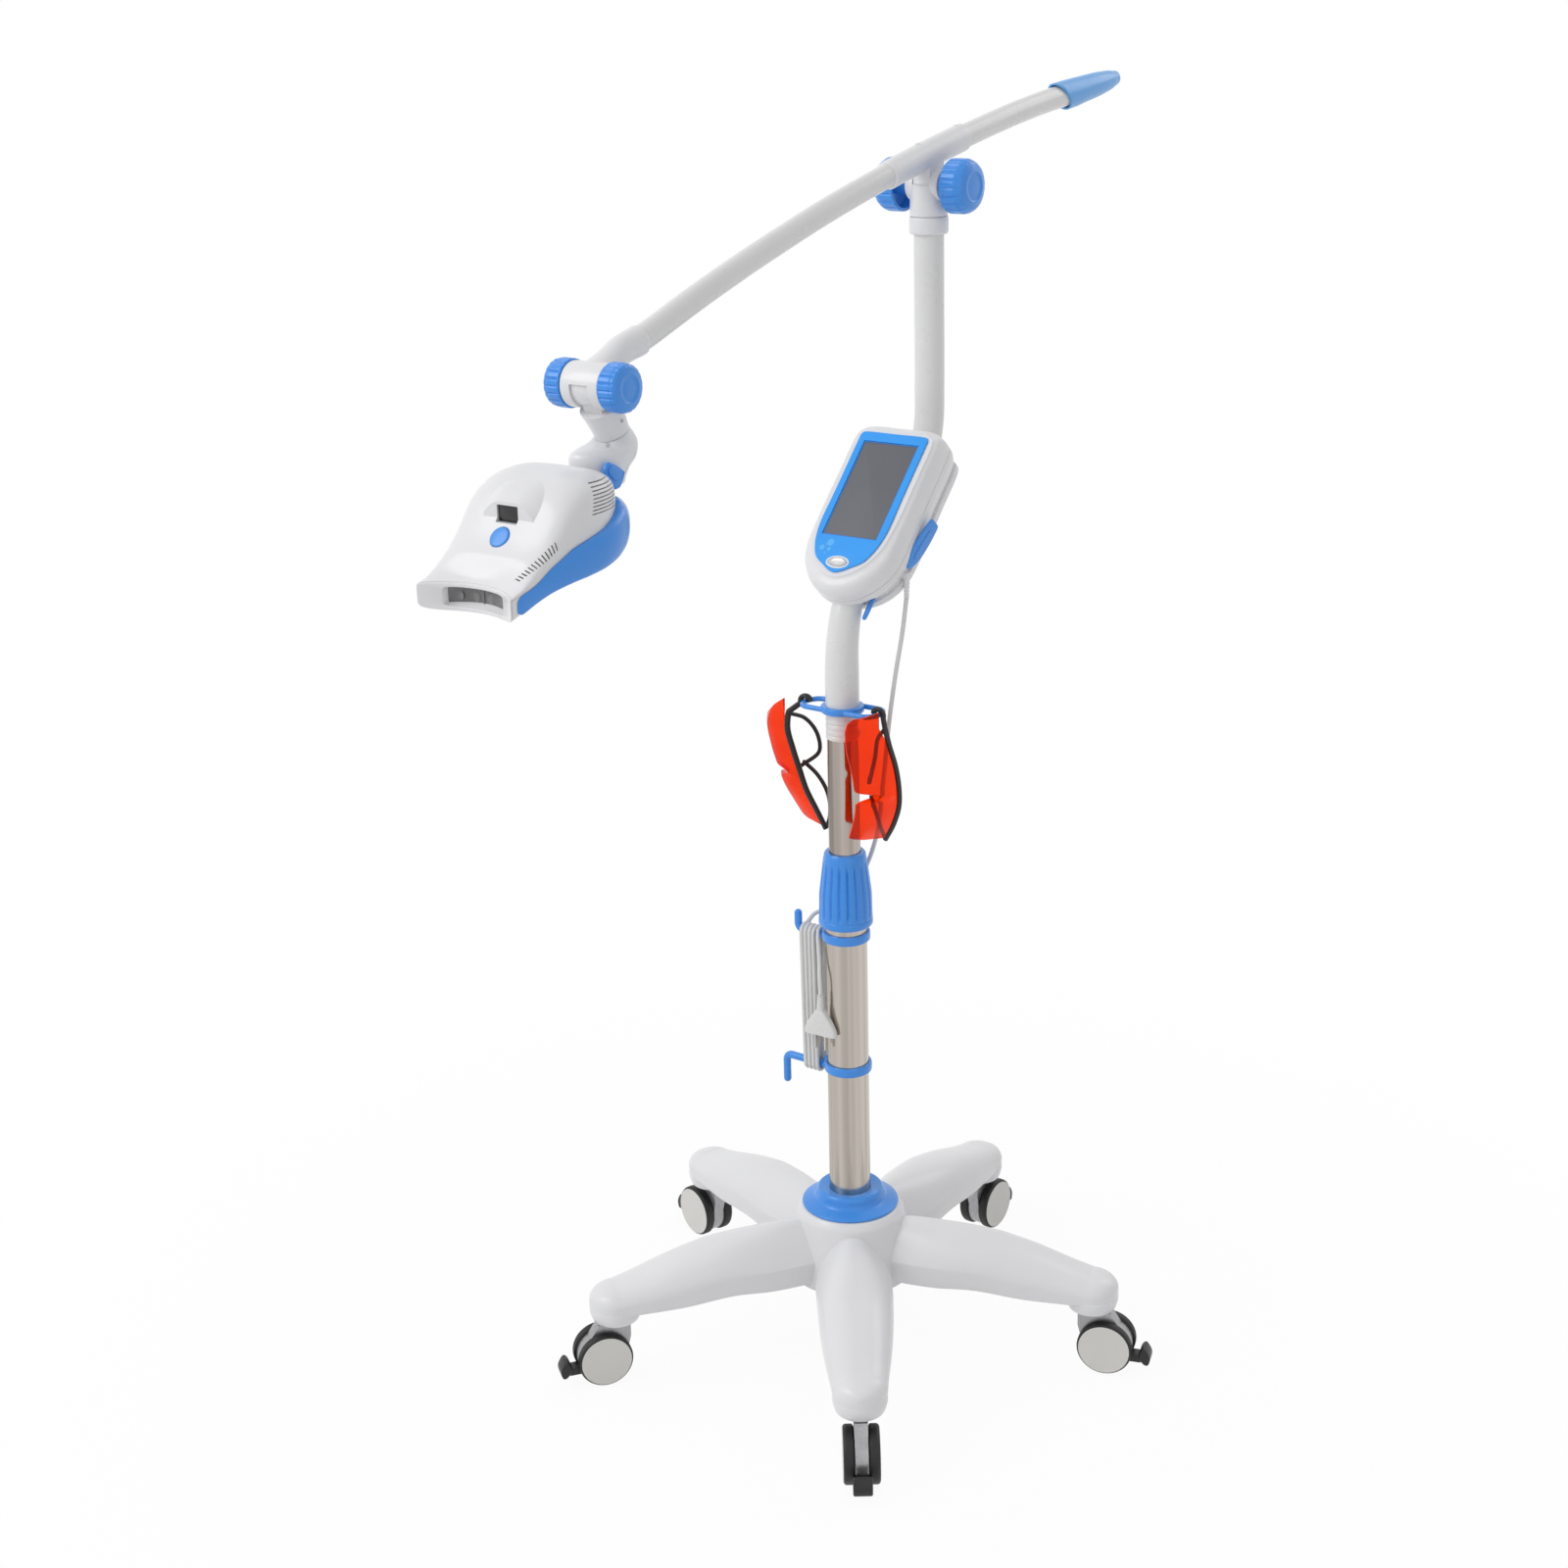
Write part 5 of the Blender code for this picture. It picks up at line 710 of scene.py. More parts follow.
def caster(i):
    """One caster, drawn along +X and then turned to its leg: a fender between two wheels, and a brake pedal."""
    axes = leg_axes(i)
    to_leg = dict(axes, origin=[CASTER_REACH * value for value in axes["x"]])
    name = f"caster_{i + 1}"

    arc = np.radians(np.linspace(-190, 58, 70))
    fender = np.stack([CASTER_TRAIL + FENDER_R * np.cos(arc), AXLE_Z + FENDER_R * np.sin(arc)], 1)
    notch = fender[(fender[:, 0] < 0.036) | (fender[:, 1] > 0.0245)]
    tail = np.array(((0.0225, 0.0690), (-0.0135, 0.0690), (-0.0135, 0.0500)))
    body = place(slab(np.vstack([notch, tail]), -HOUSING_HALF, HOUSING_HALF, 0.0010), **FRONT_ON)
    stem = turned(((0.0055, 0.060), (0.0055, 0.0965), (0.0047, 0.0975)), steps=32)
    washer = turned(rounded(((0.0057, 0.0691), (0.0085, 0.0691), (0.0085, 0.0712), (0.0057, 0.0712)), 0.0003),
                    steps=40)
    piece(name + "_fender", place(join(body, stem, washer), **to_leg), FENDER, name, (name + "_housing",))

    inner, outer = HOUSING_HALF + GAP, HOUSING_HALF + GAP + WHEEL_WIDTH
    profile = [(0.0031, inner), (WHEEL_R - 0.003, inner), (WHEEL_R - 0.0004, inner + 0.0016),
               (WHEEL_R - 0.0004, outer - 0.0028), (WHEEL_R - 0.0016, outer - 0.0008),
               (WHEEL_R - 0.0030, outer - 0.0005), (0.0060, outer - 0.0005)]
    cover = [(0.0040, outer - 0.0006), (0.0278, outer - 0.0006), (0.0280, outer - 0.0001), (0.0268, outer + 0.0001),
             (0.0255, outer - 0.0002), (0.0120, outer - 0.0001), (0.0004, outer)]
    centre = (CASTER_TRAIL, 0, AXLE_Z)
    tyres = join(*(turned(rounded(profile, 0.0008), centre, (0, side, 0), 96) for side in (-1, 1)),
                 turned(((0.0030, -outer + 0.002), (0.0030, outer - 0.002)), centre, (0, 1, 0), 32))
    discs = join(*(turned(rounded(cover, 0.0004), centre, (0, side, 0), 96) for side in (-1, 1)))
    piece(name + "_tyres", place(tyres, **to_leg), TYRE, name + "_wheels", (name + "_wheels",))
    piece(name + "_discs", place(discs, **to_leg), COVER, name + "_wheels", ())

    outline = loop_path(((0.0552, 0.0190), (0.0600, 0.0130), (0.0643, 0.0122), (0.0666, 0.0165), (0.0664, 0.0235),
                         (0.0615, 0.0314), (0.0577, 0.0310), (0.0549, 0.0262)), 8)
    half = PEDAL_HALF
    paddle = place(slab(outline, -half, half, 0.0020, 6), **FRONT_ON)
    ribs = [place(block((-half + 0.0020, -0.0005, -0.0006), (half - 0.0020, 0.0005, 0.0009), 0.0003),
                  (0.0657 - 0.0014 * k, 0, 0.0232 + 0.0022 * k), (0, 1, 0), (-0.53, 0, 0.85), (0.85, 0, 0.53))
            for k in range(4)]
    neck = block((0.0368, -HOUSING_HALF + GAP, 0.0134), (0.0568, HOUSING_HALF - GAP, 0.0224), 0.0008)
    piece(name + "_pedal", place(join(paddle, neck, *ribs), **to_leg), BLACK, name + "_brake", (name + "_brake",))


# Poles, collar, hooks and post

POLE_R = 0.0225
INNER_R = 0.01675
POST_R = 0.0177
POST_TOP_R = 0.01565
POST_BOTTOM = 0.702
POST_TOP = 1.2165
POST_Y = 0.170
POST_LINE = ((0, POST_BOTTOM), (0, 0.735), (0, 0.770), (0.0025, 0.808), (0.0130, 0.842), (0.0430, 0.873),
             (0.0850, 0.9040), (0.1270, 0.9360), (0.1570, 0.9700), (0.1685, 1.0060), (POST_Y, 1.0450),
             (POST_Y, 1.1300), (POST_Y, POST_TOP))
CLAMP_R = 0.0290
CLAMP_FLUTES, FLUTE_DEPTH = 18, 0.0019
FLUTE_LOW, FLUTE_HIGH = 0.5030, 0.5690
HOLDER_Z = 0.734
LOOP_ROD_R = 0.0028
POST_GROOVES = (0.7070, 0.7130, 0.7190, 0.7250)
GROOVE_DEPTH, GROOVE_WIDTH = 0.0010, 0.0008
RAIL_REACH, RAIL_SWELL, RAIL_HALF = 0.034, 0.012, 0.0160    # a holder loop: its arc's start, depth and half width
HOOK_RING_R = 0.0260
HOOK_RING_HALF = 0.0050


def tube(radius, wall, low, high, edge, steps=96):
    """A turned tube with rounded rims."""
    return turned(rounded(((radius, low), (radius, high), (radius - wall, high), (radius - wall, low)), edge),
                  closed=True, steps=steps)


def poles():
    """Two upright tubes, one in the other."""
    piece("lower_pole", tube(POLE_R, 0.002, 0.0985, 0.4995, 0.0005, 128), STEEL, "stand", ("outer_pole",))
    piece("upper_pole", tube(INNER_R, 0.0015, 0.250, 0.7415, 0.0004, 128), POLISHED, "mast", ("inner_pole",))


def height_collar():
    """Fluted clamp: a plain foot band, long grooves that fade out towards the top, and a bush inside the pole."""
    rows = [(0.0228, 0.4940, 0.0), (CLAMP_R - 0.0012, 0.4940, 0.0), (CLAMP_R, 0.4958, 0.0), (CLAMP_R, 0.5010, 0.0),
            (CLAMP_R - 0.0008, 0.5020, 0.0)]
    z = np.linspace(FLUTE_LOW, FLUTE_HIGH, 24)
    body = np.interp(z, (FLUTE_LOW, 0.530, FLUTE_HIGH), (CLAMP_R - 0.0004, CLAMP_R - 0.0010, 0.0232))
    weight = np.clip(np.minimum((z - FLUTE_LOW) / 0.004, (FLUTE_HIGH - z) / 0.010), 0, 1)
    rows += list(zip(body, z, weight))
    rows += [(0.0226, 0.5710, 0.0), (0.0220, 0.5745, 0.0), (0.0207, 0.5760, 0.0), (INNER_R + GAP, 0.5760, 0.0)]
    shell = turned(rows + [(INNER_R + GAP, 0.4998, 0.0), (POLE_R + GAP, 0.4998, 0.0)], closed=True, steps=288,
                   flutes=CLAMP_FLUTES, depth=FLUTE_DEPTH)
    bush = turned(rounded(((0.0202, 0.4635), (0.0202, 0.5025), (INNER_R + GAP, 0.5025), (INNER_R + GAP, 0.4635)),
                          0.0004), closed=True)
    piece("clamp_collar", join(shell, bush), BLUE, "height_collar", ("height_collar",), sharp=40)


def hook(z, reach, finger, rod_z):
    """A ring round the pole at z, and a rod along -X at rod_z that turns through a quarter circle into a finger."""
    ring = turned(rounded(((HOOK_RING_R - 0.0008, z + HOOK_RING_HALF), (HOOK_RING_R, z + 0.0036),
                           (HOOK_RING_R, z - 0.0036), (HOOK_RING_R - 0.0008, z - HOOK_RING_HALF),
                           (POLE_R + GAP, z - HOOK_RING_HALF), (POLE_R + GAP, z + HOOK_RING_HALF)), 0.0008),
                  closed=True)
    bend = 0.007
    a = np.linspace(0, math.pi / 2, 14)
    way = math.copysign(1.0, finger)
    corner = np.stack([-reach + bend * (1 - np.sin(a)), 0 * a, rod_z + way * bend * (1 - np.cos(a))], 1)
    start = np.stack([np.linspace(-0.0240, -reach + bend, 8)[:-1], np.zeros(7), np.full(7, rod_z)], 1)
    end = np.array([(-reach, 0, rod_z + finger - way * HOOK_ROD_R)])
    rod = rod_along(np.vstack([start, corner, end]), HOOK_ROD_R, 28, (0, 1, 0), (False, True))
    gusset = block((-0.0296, -0.0035, rod_z), (-0.0246, 0.0035, z + 0.0030))
    screw = turned(rounded(((0.0003, 0.0252), (0.0022, 0.0258), (0.0022, 0.0240), (0.0003, 0.0240)), 0.0002),
                   (0, 0, z), (0.6, -0.8, 0), 24)
    return join(ring, rod, gusset), screw


def hooks():
    """The finger of the upper hook points up, and that of the lower one down."""
    for name, z, reach, finger, rod_z in (("upper", 0.4814, 0.0625, 0.0222, WINDING_TOP),
                                          ("lower", 0.3280, 0.0820, -0.0340, WINDING_FOOT)):
        form, screw = hook(z, reach, finger, rod_z)
        piece(name + "_cord_rest", form, BLUE, "stand", ("cord_hook_" + name,), sharp=40)
        piece(name + "_rest_screw", screw, PLATED, "stand", ())


def post_path(count):
    """The post's middle line as count points."""
    return smooth_path([(0, y, z) for y, z in POST_LINE], count)


def post_tube():
    """The bent tube narrows above its foot. Four grooves ring the foot, each a bell curve taken off the radius."""
    path = post_path(620)
    radius = np.interp(path[:, 2], (0.770, 0.850), (POST_R, POST_TOP_R))
    for groove in POST_GROOVES:
        radius -= GROOVE_DEPTH * np.exp(-((path[:, 2] - groove) / GROOVE_WIDTH) ** 2) * (path[:, 2] < 0.76)
    size = radius / POST_R
    size[0] -= 0.02     # a soft lower rim
    section = oval(POST_R, POST_R, 72)
    piece("bent_post", carry(section, path, size=size), WHITE_TUBE, "mast", ("post_tube",), sharp=40)
    collar = turned(rounded(((POST_TOP_R + GAP, POST_TOP), (0.0198, POST_TOP), (0.0203, 1.2130), (0.0203, 1.2015),
                             (0.0190, 1.1990), (POST_TOP_R + GAP, 1.1990)), 0.0008), (0, POST_Y, 0), closed=True)
    piece("post_top_collar", collar, WHITE, "mast", ("post_collar",))


def goggle_holder():
    """A ring round the post's foot and, on both sides, a rod that runs out, round half an oval and back."""
    inner = POST_R + GAP
    ring = turned(rounded(((inner, HOLDER_Z - 0.0035), (inner + 0.0044, HOLDER_Z - 0.0035),
                           (inner + 0.0050, HOLDER_Z), (inner + 0.0044, HOLDER_Z + 0.0035),
                           (inner, HOLDER_Z + 0.0035)), 0.0010), closed=True)
    forms = [ring]
    a = np.linspace(0, math.pi, 40)
    for side in (-1, 1):
        corner = np.stack([side * (RAIL_REACH + RAIL_SWELL * np.sin(a)), -RAIL_HALF * np.cos(a),
                           np.full(40, HOLDER_Z)], 1)
        path = np.vstack([[(side * 0.0135, -RAIL_HALF, HOLDER_Z)], corner, [(side * 0.0135, RAIL_HALF, HOLDER_Z)]])
        forms.append(rod_along(path, LOOP_ROD_R, 24))
    piece("goggle_rail", join(*forms), BLUE, "mast", ("goggle_holder",), sharp=40)


# Goggles

ACROSS = np.array((0.808, 0.589, 0.0))      # to the right of the picture, in plan
NEAR = np.array((0.589, -0.808, 0.0))       # towards the front right of the lamp, in plan
LENS_TOP = 1.13     # how far up its brow the lens reaches
LENS_HALF = 0.0010
BROW_R = 0.0029
NOTCH_DEPTH, NOTCH_AT, NOTCH_WIDTH = 0.0200, 0.475, 0.032
FOLD_FROM, FOLD_SLOPE, FOLD_SOFT = 0.72, 0.42, 0.0008       # where the lens starts to fold back, how far, how softly


def spots(*places):
    """Points given as ways to the picture's right, towards the viewer and up."""
    return np.array([ACROSS * r + NEAR * t + (0, 0, z) for r, t, z in places])


class Goggles:
    """Places a point of a pair of goggles: u from 0 to 1 up its brow, v down its lens, f out of its front."""

    def __init__(self, brow, front, down, drop):
        self.path = smooth_path(brow, 241)
        self.length = float(spans(self.path).sum())
        self.front, self.down, self.drop = np.array(front), np.array(down), drop

    def at(self, u, v=0.0, f=0.0):
        """The brow's point at u, straight on up past its end, plus v down the lens and f out of it."""
        u, v, f = np.broadcast_arrays(*(np.asarray(value, float) for value in (u, v, f)))
        knots = np.linspace(0, 1, len(self.path))
        spot = np.stack([np.interp(u, knots, self.path[:, k]) for k in range(3)], -1)
        rise = np.maximum(u - 1, 0)[..., None] * self.length * np.array((0, 0, 1.0))
        return spot + rise + v[..., None] * self.down + f[..., None] * self.front

    def lens(self, taper):
        """A sheet that bellies forwards and folds back along its lower edge.

        Its height falls off towards both ends with the cube of the way along, more so at the upper end, and the
        nose notch is a bell curve taken out of the lower edge. That edge is drawn in towards its middle, by taper
        above it and by a tenth below. The lens reaches higher than the brow, beside the holder.
        """
        share = np.linspace(0, 1, 150)[:, None]
        u = 0.02 + (LENS_TOP - 0.02) * share
        s = 2 * share - 1
        height = self.drop * (1 - np.where(s > 0, 0.17, 0.08) * np.abs(s) ** 3)
        height = height - NOTCH_DEPTH * np.exp(-((u - NOTCH_AT) / NOTCH_WIDTH) ** 2)
        height = height - 0.0060 * np.clip((np.abs(s) - 0.94) / 0.06, 0, 1) ** 2
        start = 0.0030 + 0.0040 * np.clip((u - 0.90) / 0.10, 0, 1)
        down = np.linspace(0, 1, 40)[None]
        v = start + (height - start) * down
        along = 0.5 + (u - 0.5) * (1 - np.where(u > 0.5, taper, 0.10) * v / self.drop)
        fold = np.sqrt(np.maximum(v - FOLD_FROM * height, 0) ** 2 + FOLD_SOFT ** 2) - FOLD_SOFT
        belly = 0.0050 * (1 - s ** 2) * np.sin(math.pi * down) - FOLD_SLOPE * fold
        return walled(self.at(along, v, belly + LENS_HALF), self.at(along, v, belly - LENS_HALF))

    def frame(self, hook_points, top, bottom):
        """The brow bar, deeper than it is thick, with its hook and the two flat temples."""
        brow = np.vstack([self.at(np.linspace(0, 1, 70)), hook_points])
        ahead = np.linspace(0, 1, len(brow))
        bar = carry(oval(BROW_R, BROW_R, 24), brow, self.front,
                    np.stack([1.0 + 0.25 * ahead, 1.0 - 0.10 * ahead], 1))
        temples = []
        for line in (top, bottom):
            path = smooth_path([self.at(*spot) for spot in line], 50)
            temples.append(rod_along(path, 0.0022, 16, self.front))
        return join(bar, *temples)


def over_loop(side, y, turn_from, turn_to):
    """A temple's end hooks over the outer end of a holder loop, as an arc round the loop's rod."""
    x = side * (RAIL_REACH + RAIL_SWELL * math.sqrt(1 - (y / RAIL_HALF) ** 2))
    reach = LOOP_ROD_R + BROW_R + GAP + 0.0001
    a = np.radians(np.linspace(turn_from, turn_to, 20))
    return np.stack([x + side * reach * np.cos(a), np.full(20, y), HOLDER_Z + reach * np.sin(a)], 1)


def goggles():
    """Both pairs hang upright by one end: the left one is seen nearly edge-on, the right one from its front."""
    turn = math.radians(27)
    brow = spots((-0.0190, -0.0180, 0.5950), (-0.0290, -0.0200, 0.6165), (-0.0389, -0.0215, 0.6380),
                 (-0.0460, -0.0225, 0.6615), (-0.0519, -0.0235, 0.6820), (-0.0575, -0.0250, 0.7080),
                 (-0.0560, -0.0270, 0.7230))
    left, left_lens = (Goggles(brow, front=-ACROSS * math.cos(way) + NEAR * math.sin(way),
                               down=-ACROSS * math.sin(way) - NEAR * math.cos(way), drop=0.044)
                       for way in (turn, math.radians(38)))
    temples = (((0.985, 0.0, -0.002), (0.92, 0.003, -0.022), (0.76, 0.005, -0.035), (0.62, 0.009, -0.033),
                (0.50, 0.020, -0.012)),
               ((0.02, 0.0, -0.002), (0.06, 0.004, -0.010), (0.25, 0.008, -0.0240), (0.42, 0.014, -0.0240),
                (0.52, 0.022, -0.0170)))
    piece("left_goggle_frame", left.frame(over_loop(-1, -0.0010, -20, 170), *temples), BLACK, "goggles_left",
          ("goggles_left_frame",), sharp=45)
    piece("left_goggle_lens", left_lens.lens(0.32), ORANGE, "goggles_left", ("goggles_left_lens",),
          sharp=45)

    turn = math.radians(25)
    right = Goggles(spots((0.0415, 0.0350, 0.6010), (0.0500, 0.0470, 0.6230), (0.0550, 0.0540, 0.6450),
                          (0.0548, 0.0560, 0.6650), (0.0520, 0.0530, 0.6850), (0.0455, 0.0440, 0.7080),
                          (0.0420, 0.0345, 0.7230)),
                    front=NEAR * math.cos(turn) + ACROSS * math.sin(turn),
                    down=-ACROSS * math.cos(turn) + NEAR * math.sin(turn), drop=0.048)
    temples = (((0.97, 0.001, -0.002), (0.90, 0.004, -0.012), (0.72, 0.012, -0.020), (0.55, 0.024, -0.018)),
               ((0.02, 0.001, -0.002), (0.08, 0.004, -0.008), (0.25, 0.012, -0.020), (0.42, 0.020, -0.024)))
    piece("right_goggle_frame", right.frame(over_loop(1, -0.0020, -20, 170), *temples), BLACK, "goggles_right",
          ("goggles_right_frame",), sharp=45)
    piece("right_goggle_lens", right.lens(0.10), ORANGE, "goggles_right", ("goggles_right_lens",),
          sharp=45)


# Top joint and arm

TILT_Z = 1.2475
HEAD_BODY_R = 0.0195
CHEEK_R = 0.0160
FORK_SLOT = 0.0103
TONGUE = 0.0100
TONGUE_R = 0.0150
ARM_HALF = (0.0105, 0.01225)
ARM_LINE = np.array(((-0.3400, 1.1445), (-0.3237, 1.1493), (-0.2957, 1.1568), (-0.2671, 1.1661), (-0.2380, 1.1756),
                     (-0.2085, 1.1848), (-0.1477, 1.2028), (-0.0847, 1.2201), (-0.0193, 1.2372), (0.0487, 1.2531),
                     (0.1700, 1.2785), (0.2702, 1.2965), (0.3302, 1.3062), (0.3923, 1.3148), (0.4786, 1.3240),
                     (0.5669, 1.3338)))
ARM_Z_AT_POST = 1.2785
JOINT_Y, JOINT_Z = -0.3725, 1.1234
JOINT_R = 0.0203
JOINT_HALF = 0.0213
SOCKET_SLOPE = math.radians(28)
YOKE_AXIS = unit((0, 0.456, -0.890))
NECK = ((0.0212, 0.0199), (0.0494, 0.0158))         # distance from the joint and radius at both ends
HINGE_Y, HINGE_Z = -0.376, 1.045
BARREL_R = 0.0150
BARREL_HALF = 0.0145


def arm_rings(ys, half_width, half_height, steps=64):
    """Ovals square to the arm's line at each y: centre + half_width cos a across + half_height sin a over."""
    ys = np.asarray(ys, float)
    line = lambda y: smooth(ARM_LINE[:, 0], ARM_LINE[:, 1], y)
    slope = (line(ys + 0.001) - line(ys - 0.001)) / 0.002
    over = unit(np.stack([0 * ys, -slope, 1 + 0 * ys], 1))
    centre = np.stack([0 * ys, ys, line(ys)], 1)
    a = full_turn(steps)
    width, height = (np.broadcast_to(value, ys.shape)[:, None, None] for value in (half_width, half_height))
    return (centre[:, None] + width * np.cos(a)[None, :, None] * np.array((1.0, 0, 0))
            + height * np.sin(a)[None, :, None] * over[:, None])


def loft(rings, count, guide=None):
    """count rings on smooth curves through the same point of each given ring, evenly spaced along their middles.

    With a guide they are evenly spaced along the curve through each ring's point of that number.
    """
    rings = np.asarray(rings, float)
    chord = run_along(rings.mean(1) if guide is None else rings[:, guide])
    x = np.linspace(0, chord[-1], count)
    flat = rings.reshape(len(rings), -1)
    return np.stack([smooth(chord, flat[:, k], x) for k in range(flat.shape[1])], 1).reshape(count, -1, 3)


def cross_rod(y, z, half, radius, edge=0.0008, steps=72):
    """A drum along X about (y, z)."""
    return turned(rounded(((0.0005, -half), (radius, -half), (radius, half), (0.0005, half)), edge), (0, y, z),
                  (1, 0, 0), steps)


def strap(low, high, centre, radius, direction, length, half, edge=0.0006):
    """A plate across X: a disc about centre with a straight arm that leaves along direction in the YZ plane."""
    d = unit(direction)
    side = np.array((-d[1], d[0]))
    spread = math.asin(min(1.0, half / radius))
    a = np.linspace(spread, 2 * math.pi - spread, 40)
    disc = radius * (np.cos(a)[:, None] * d + np.sin(a)[:, None] * side)
    outline = np.vstack([disc, length * d - half * side, length * d + half * side]) + centre
    return place(slab(outline, low, high, edge), **ACROSS_X)


def knob(side, face, body, cap, back, hub, hub_start, pivot, flutes=20):
    """A clamp knob along X: hub, hollow back, rim with rounded grooves, and a cap with a raised ring and a dish."""
    edge = face - back
    deep = back + 0.45 * edge
    rows = [(0.0005, hub_start, 0), (hub, hub_start, 0), (hub, deep, 0), (body - 0.0045, deep, 0),
            (body - 0.0035, back, 0), (body - 0.0006, back, 0), (body, back + 0.0008, 0.3), (body, back + 0.0022, 1),
            (body, back + edge * 0.40, 1), (body, back + edge * 0.62, 1), (body - 0.0006, back + edge * 0.70, 0.9),
            ((body + cap) / 2 + 0.0028, back + edge * 0.84, 0.5),
            ((body + cap) / 2 + 0.0006, back + edge * 0.93, 0.15), (cap, face - 0.0004, 0),
            (cap - 0.0010, face, 0), (cap - 0.0022, face, 0), (cap - 0.0030, face - 0.0007, 0),
            (cap - 0.0060, face - 0.0010, 0), (cap * 0.45, face - 0.0007, 0), (0.0005, face - 0.0003, 0)]
    return turned(rounded(rows, 0.0005, 3), (0, *pivot), (side, 0, 0), flutes * 14, flutes=flutes, depth=0.0012)


def swivel():
    """An upright drum joined with one across it, and a slot cut down into both for the saddle's tongue."""
    body = turned(rounded(((0.0005, POST_TOP + GAP), (HEAD_BODY_R, POST_TOP + GAP), (HEAD_BODY_R, TILT_Z + 0.0010),
                           (0.0005, TILT_Z + 0.0010)), 0.0010), (0, POST_Y, 0), steps=96)
    cheeks = cross_rod(POST_Y, TILT_Z, HEAD_BODY_R - 0.0002, CHEEK_R)
    reach = TONGUE_R + 0.0009
    slot = block((-FORK_SLOT, POST_Y - reach, TILT_Z - reach), (FORK_SLOT, POST_Y + reach, TILT_Z + 0.03))
    head = carved("swivel", body, [slot], [cheeks])
    piece("swivel_tee", head, WHITE, "swivel_head", ("swivel_head",))


def top_joint():
    """The saddle, a sleeve along the arm with rounded lips and a tongue below, its screws, and two knobs."""
    pivot = (POST_Y, TILT_Z)
    wall = 0.0022
    ys = np.linspace(0.092, 0.235, 70)
    lip = np.minimum(1, np.minimum(ys - ys[0], ys[-1] - ys) / 0.0030)
    grow = wall * np.sqrt(np.clip(1 - (1 - lip) ** 2, 0.04, 1))
    sleeve = grid(arm_rings(ys, ARM_HALF[0] + grow, ARM_HALF[1] + grow), caps=(True, True))
    tongue = strap(-TONGUE, TONGUE, np.array(pivot), TONGUE_R, (0, 1), 0.0250, TONGUE_R - 0.001)
    screws = [screw_head((0, y, ARM_Z_AT_POST + 0.0150 + slope * (y - POST_Y)), (0, -0.18, 1), 0.0,
                         (0.0024, 0.0004), (0.0027, -0.0008)) for y, slope in ((0.150, 0.185), (0.222, 0.180))]
    piece("arm_clamp_saddle", join(sleeve, tongue), WHITE, "arm", ("arm_saddle",))
    piece("saddle_screws", join(*screws), PLATED, "arm", ())
    for side, name in ((-1, "left"), (1, "right")):
        form = knob(side, 0.0548, 0.0275, 0.0170, 0.0285, 0.0100, HEAD_BODY_R + GAP, pivot)
        piece(name + "_top_knob", form, BLUE, "top_knob_" + name, ("top_knob_" + name,), sharp=40)


def arm():
    """An oval tube along the arm's line."""
    ys = np.linspace(-0.3360, 0.5150, 240)
    piece("oval_arm", grid(arm_rings(ys, *ARM_HALF), caps=(True, True)), WHITE_TUBE, "arm", ("arm_tube",))


def arm_nose():
    """The end cap: rings round the arm from a slanted mouth, which leans with the sine, on to a rounded nose."""
    stations = np.array(((0.000, 0.0135, 0.0148), (0.022, 0.0136, 0.0150), (0.060, 0.0130, 0.0142),
                         (0.096, 0.0112, 0.0122), (0.119, 0.0080, 0.0090), (0.1300, 0.0045, 0.0052),
                         (0.1325, 0.0015, 0.0018)))
    mouth = 0.4375
    along = np.r_[np.linspace(0.0012, 0.110, 50), 0.110 + 0.0222 * np.sin(np.linspace(0.08, math.pi / 2, 24))]
    half = [smooth(stations[:, 0], stations[:, k], along) for k in (1, 2)]
    half[0][-4:] = np.minimum(half[0][-4:], (0.0046, 0.0034, 0.0022, 0.0008))
    half[1][-4:] = np.minimum(half[1][-4:], (0.0052, 0.0040, 0.0026, 0.0010))
    shell = arm_rings(mouth + along, *half)
    lip = [arm_rings([mouth + run], ARM_HALF[0] + out, ARM_HALF[1] + out)[0]
           for run, out in ((0.020, 0.0003), (0.0008, 0.0003), (0.0, 0.0009), (0.0, 0.0022))]
    rings = np.concatenate([np.array(lip), shell])
    run = np.r_[0.020, 0.0008, 0.0, 0.0, along]
    lean = 0.012 * np.clip(1 - run / 0.05, 0, 1)
    rings[:, :, 1] -= lean[:, None] * np.sin(full_turn(64))[None]
    piece("arm_nose_cap", grid(rings, caps=(True, True)), BLUE_LIGHT, "arm", ("arm_end_cap",))


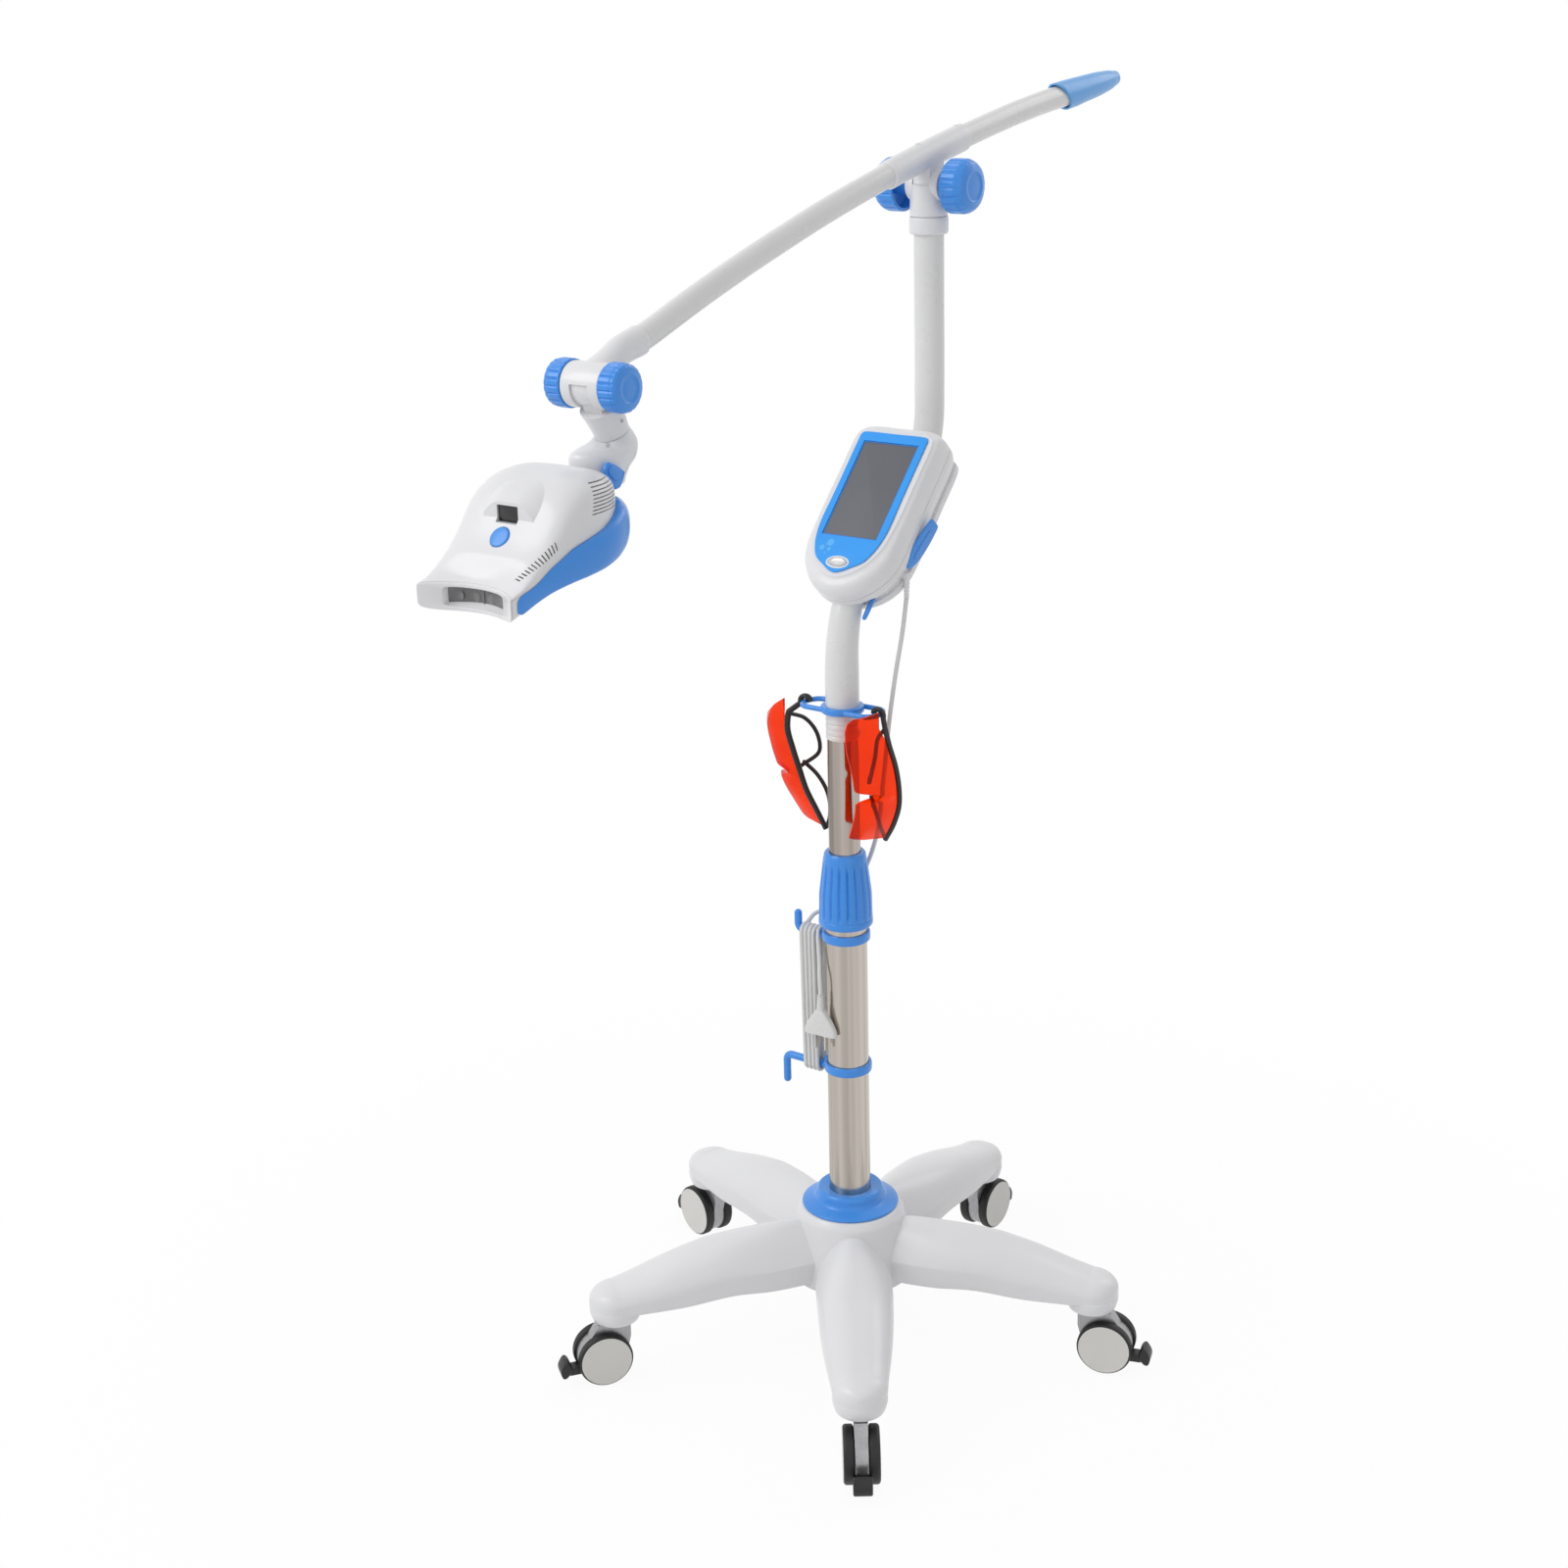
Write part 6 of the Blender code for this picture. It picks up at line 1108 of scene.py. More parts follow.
def arm_socket():
    """A sleeve lofted down from the arm to a drum across it, with room cut for the yoke's disc and its swing."""
    ahead = np.array((0, math.cos(SOCKET_SLOPE), math.sin(SOCKET_SLOPE)))
    over = np.array((0, -math.sin(SOCKET_SLOPE), math.cos(SOCKET_SLOPE)))
    centre = np.array((0, JOINT_Y, JOINT_Z))
    a = full_turn(64)
    rings = [centre + d * ahead + np.outer(w * np.cos(a), (1, 0, 0)) + np.outer(h * np.sin(a), over)
             for d, w, h in ((0.004, 0.0195, 0.0195), (0.014, 0.0180, 0.0185), (0.025, 0.0155, 0.0172))]
    rings += list(arm_rings([-0.338, -0.308], ARM_HALF[0] + 0.0022, ARM_HALF[1] + 0.0018))
    end = arm_rings([-0.3072, -0.3070], np.array((0.0122, 0.0110)), np.array((0.0135, 0.0124)))
    sleeve = grid(np.concatenate([loft(rings, 44), end]), caps=(True, True))
    disc = cross_rod(JOINT_Y, JOINT_Z, FORK_SLOT, 0.0190)
    slot = place(block((-FORK_SLOT, -0.030, -0.040), (FORK_SLOT, 0.0165, 0.0120)), centre, (1, 0, 0), ahead, over)
    body = carved("socket", sleeve, [disc, slot], [cross_rod(JOINT_Y, JOINT_Z, JOINT_HALF, JOINT_R, 0.0014)])
    piece("arm_front_socket", body, WHITE, "arm", ("arm_socket",))
    screw = screw_head((0, -0.3300, 1.1480 + 0.0134), (0, -0.30, 1), 0.0004, (0.0020, 0.0007), (0.0024, -0.0006))
    piece("socket_screw", screw, PLATED, "arm", ())


def head_joint():
    """Two knobs, and the yoke: a waisted neck turned about its slanting axis, with a tongue up into the socket."""
    centre = np.array((0, JOINT_Y, JOINT_Z))
    for side, name in ((-1, "left"), (1, "right")):
        form = knob(side, 0.0415, 0.02175, 0.0145, 0.0216, 0.0090, JOINT_HALF + GAP, (JOINT_Y, JOINT_Z))
        piece(name + "_head_knob", form, BLUE, "head_knob_" + name, ("head_knob_" + name,), sharp=40)
    (start, wide), (end, narrow) = NECK
    s = np.linspace(start, end, 22)
    waist = np.interp(s, (start, end), (wide, narrow)) - 0.0006 * np.sin(np.pi * (s - start) / (end - start))
    rows = [(0.0005, start), *zip(waist, s), (narrow - 0.0007, end), (0.0005, end)]
    neck = turned(rounded(rows, 0.0007, 3), centre, YOKE_AXIS, 96)
    tongue = strap(-TONGUE, TONGUE, (JOINT_Y, JOINT_Z), 0.0182, YOKE_AXIS[1:], start + 0.002, 0.0120)
    screw = screw_head(centre + YOKE_AXIS * 0.036 + np.array((0.0175, 0.0, 0.0)), (1, 0, 0), 0.0004,
                       (0.0016, 0.0005), (0.0018, -0.0008))
    piece("yoke_neck", join(neck, tongue), WHITE, "yoke", ("yoke",))
    piece("yoke_screw", screw, FENDER, "yoke", ())


def elbow():
    """Ovals whose front and rear points turn forwards, lofted; they end in the lamp head's hinge barrel."""
    end, narrow = NECK[1]
    start = np.array((0, JOINT_Y, JOINT_Z)) + YOKE_AXIS * (end + GAP)
    side = np.array((-YOKE_AXIS[2], YOKE_AXIS[1]))
    first = sorted((tuple(start[1:] - side * narrow), tuple(start[1:] + side * narrow)))
    stations = ((*first, narrow), ((-0.3740, 1.0705), (-0.3255, 1.0730), 0.0190),
                ((-0.3900, 1.0690), (-0.3265, 1.0570), 0.0220), ((-0.4000, 1.0645), (-0.3385, 1.0455), 0.0222),
                ((-0.4005, 1.0590), (-0.3425, 1.0400), 0.0220), ((-0.3995, 1.0535), (-0.3455, 1.0340), 0.0214))
    a = full_turn(72)
    rings = []
    for front, rear, half in stations:
        front, rear = np.array((0, *front)), np.array((0, *rear))
        rings.append((front + rear) / 2 + np.outer(np.cos(a), (front - rear) / 2)
                     + np.outer(half * np.sin(a), (1, 0, 0)))
    rows = loft(rings, 50)
    middle = rows.mean(1, keepdims=True)
    rim = [middle[0] + (rows[0] - middle[0]) * 0.955, rows[0] + (rows[1] - rows[0]) * 0.7]
    foot = [middle[-1] + (rows[-1] - middle[-1]) * f + np.array((0, -0.0006, -0.0010)) * k
            for k, f in enumerate((0.985, 0.95, 0.90), 1)]
    rows = np.concatenate([rim, rows[1:], foot])
    form = join(grid(rows, caps=(True, True)), cross_rod(HINGE_Y, HINGE_Z, BARREL_HALF, BARREL_R))
    piece("elbow_shell", form, WHITE, "elbow", ("elbow",))
    screw = screw_head((0.0155, -0.3745, 1.0730), (0.72, -0.62, 0.25), 0.0002, (0.0018, 0.0003), (0.0021, -0.0008))
    piece("elbow_screw", screw, FENDER, "elbow", ())


def wing_lever():
    """A hub, a wing with a raised lobe on it, and the pin through the hinge, all about the head's tilt axis."""
    outline = loop_path(((-0.0160, 0.0130), (-0.0085, 0.0155), (0.0065, 0.0068), (0.0092, 0.0030), (0.0040, -0.0065),
                         (0.0000, -0.0090), (-0.0068, -0.0078), (-0.0165, 0.0048)), 8)
    wing = slab(outline, 0.0229, 0.0276, 0.0020, 6)
    ridge = slab(loop_path(((-0.0140, 0.0105), (-0.0085, 0.0128), (0.0020, 0.0060), (0.0, 0.0), (-0.0060, -0.0010),
                            (-0.0135, 0.0060)), 8), 0.0268, 0.0290, 0.0014, 5)
    hub = turned(rounded(((0.0005, BARREL_HALF + 0.0043), (0.0088, BARREL_HALF + 0.0043), (0.0088, 0.0240),
                          (0.0005, 0.0240)), 0.0010), (0, 0, 0), (0, 0, 1), 64)
    pin = turned(((0.0005, -0.0180), (0.0028, -0.0180), (0.0028, 0.0200), (0.0005, 0.0200)), steps=32)
    piece("head_wing_lever", place(join(wing, ridge, hub, pin), (0, HINGE_Y, HINGE_Z), **ACROSS_X), BLUE,
          "wing_lever", ("wing_lever",), sharp=40)


# Lamp head

# Stations along y: half width, underside, low edge, high edge and top of the sections
HEAD_STATIONS = np.array((
    (-0.551, 0.0530, 0.9555, 0.9590, 0.9770, 0.9802), (-0.538, 0.0536, 0.9600, 0.9635, 0.9795, 0.9850),
    (-0.520, 0.0545, 0.9665, 0.9697, 0.9850, 0.9985), (-0.502, 0.0558, 0.9710, 0.9745, 0.9950, 1.0150),
    (-0.4915, 0.0572, 0.9733, 0.9765, 1.0000, 1.0280), (-0.480, 0.0590, 0.9755, 0.9785, 1.0060, 1.0430),
    (-0.460, 0.0612, 0.9785, 0.9810, 1.0120, 1.0570), (-0.440, 0.0608, 0.9815, 0.9840, 1.0170, 1.0620),
    (-0.420, 0.0555, 0.9860, 0.9885, 1.0240, 1.0620), (-0.405, 0.0465, 0.9910, 0.9935, 1.0300, 1.0570),
    (-0.393, 0.0325, 0.9970, 0.9990, 1.0310, 1.0480), (-0.386, 0.0190, 1.0030, 1.0050, 1.0310, 1.0400),
    (-0.383, 0.0060, 1.0070, 1.0100, 1.0300, 1.0330)))
HEAD_LIP = HEAD_STATIONS[0, 0]      # where the stations start
HEAD_FRONT = -0.5490                # where the shells start, behind the mouth's rim
HEAD_BEND_Y, HEAD_BEND_R = -0.402, 0.019    # behind this the rows crowd together round the rear
HEAD_WALL = 0.0025
KEEL_POWER = 4.5        # the lower corners' superellipse
KEEL_RISE = 0.0080      # how far above the low edge it starts
MOUTH_DISH = 0.019      # how far the mouth's middle stands back
LIP_RUN, LIP_HALF = 0.035, 0.052        # over this run the rows straighten, and over this half width they curve
LED_DEPTH = 0.0066
MOUTH_HALF = 0.0340
MOUTH_LOW, MOUTH_HIGH = 0.9592, 0.9762
DISPLAY_Y = -0.4905
BUTTON_AT = np.array((0, -0.5022, 1.0150))
BUTTON_NORMAL = unit((0, -0.750, 0.661))
HEAD_BUTTON_R = 0.0098


def head_row(y):
    """Half width, underside, low edge, high edge and top at y, each with a trailing axis."""
    return [smooth(HEAD_STATIONS[:, 0], HEAD_STATIONS[:, k], y)[..., None] for k in range(1, 6)]


def front_push(x, y):
    """The first rows stand back in their middle, so that the mouth is dished."""
    share = np.clip(1 - (y - HEAD_LIP) / LIP_RUN, 0, 1)
    return MOUTH_DISH * share * (1 - (x / LIP_HALF) ** 2)


def superellipse(t, power):
    """Cosine and sine stretched out to a superellipse of unit size in the direction t."""
    c, s = np.cos(t), np.sin(t)
    reach = (np.abs(c) ** power + np.abs(s) ** power) ** (-1 / power)
    return reach * c, reach * s


def upper_points(y, t, inset=0.0):
    """The head's upper surface: over each y, half a superellipse of power 4 from the high edge up to the top."""
    half, _, _, high, top = head_row(y)
    c, s = superellipse(t, 4)
    x = (half - inset) * c
    z = high + (top - high - inset) * s
    yy = np.broadcast_to(y[:, None], x.shape)
    return np.stack([x, yy + front_push(x, yy), z], -1)


def lower_points(y, t, inset=0.0):
    """The lower surface: upright sides and a bottom with tight corners, as t runs from the right edge to the left."""
    half, bottom, low, high, _ = head_row(y)
    c, s = superellipse(t, KEEL_POWER)
    level = np.minimum(low + KEEL_RISE, high - 0.0020)
    x = (half - inset) * c
    z = level - (level - bottom - inset) * s
    edge = np.clip((0.12 - np.abs(np.sin(t))) / 0.12, 0, 1)
    z = z + edge * (high - GAP - level)
    yy = np.broadcast_to(y[:, None], x.shape)
    return np.stack([x, yy + front_push(x, yy), z], -1)


def rear_ys(start):
    """Rows whose distances shrink with the sine towards the rear."""
    return HEAD_BEND_Y + HEAD_BEND_R * np.sin(np.linspace(start, math.pi / 2, 26))


def head_ys():
    """The shells' rows: even ones, and then those of the rear."""
    return np.r_[np.linspace(HEAD_FRONT, HEAD_BEND_Y, 84), rear_ys(0.05)]


def visor():
    """The hood over the display: from an upright front face it widens and then sinks into the dome."""
    stations = ((DISPLAY_Y - 0.0005, 0.0300, 1.0190, 0.0165, 1.0425),
                (DISPLAY_Y + 0.0100, 0.0360, 1.0270, 0.0200, 1.0503),
                (DISPLAY_Y + 0.0310, 0.0340, 1.0430, 0.0220, 1.0572))
    rings = []
    for y, foot_half, foot, top_half, top in stations:
        tall = top - foot
        side = np.array(((foot_half, foot), (foot_half * 0.94, foot + tall * 0.40),
                         (top_half * 1.12, top - tall * 0.14), (top_half * 0.75, top - 0.0006), (0, top + 0.0002)))
        half = smooth_path(side, 30)
        rows = np.vstack([half, half[-2::-1] * (-1, 1)])
        rings.append(np.stack([rows[:, 0], np.full(len(rows), y), rows[:, 1]], 1))
    return grid(loft(rings, 26), caps=(True, True))


def vent_cutters():
    """Thirteen short slots along the front right shoulder, and louvres cut level round the rear right one."""
    slots = []
    slit = slab(oblong((-0.0036, -0.00062), (0.0036, 0.00062), 0.0005), -0.0045, 0.0030, 0.0001)
    for share in np.linspace(0, 1, 13):
        y = np.array([-0.5310 + 0.0365 * share])
        t = math.radians(50 - 22 * share)
        here, beyond, back = (upper_points(y + dy, np.array([t + dt]))[0, 0]
                              for dy, dt in ((0, 0), (0, 0.02), (0.0005, 0)))
        length = unit(beyond - here)
        normal = unit(np.cross(back - here, beyond - here))
        slots.append(place(slit, here, length, np.cross(normal, length), normal))
    for k in range(9):
        z = 1.0312 + 0.0030 * k
        start, end = -0.4530 + 0.0012 * k, -0.4130 + 0.0016 * k
        slots.append(block((0.012, start, z - 0.00050), (0.075, end, z + 0.00050), 0.0001))
    return join(*slots)


def lamp_head():
    """Two walled shells, the upper one with its hood and hinge lugs and cut for vents, button and display."""
    ys = head_ys()
    t = np.linspace(0, math.pi, 121)
    shell = walled(upper_points(ys, t), upper_points(ys, t, HEAD_WALL))
    lug_start = BARREL_HALF + GAP + 0.0001
    lugs = [strap(low, low + 0.0037, np.array((HINGE_Y, HINGE_Z)), 0.0110, (-0.90, -0.15), 0.0240, 0.0085)
            for low in (-lug_start - 0.0037, lug_start)]
    hole = turned(((0.0005, -0.0120), (HEAD_BUTTON_R + 0.0003, -0.0120), (HEAD_BUTTON_R + 0.0003, 0.0120),
                   (0.0005, 0.0120)), BUTTON_AT, BUTTON_NORMAL, 72)
    window = place(slab(oblong((-0.0118, 1.0250), (0.0118, 1.0398), 0.0006), 0.0040, 0.0250, 0.0001),
                   (0, DISPLAY_Y + 0.0093, 0), **FRONT_ON)
    cutters = [cross_rod(HINGE_Y, HINGE_Z, BARREL_HALF + GAP, BARREL_R + 0.0008), join(hole, window), vent_cutters()]
    top = carved("head_top", shell, cutters, [visor(), *lugs])
    piece("head_dome", top, WHITE, "lamp_head", ("head_top_shell",), sharp=30)

    low = walled(lower_points(ys, t)[:, ::-1], lower_points(ys, t, HEAD_WALL)[:, ::-1])
    piece("head_keel", low, WHITE, "lamp_head", ("head_bottom_shell",), sharp=40)
    mouth()
    trim()

    panel = place(slab(oblong((-0.0115, 1.0253), (0.0115, 1.0395), 0.0008), 0.0, 0.0045, 0.0005),
                  (0, DISPLAY_Y + 0.0055, 0), **FRONT_ON)
    piece("head_display", panel, DARK_GLASS, "lamp_head", ("display_window",))
    cap = turned(rounded(((0.0005, -0.0085), (HEAD_BUTTON_R + 0.0015, -0.0085), (HEAD_BUTTON_R + 0.0015, -0.0055),
                          (HEAD_BUTTON_R, -0.0055), (HEAD_BUTTON_R, 0.0006), (HEAD_BUTTON_R - 0.0012, 0.0013),
                          (0.0060, 0.0015), (0.0005, 0.0016)), 0.0007), BUTTON_AT, BUTTON_NORMAL, 96)
    piece("head_start_button", cap, BLUE, "head_button", ("head_button",))


def mouth():
    """The mouth's dished rim: rounded over its outer edge, with a wide oblong opening that leads in to the lens."""
    t = np.linspace(0, 2 * math.pi, 192, endpoint=False)
    half, bottom, low, high, top = (value.item() for value in head_row(np.array([HEAD_LIP])))
    level = low + KEEL_RISE
    cu, su = superellipse(t, 4)
    cl, sl = superellipse(t, KEEL_POWER)
    upper = np.sin(t) >= 0
    co, so = superellipse(t, 9)
    centre, tall = (MOUTH_LOW + MOUTH_HIGH) / 2, (MOUTH_HIGH - MOUTH_LOW) / 2
    rows = []
    for shrink, y in ((0.0026, 0.0120), (0.0004, 0.0024), (0.0000, 0.0014), (0.0004, 0.0004), (0.0013, 0.0),
                      (0.0022, 0.0)):
        x = np.where(upper, (half - shrink) * cu, (half - shrink) * cl)
        z = np.where(upper, high + (top - high - shrink) * su, level + (level - bottom - shrink) * sl)
        rows.append(np.stack([x, np.full(len(t), y), z], 1))
    for grow, y in ((0.0008, 0.0001), (0.0, 0.0010), (-0.0003, 0.0120), (0.0010, 0.0120)):
        rows.append(np.stack([(MOUTH_HALF + grow) * co, np.full(len(t), y), centre + (tall + grow) * so], 1))
    rings = np.array(rows)
    rings[..., 1] += HEAD_LIP - 0.0006 + front_push(rings[..., 0], HEAD_LIP)
    piece("mouth_rim", grid(rings, round_u=True), WHITE, "lamp_head", ())

    x = np.linspace(-MOUTH_HALF + 0.0002, MOUTH_HALF - 0.0002, 60)[:, None]
    z = np.linspace(MOUTH_LOW + 0.0002, MOUTH_HIGH - 0.0002, 8)[None]
    sheet = [np.stack(np.broadcast_arrays(x, HEAD_LIP + depth + front_push(x, HEAD_LIP), z), -1)
             for depth in (0.0065, 0.0080)]
    piece("mouth_lens", walled(*sheet), SMOKED, "lamp_head", ("led_lens",))
    forms = []
    for x in (-0.024, -0.0085, 0.0085, 0.024):
        y = HEAD_LIP + LED_DEPTH + float(front_push(x, HEAD_LIP))
        forms.append(turned(rounded(((0.0003, 0.0), (0.0044, 0.0), (0.0040, 0.0003), (0.0018, 0.0006),
                                     (0.0003, 0.0007)), 0.0002), (x, y, centre), (0, -1, 0), 48))
    y = HEAD_LIP + LED_DEPTH + MOUTH_DISH
    forms.append(block((-0.0006, y - 0.0010, MOUTH_LOW + 0.0004), (0.0006, y, MOUTH_HIGH - 0.0004), 0.0002))
    piece("mouth_leds", join(*forms), SMOKED_PALE, "lamp_head", ())


def trim():
    """A band outside the sides and the rear, lens-shaped in section and thickest behind, with rounded front ends."""
    ys = np.r_[-0.5440 + 0.0075 * (1 - np.cos(np.linspace(0.1, math.pi / 2, 12))),
               np.linspace(-0.5350, HEAD_BEND_Y, 70), rear_ys(0.04)]
    half, _, low, high, _ = (value[:, 0] for value in head_row(ys))
    end = np.sqrt(np.clip(1 - (1 - np.clip((ys + 0.5442) / 0.0080, 0, 1)) ** 2, 0, 1))
    right = np.stack([half, ys, low, high, end], 1)
    tip = np.array(((0.0, -0.3822, 1.0110, 1.0290, 1.0),))
    line = np.vstack([right, tip, right[::-1] * (-1, 1, 1, 1, 1)])
    plan = line[:, :2]
    ahead = unit(np.gradient(plan, axis=0))
    away = np.stack([ahead[:, 1], -ahead[:, 0]], 1)
    rear = np.clip((line[:, 1] + 0.545) / 0.16, 0, 1)
    bulge = (0.0016 + 0.0128 * rear ** 2) * line[:, 4]
    middle = (line[:, 2] + line[:, 3]) / 2
    tall = (line[:, 3] - line[:, 2]) / 2 * (0.25 + 0.75 * line[:, 4])
    a = np.linspace(-math.pi / 2, math.pi / 2, 33)
    swell = np.abs(np.cos(a)) ** 0.62
    out = np.r_[swell, np.full(9, -0.02)]
    up = np.r_[np.sin(a), np.linspace(0.98, -0.98, 9)]
    reach = 0.0004 + bulge[:, None] * out[None]
    points = np.stack([plan[:, :1] + away[:, :1] * reach, plan[:, 1:] + away[:, 1:] * reach,
                       middle[:, None] + tall[:, None] * up[None]], -1)
    room = cross_rod(HINGE_Y, HINGE_Z, BARREL_HALF + 0.0048, BARREL_R + 0.0008)
    band = carved("trim", grid(points, caps=(True, True)), [room], [])
    piece("head_band", band, BLUE, "lamp_head", ("head_trim",), sharp=40)


# Control box, drawn in its own axes: x to its right, y up its face, z out of its face

BOX_CENTRE = (0, 0.0575, 0.9516)
BOX_SLOPE = math.radians(45.8)
BOX_FRONT = ((0, 0.0745), (0.030, 0.0745), (0.0415, 0.071), (0.0475, 0.061), (0.0478, 0.020), (0.0475, -0.030),
             (0.0440, -0.063), (0.034, -0.084), (0.018, -0.0985), (0, -0.1045))
BOX_MIDDLE = ((0, 0.083), (0.032, 0.083), (0.046, 0.079), (0.0525, 0.068), (0.0535, 0.020), (0.0545, -0.032),
              (0.0530, -0.072), (0.0420, -0.096), (0.023, -0.1125), (0, -0.1185))
BOX_REAR = ((0, 0.080), (0.031, 0.080), (0.044, 0.076), (0.0500, 0.066), (0.0505, 0.020), (0.0510, -0.030),
            (0.0490, -0.066), (0.039, -0.088), (0.0215, -0.102), (0, -0.107))
BEZEL = ((0, 0.069), (0.0345, 0.069), (0.0405, 0.0655), (0.0412, 0.058), (0.0412, 0.0), (0.0410, -0.050),
         (0.0320, -0.0795), (0.0170, -0.092), (0, -0.0996))
BOX_LEVEL = -0.020      # the height on the face towards which its outlines are drawn in
BOX_GUIDE = 2           # the outline point along which the shells' rings are spaced
LCD_HALF = (0.0332, 0.0575)
POWER_HALF = (0.0110, 0.0050)
POWER_RING = (0.0140, 0.0075)
POWER_Y = -0.088
GRIP_AT = (-0.0325, -0.0410)        # a grip's middle: place up the face, and depth under it
GRIP_X, GRIP_LEAN = 0.0599, 0.15
DROP_THICK = 0.00012
FILM_TOP = 0.0018
LOOP_CENTRE = (0.0255, -0.1105, -0.0455)
LOOP_HALF = (0.0065, 0.0115)
LOOP_LEAN = (0.643, 0.766)
LOOP_R = 0.0022


def to_box(form):
    """A form moved from the box's own axes, which lean back by its slope, to where the box stands."""
    c, s = math.cos(BOX_SLOPE), math.sin(BOX_SLOPE)
    return place(form, BOX_CENTRE, (1, 0, 0), (0, c, s), (0, -s, c))


def box_ring(half, depth, shrink=0.0, share=1.0, other=None):
    """A closed smooth ring from a half outline, drawn in by shrink towards the box's level line."""
    half = np.array(half, float)
    if other is not None:
        half = np.array(other, float) * (1 - share) + half * share
    wide, tall = half[:, 0].max(), np.ptp(half[:, 1]) / 2
    x = half[:, 0] * (1 - shrink / wide)
    y = BOX_LEVEL + (half[:, 1] - BOX_LEVEL) * (1 - shrink / tall)
    return lifted(loop_path(both_sides(np.stack([x, y], 1)), 9), -depth)


def box_shells():
    """Outlines at their depths, lofted: the front shell to the seam, and the rear one from it to the back plate."""
    front = loft([box_ring(BOX_FRONT, 0.0, 0.0006), box_ring(BOX_FRONT, 0.0010),
                  box_ring(BOX_MIDDLE, 0.0045, 0, 0.6, BOX_FRONT), box_ring(BOX_MIDDLE, 0.0135, 0.0002),
                  box_ring(BOX_MIDDLE, 0.0250)], 30, BOX_GUIDE)
    front = np.concatenate([[box_ring(BOX_FRONT, 0.0, 0.0200), box_ring(BOX_FRONT, 0.0, 0.0030)], front,
                            [box_ring(BOX_MIDDLE, 0.0257, 0.0003), box_ring(BOX_MIDDLE, 0.0260, 0.0010),
                             box_ring(BOX_MIDDLE, 0.0260, 0.0200)]])
    piece("box_face_shell", to_box(grid(front, caps=(True, True))), WHITE, "mast", ("box_front_shell",),
          sharp=35)
    rear = loft([box_ring(BOX_MIDDLE, 0.0270), box_ring(BOX_MIDDLE, 0.0330, 0.0001),
                 box_ring(BOX_REAR, 0.0390, 0, 0.5, BOX_MIDDLE), box_ring(BOX_REAR, 0.0447)], 24, BOX_GUIDE)
    tail = [box_ring(BOX_REAR, depth, shrink) for depth, shrink in
            ((0.0452, 0.0006), (0.0455, 0.0030), (0.0510, 0.0030), (0.0513, 0.0006), (0.0518, 0.0), (0.0575, 0.0),
             (0.0592, 0.0005), (0.0604, 0.0018), (0.0610, 0.0040), (0.0610, 0.0200))]
    lead = [box_ring(BOX_MIDDLE, depth, shrink)
            for depth, shrink in ((0.0263, 0.0200), (0.0263, 0.0010), (0.0266, 0.0003))]
    back = to_box(grid(np.concatenate([lead, rear, tail]), caps=(True, True)))
    piece("box_back_shell", join(back, *cord_gland()), WHITE, "mast", ("box_rear_shell",), sharp=35)


def cord_gland():
    """A ribbed sleeve that narrows along the cord, and the round boss that it grows out of."""
    gland_way = np.array(GLAND_END) - GLAND_TOP
    run = float(np.linalg.norm(gland_way))
    rows = [(0.0005, -0.0010), (0.0034, -0.0010), (0.0035, 0.002)]
    rows += [(0.0035 - 0.0008 * s / run - (0.0005 if (k // 3) % 2 else 0.0), s)
             for k, s in enumerate(np.linspace(0.004, run - 0.002, 28))]
    rows += [(0.0027, run - 0.001), (0.0026, run), (0.0005, run)]
    boss = [(x, *GLAND_TOP[1:]) for x in (0.0430, 0.0480, GLAND_TOP[0] + 0.0016)]
    return turned(rows, GLAND_TOP, gland_way, 40), rod_along(boss, 0.0040, 32)


def bezel():
    """The blue film, between its outline and the display's edge on rays from the display's centre, and its print."""
    outline = loop_path(both_sides(np.array(BEZEL)), 9)
    reach = 1 / np.maximum(np.abs(outline[:, 0]) / (LCD_HALF[0] + GAP), np.abs(outline[:, 1]) / (LCD_HALF[1] + GAP))
    hole = outline * np.minimum(reach, 0.995)[:, None]
    toward = unit(hole - outline)
    rows = [(outline + toward * draw, z)
            for draw, z in ((0.0005, 0.0003), (0.0, 0.0007), (0.0001, 0.0014), (0.0005, FILM_TOP))]
    rows += [(hole, FILM_TOP), (hole, 0.0003)]
    rings = [lifted(loop, z) for loop, z in rows]
    piece("face_film", to_box(grid(np.array(rings), round_u=True)), BEZEL_BLUE, "mast", ("box_bezel",))
    drops = [turned(rounded(((0.0003, 0.0), (r, 0.0), (r - 0.0002, DROP_THICK), (0.0003, DROP_THICK)), 0.0001, 3),
                    (x, y, 0.00181), (0, 0, 1), 48)
             for x, y, r in ((-0.0180, -0.0665, 0.0042), (-0.0255, -0.0735, 0.0030), (-0.0165, -0.0745, 0.0024),
                             (-0.0215, -0.0690, 0.0014), (-0.0200, -0.0790, 0.0013))]
    streak = ((-0.0290, -0.0830), (-0.0286, -0.0832), (-0.0175, -0.0688), (-0.0179, -0.0686))
    drops.append(slab(rounded_loop(streak, 0.0001), FILM_TOP, 0.00195, 0.00005))
    piece("film_droplets", to_box(join(*drops)), BLUE_PALE, "mast", ())


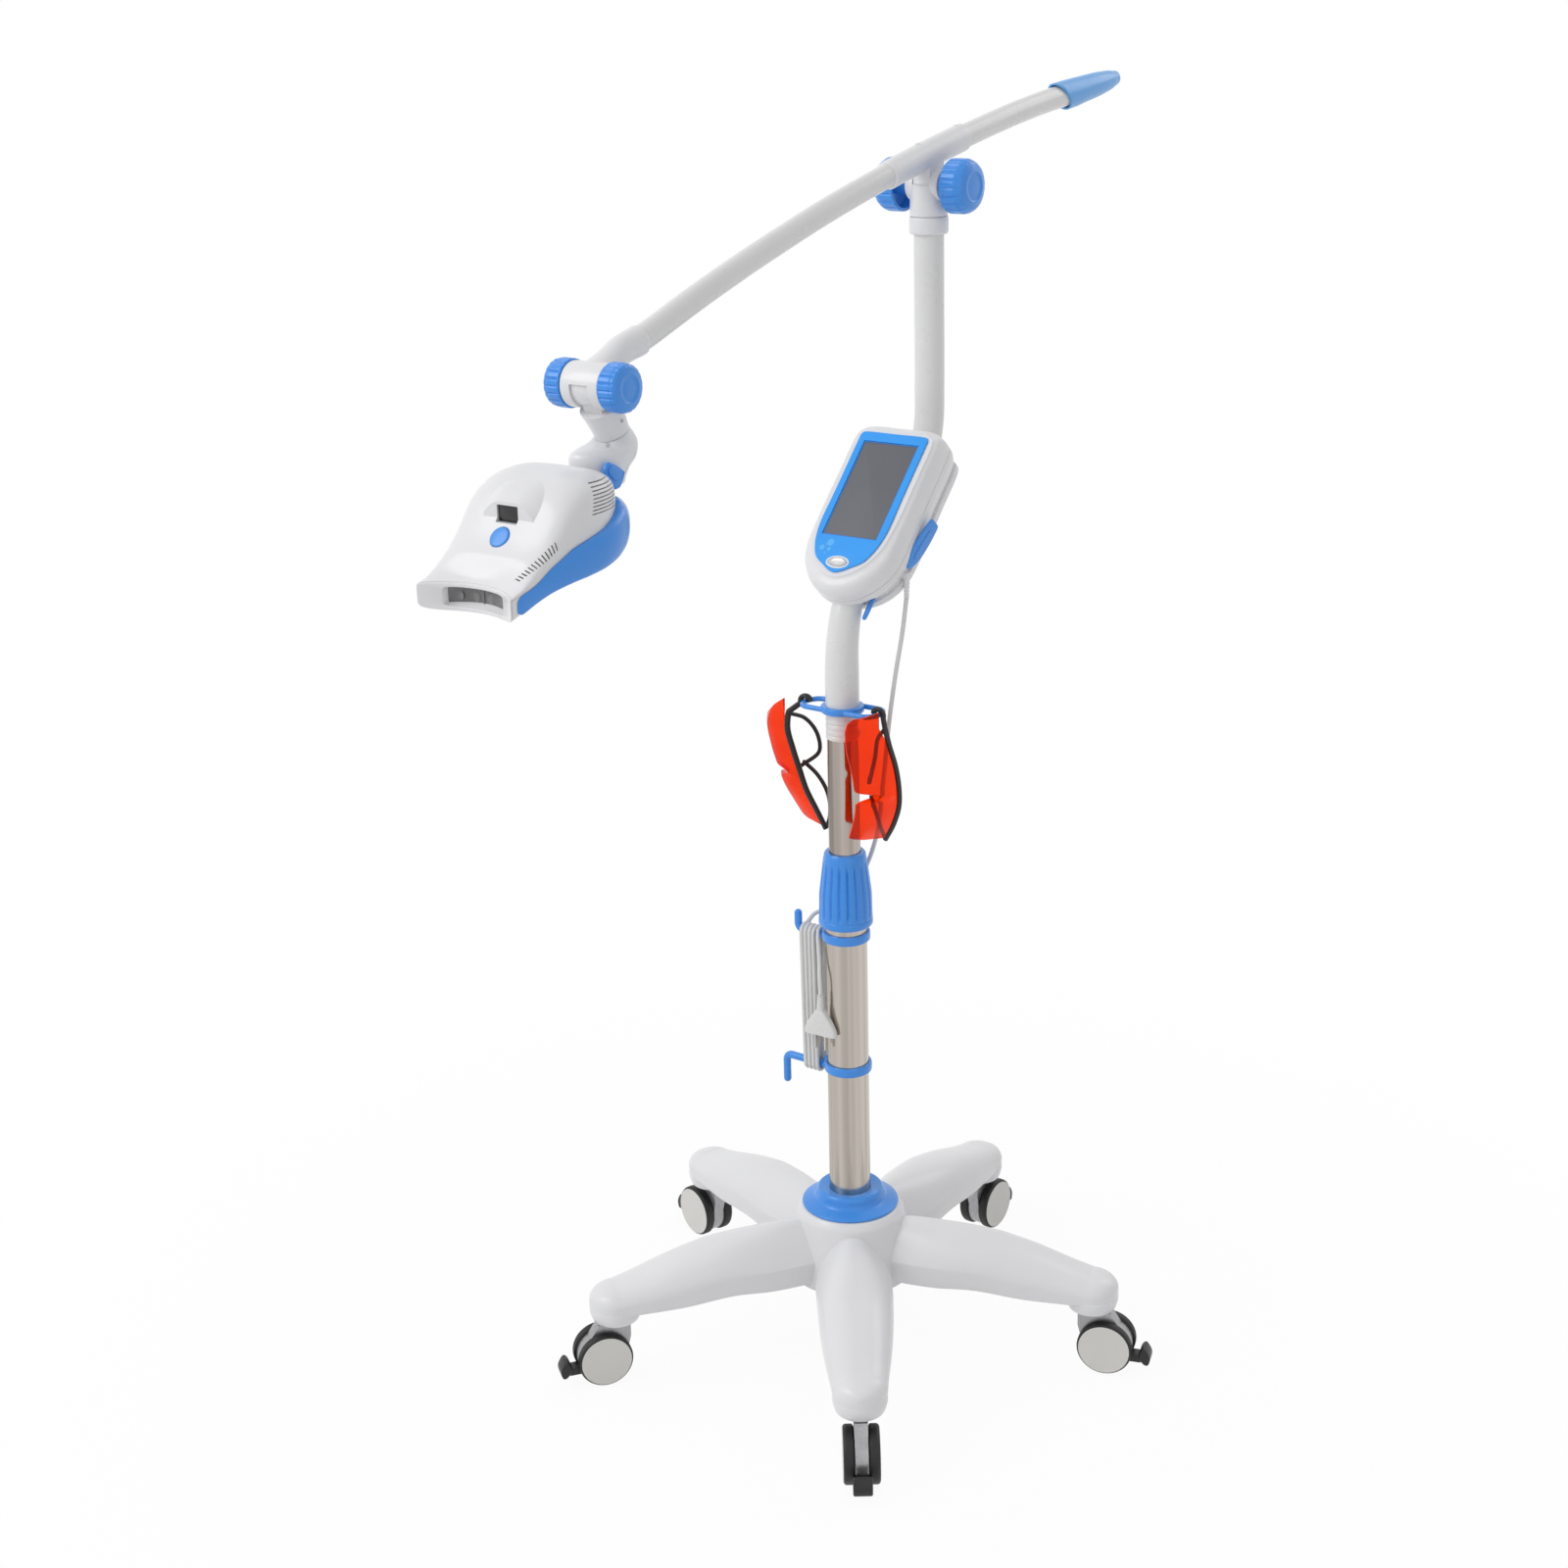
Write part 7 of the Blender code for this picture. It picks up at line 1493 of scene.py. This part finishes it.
def display():
    """A glass slab, and a thin dark blue frame on it between its outline and the same one drawn in: painted shade
    along the display's sunken edge.
    """
    x, y = LCD_HALF
    glass = slab(oblong((-x, -y), (x, y), 0.0010), -0.0080, 0.0008, 0.0003)
    piece("display_glass", to_box(glass), LCD, "mast", ("lcd_module",))
    # The dark blue frame is painted shade: a dark line where the display's recess is in shade
    corners = ((-x, -y), (x, -y), (x, y), (-x, y))
    border = [lifted(rounded_loop([(a * (x - inset) / x, b * (y - inset) / y) for a, b in corners], 0.0008), z)
              for inset, z in ((0.0001, 0.0011), (0.0011, 0.0011), (0.0011, 0.0006), (0.0001, 0.0006))]
    piece("display_shade_frame", to_box(grid(np.array(border), round_u=True)), EDGE_SHADE_BLUE, "mast", ())


def power_oval(half_x, half_y, z):
    """An oval about the power button's middle, at height z over the box's face."""
    a = full_turn(72)
    return np.stack([half_x * np.cos(a), POWER_Y + half_y * np.sin(a), np.full(72, z)], 1)


def power_button():
    """An oval collar and, in it, an oval cap with a raised rim and a flat middle."""
    collar = [power_oval(POWER_RING[0] - d, POWER_RING[1] - d, z)
              for d, z in ((0.0, 0.0004), (0.0, 0.0017), (0.0006, 0.0023), (0.0018, 0.0023), (0.0026, 0.0016),
                           (0.0026, 0.0004))]
    piece("power_collar", to_box(grid(np.array(collar), round_u=True)), WHITE, "mast", ())
    cap = [power_oval(POWER_HALF[0] * f, POWER_HALF[1] * f, z)
           for f, z in ((1.0, -0.0045), (1.0, 0.0020), (0.97, 0.0026), (0.90, 0.0030), (0.82, 0.0027),
                        (0.74, 0.0021), (0.40, 0.0019), (0.10, 0.0020))]
    piece("power_cap", to_box(grid(np.array(cap), caps=(True, True))), PLATED, "power_button", ("power_button",))


def grips():
    """Leaf-shaped pads with a rib: the outline's height goes with a power of the sine that changes along it."""
    a = (np.arange(72) + 0.5) * math.pi / 36
    leaf = np.stack([GRIP_AT[0] + 0.0285 * np.cos(a),
                     GRIP_AT[1] + 0.0105 * np.sign(np.sin(a)) * np.abs(np.sin(a)) ** (0.68 - 0.42 * np.cos(a))], 1)
    pad = slab(leaf, 0.0, 0.0028, 0.0012, 6)
    rib = slab(leaf * (0.62, 0.30) + (GRIP_AT[0] * 0.38, GRIP_AT[1] * 0.70), 0.0025, 0.0034, 0.0006, 4)
    for side, name in ((-1, "left"), (1, "right")):
        forms = [place(form, (side * GRIP_X, 0, 0), (side * GRIP_LEAN, 1, 0), (0, 0, 1), (side, 0, 0))
                 for form in (pad, rib)]
        piece(name + "_grip", to_box(join(*forms)), BLUE, "mast", ("grip_pad_" + name,))


def finger_loop():
    """A round rod along an oval ring that leans across the box; each section is square to the ring."""
    a = np.linspace(0, 2 * math.pi, 80, endpoint=False)[:, None]
    b = np.linspace(0, 2 * math.pi, 20, endpoint=False)[None]
    wide = LOOP_HALF[0] * np.cos(a)
    ahead = unit(np.stack([-LOOP_HALF[0] * LOOP_LEAN[0] * np.sin(a), LOOP_HALF[1] * np.cos(a),
                           -LOOP_HALF[0] * LOOP_LEAN[1] * np.sin(a)], -1))
    normal = np.array((LOOP_LEAN[1], 0, -LOOP_LEAN[0]))
    line = np.stack([LOOP_CENTRE[0] + wide * LOOP_LEAN[0], LOOP_CENTRE[1] + LOOP_HALF[1] * np.sin(a),
                     LOOP_CENTRE[2] + wide * LOOP_LEAN[1]], -1)
    rings = line + LOOP_R * (np.cos(b)[..., None] * np.cross(ahead, normal) + np.sin(b)[..., None] * normal)
    piece("finger_loop", to_box(grid(rings, round_u=True)), BLUE, "mast", ("grip_loop",), sharp=60)


# Studio

WORLD_TOP = unit((-0.60, -0.30, 0.74))      # where the world's soft light is strongest
FLOOR_Z = -0.0004
FLOOR_HALF = 12


def direct_rays(tree):
    """1 for what the camera sees, also through glass or mirrored in metal, or else 0."""
    rays = node(tree, "ShaderNodeLightPath")
    seen = rays.outputs["Is Camera Ray"]
    for kind in ("Is Transmission Ray", "Is Glossy Ray"):
        either = node(tree, "ShaderNodeMath", operation="MAXIMUM")
        tree.links.new(seen, either.inputs[0])
        tree.links.new(rays.outputs[kind], either.inputs[1])
        seen = either.outputs[0]
    return seen


def white_world():
    """White for direct rays; for all others the strength grows with the ray's lean towards the world's top."""
    world = bpy.data.worlds.new("studio")
    bpy.context.scene.world = world
    world.use_nodes = True
    tree = world.node_tree
    back = tree.nodes["Background"]
    back.inputs["Color"].default_value = (1, 1, 1, 1)
    lean = node(tree, "ShaderNodeVectorMath", operation="DOT_PRODUCT")
    tree.links.new(node(tree, "ShaderNodeTexCoord").outputs["Generated"], lean.inputs[0])
    lean.inputs[1].default_value = tuple(WORLD_TOP)
    level = node(tree, "ShaderNodeMix", data_type="FLOAT")
    tree.links.new(direct_rays(tree), level.inputs[0])
    tree.links.new(map_range(tree, lean.outputs["Value"], -0.75, 0.80, 0.22, 0.84), level.inputs[MIX_VALUE_A])
    level.inputs[MIX_VALUE_B].default_value = 1.0
    tree.links.new(level.outputs[0], back.inputs["Strength"])


def paper_floor():
    """Pale paper that direct rays see as light, a little weaker round the stand so that its shadow shows."""
    mesh = bpy.data.meshes.new("floor")
    corners = [(x * FLOOR_HALF, y * FLOOR_HALF, FLOOR_Z) for x, y in ((-1, -1), (1, -1), (1, 1), (-1, 1))]
    mesh.from_pydata(corners, [], [(0, 1, 2, 3)])
    floor = bpy.data.objects.new("floor", mesh)
    bpy.context.scene.collection.objects.link(floor)
    mat = bpy.data.materials.new("floor_paper")
    mat.use_nodes = True
    tree = mat.node_tree
    paper = tree.nodes["Principled BSDF"]
    paper.inputs["Base Color"].default_value = (0.86, 0.86, 0.86, 1)
    paper.inputs["Roughness"].default_value = 0.9
    glow = node(tree, "ShaderNodeEmission", Strength=1.0)
    mix = node(tree, "ShaderNodeMixShader")
    near = node(tree, "ShaderNodeVectorMath", operation="LENGTH")
    tree.links.new(node(tree, "ShaderNodeTexCoord").outputs["Object"], near.inputs[0])
    amount = node(tree, "ShaderNodeMath", operation="MULTIPLY")
    tree.links.new(direct_rays(tree), amount.inputs[0])
    tree.links.new(map_range(tree, near.outputs["Value"], 0.45, 1.1, 0.94, 1.0), amount.inputs[1])
    tree.links.new(amount.outputs[0], mix.inputs["Fac"])
    tree.links.new(paper.outputs[0], mix.inputs[1])
    tree.links.new(glow.outputs[0], mix.inputs[2])
    tree.links.new(mix.outputs[0], tree.nodes["Material Output"].inputs["Surface"])
    mesh.materials.append(mat)


def studio():
    """The world, the floor and three square lamps that look at the middle of the stand."""
    white_world()
    paper_floor()
    for name, spot, size, watts in (("key", (-1.6, -2.2, 2.9), 1.8, 33), ("fill", (2.6, -1.6, 1.7), 2.2, 6),
                                    ("rim", (0.8, 2.4, 2.4), 1.4, 10)):
        lamp = bpy.data.lights.new(name, "AREA")
        lamp.size = size
        lamp.energy = watts
        obj = bpy.data.objects.new(name, lamp)
        bpy.context.scene.collection.objects.link(obj)
        obj.location = spot
        obj.rotation_euler = (Vector((0, 0, 0.75)) - Vector(spot)).to_track_quat("-Z", "Y").to_euler()
    bpy.context.scene.view_settings.view_transform = "Standard"


view_camera()
poles()
height_collar()
hooks()
post_tube()
goggle_holder()
star_base()
for index in range(LEG_COUNT):
    caster(index)
goggles()
box_shells()
bezel()
display()
power_button()
grips()
finger_loop()
swivel()
top_joint()
arm()
arm_nose()
arm_socket()
head_joint()
elbow()
wing_lever()
lamp_head()
mains_cord()
studio()
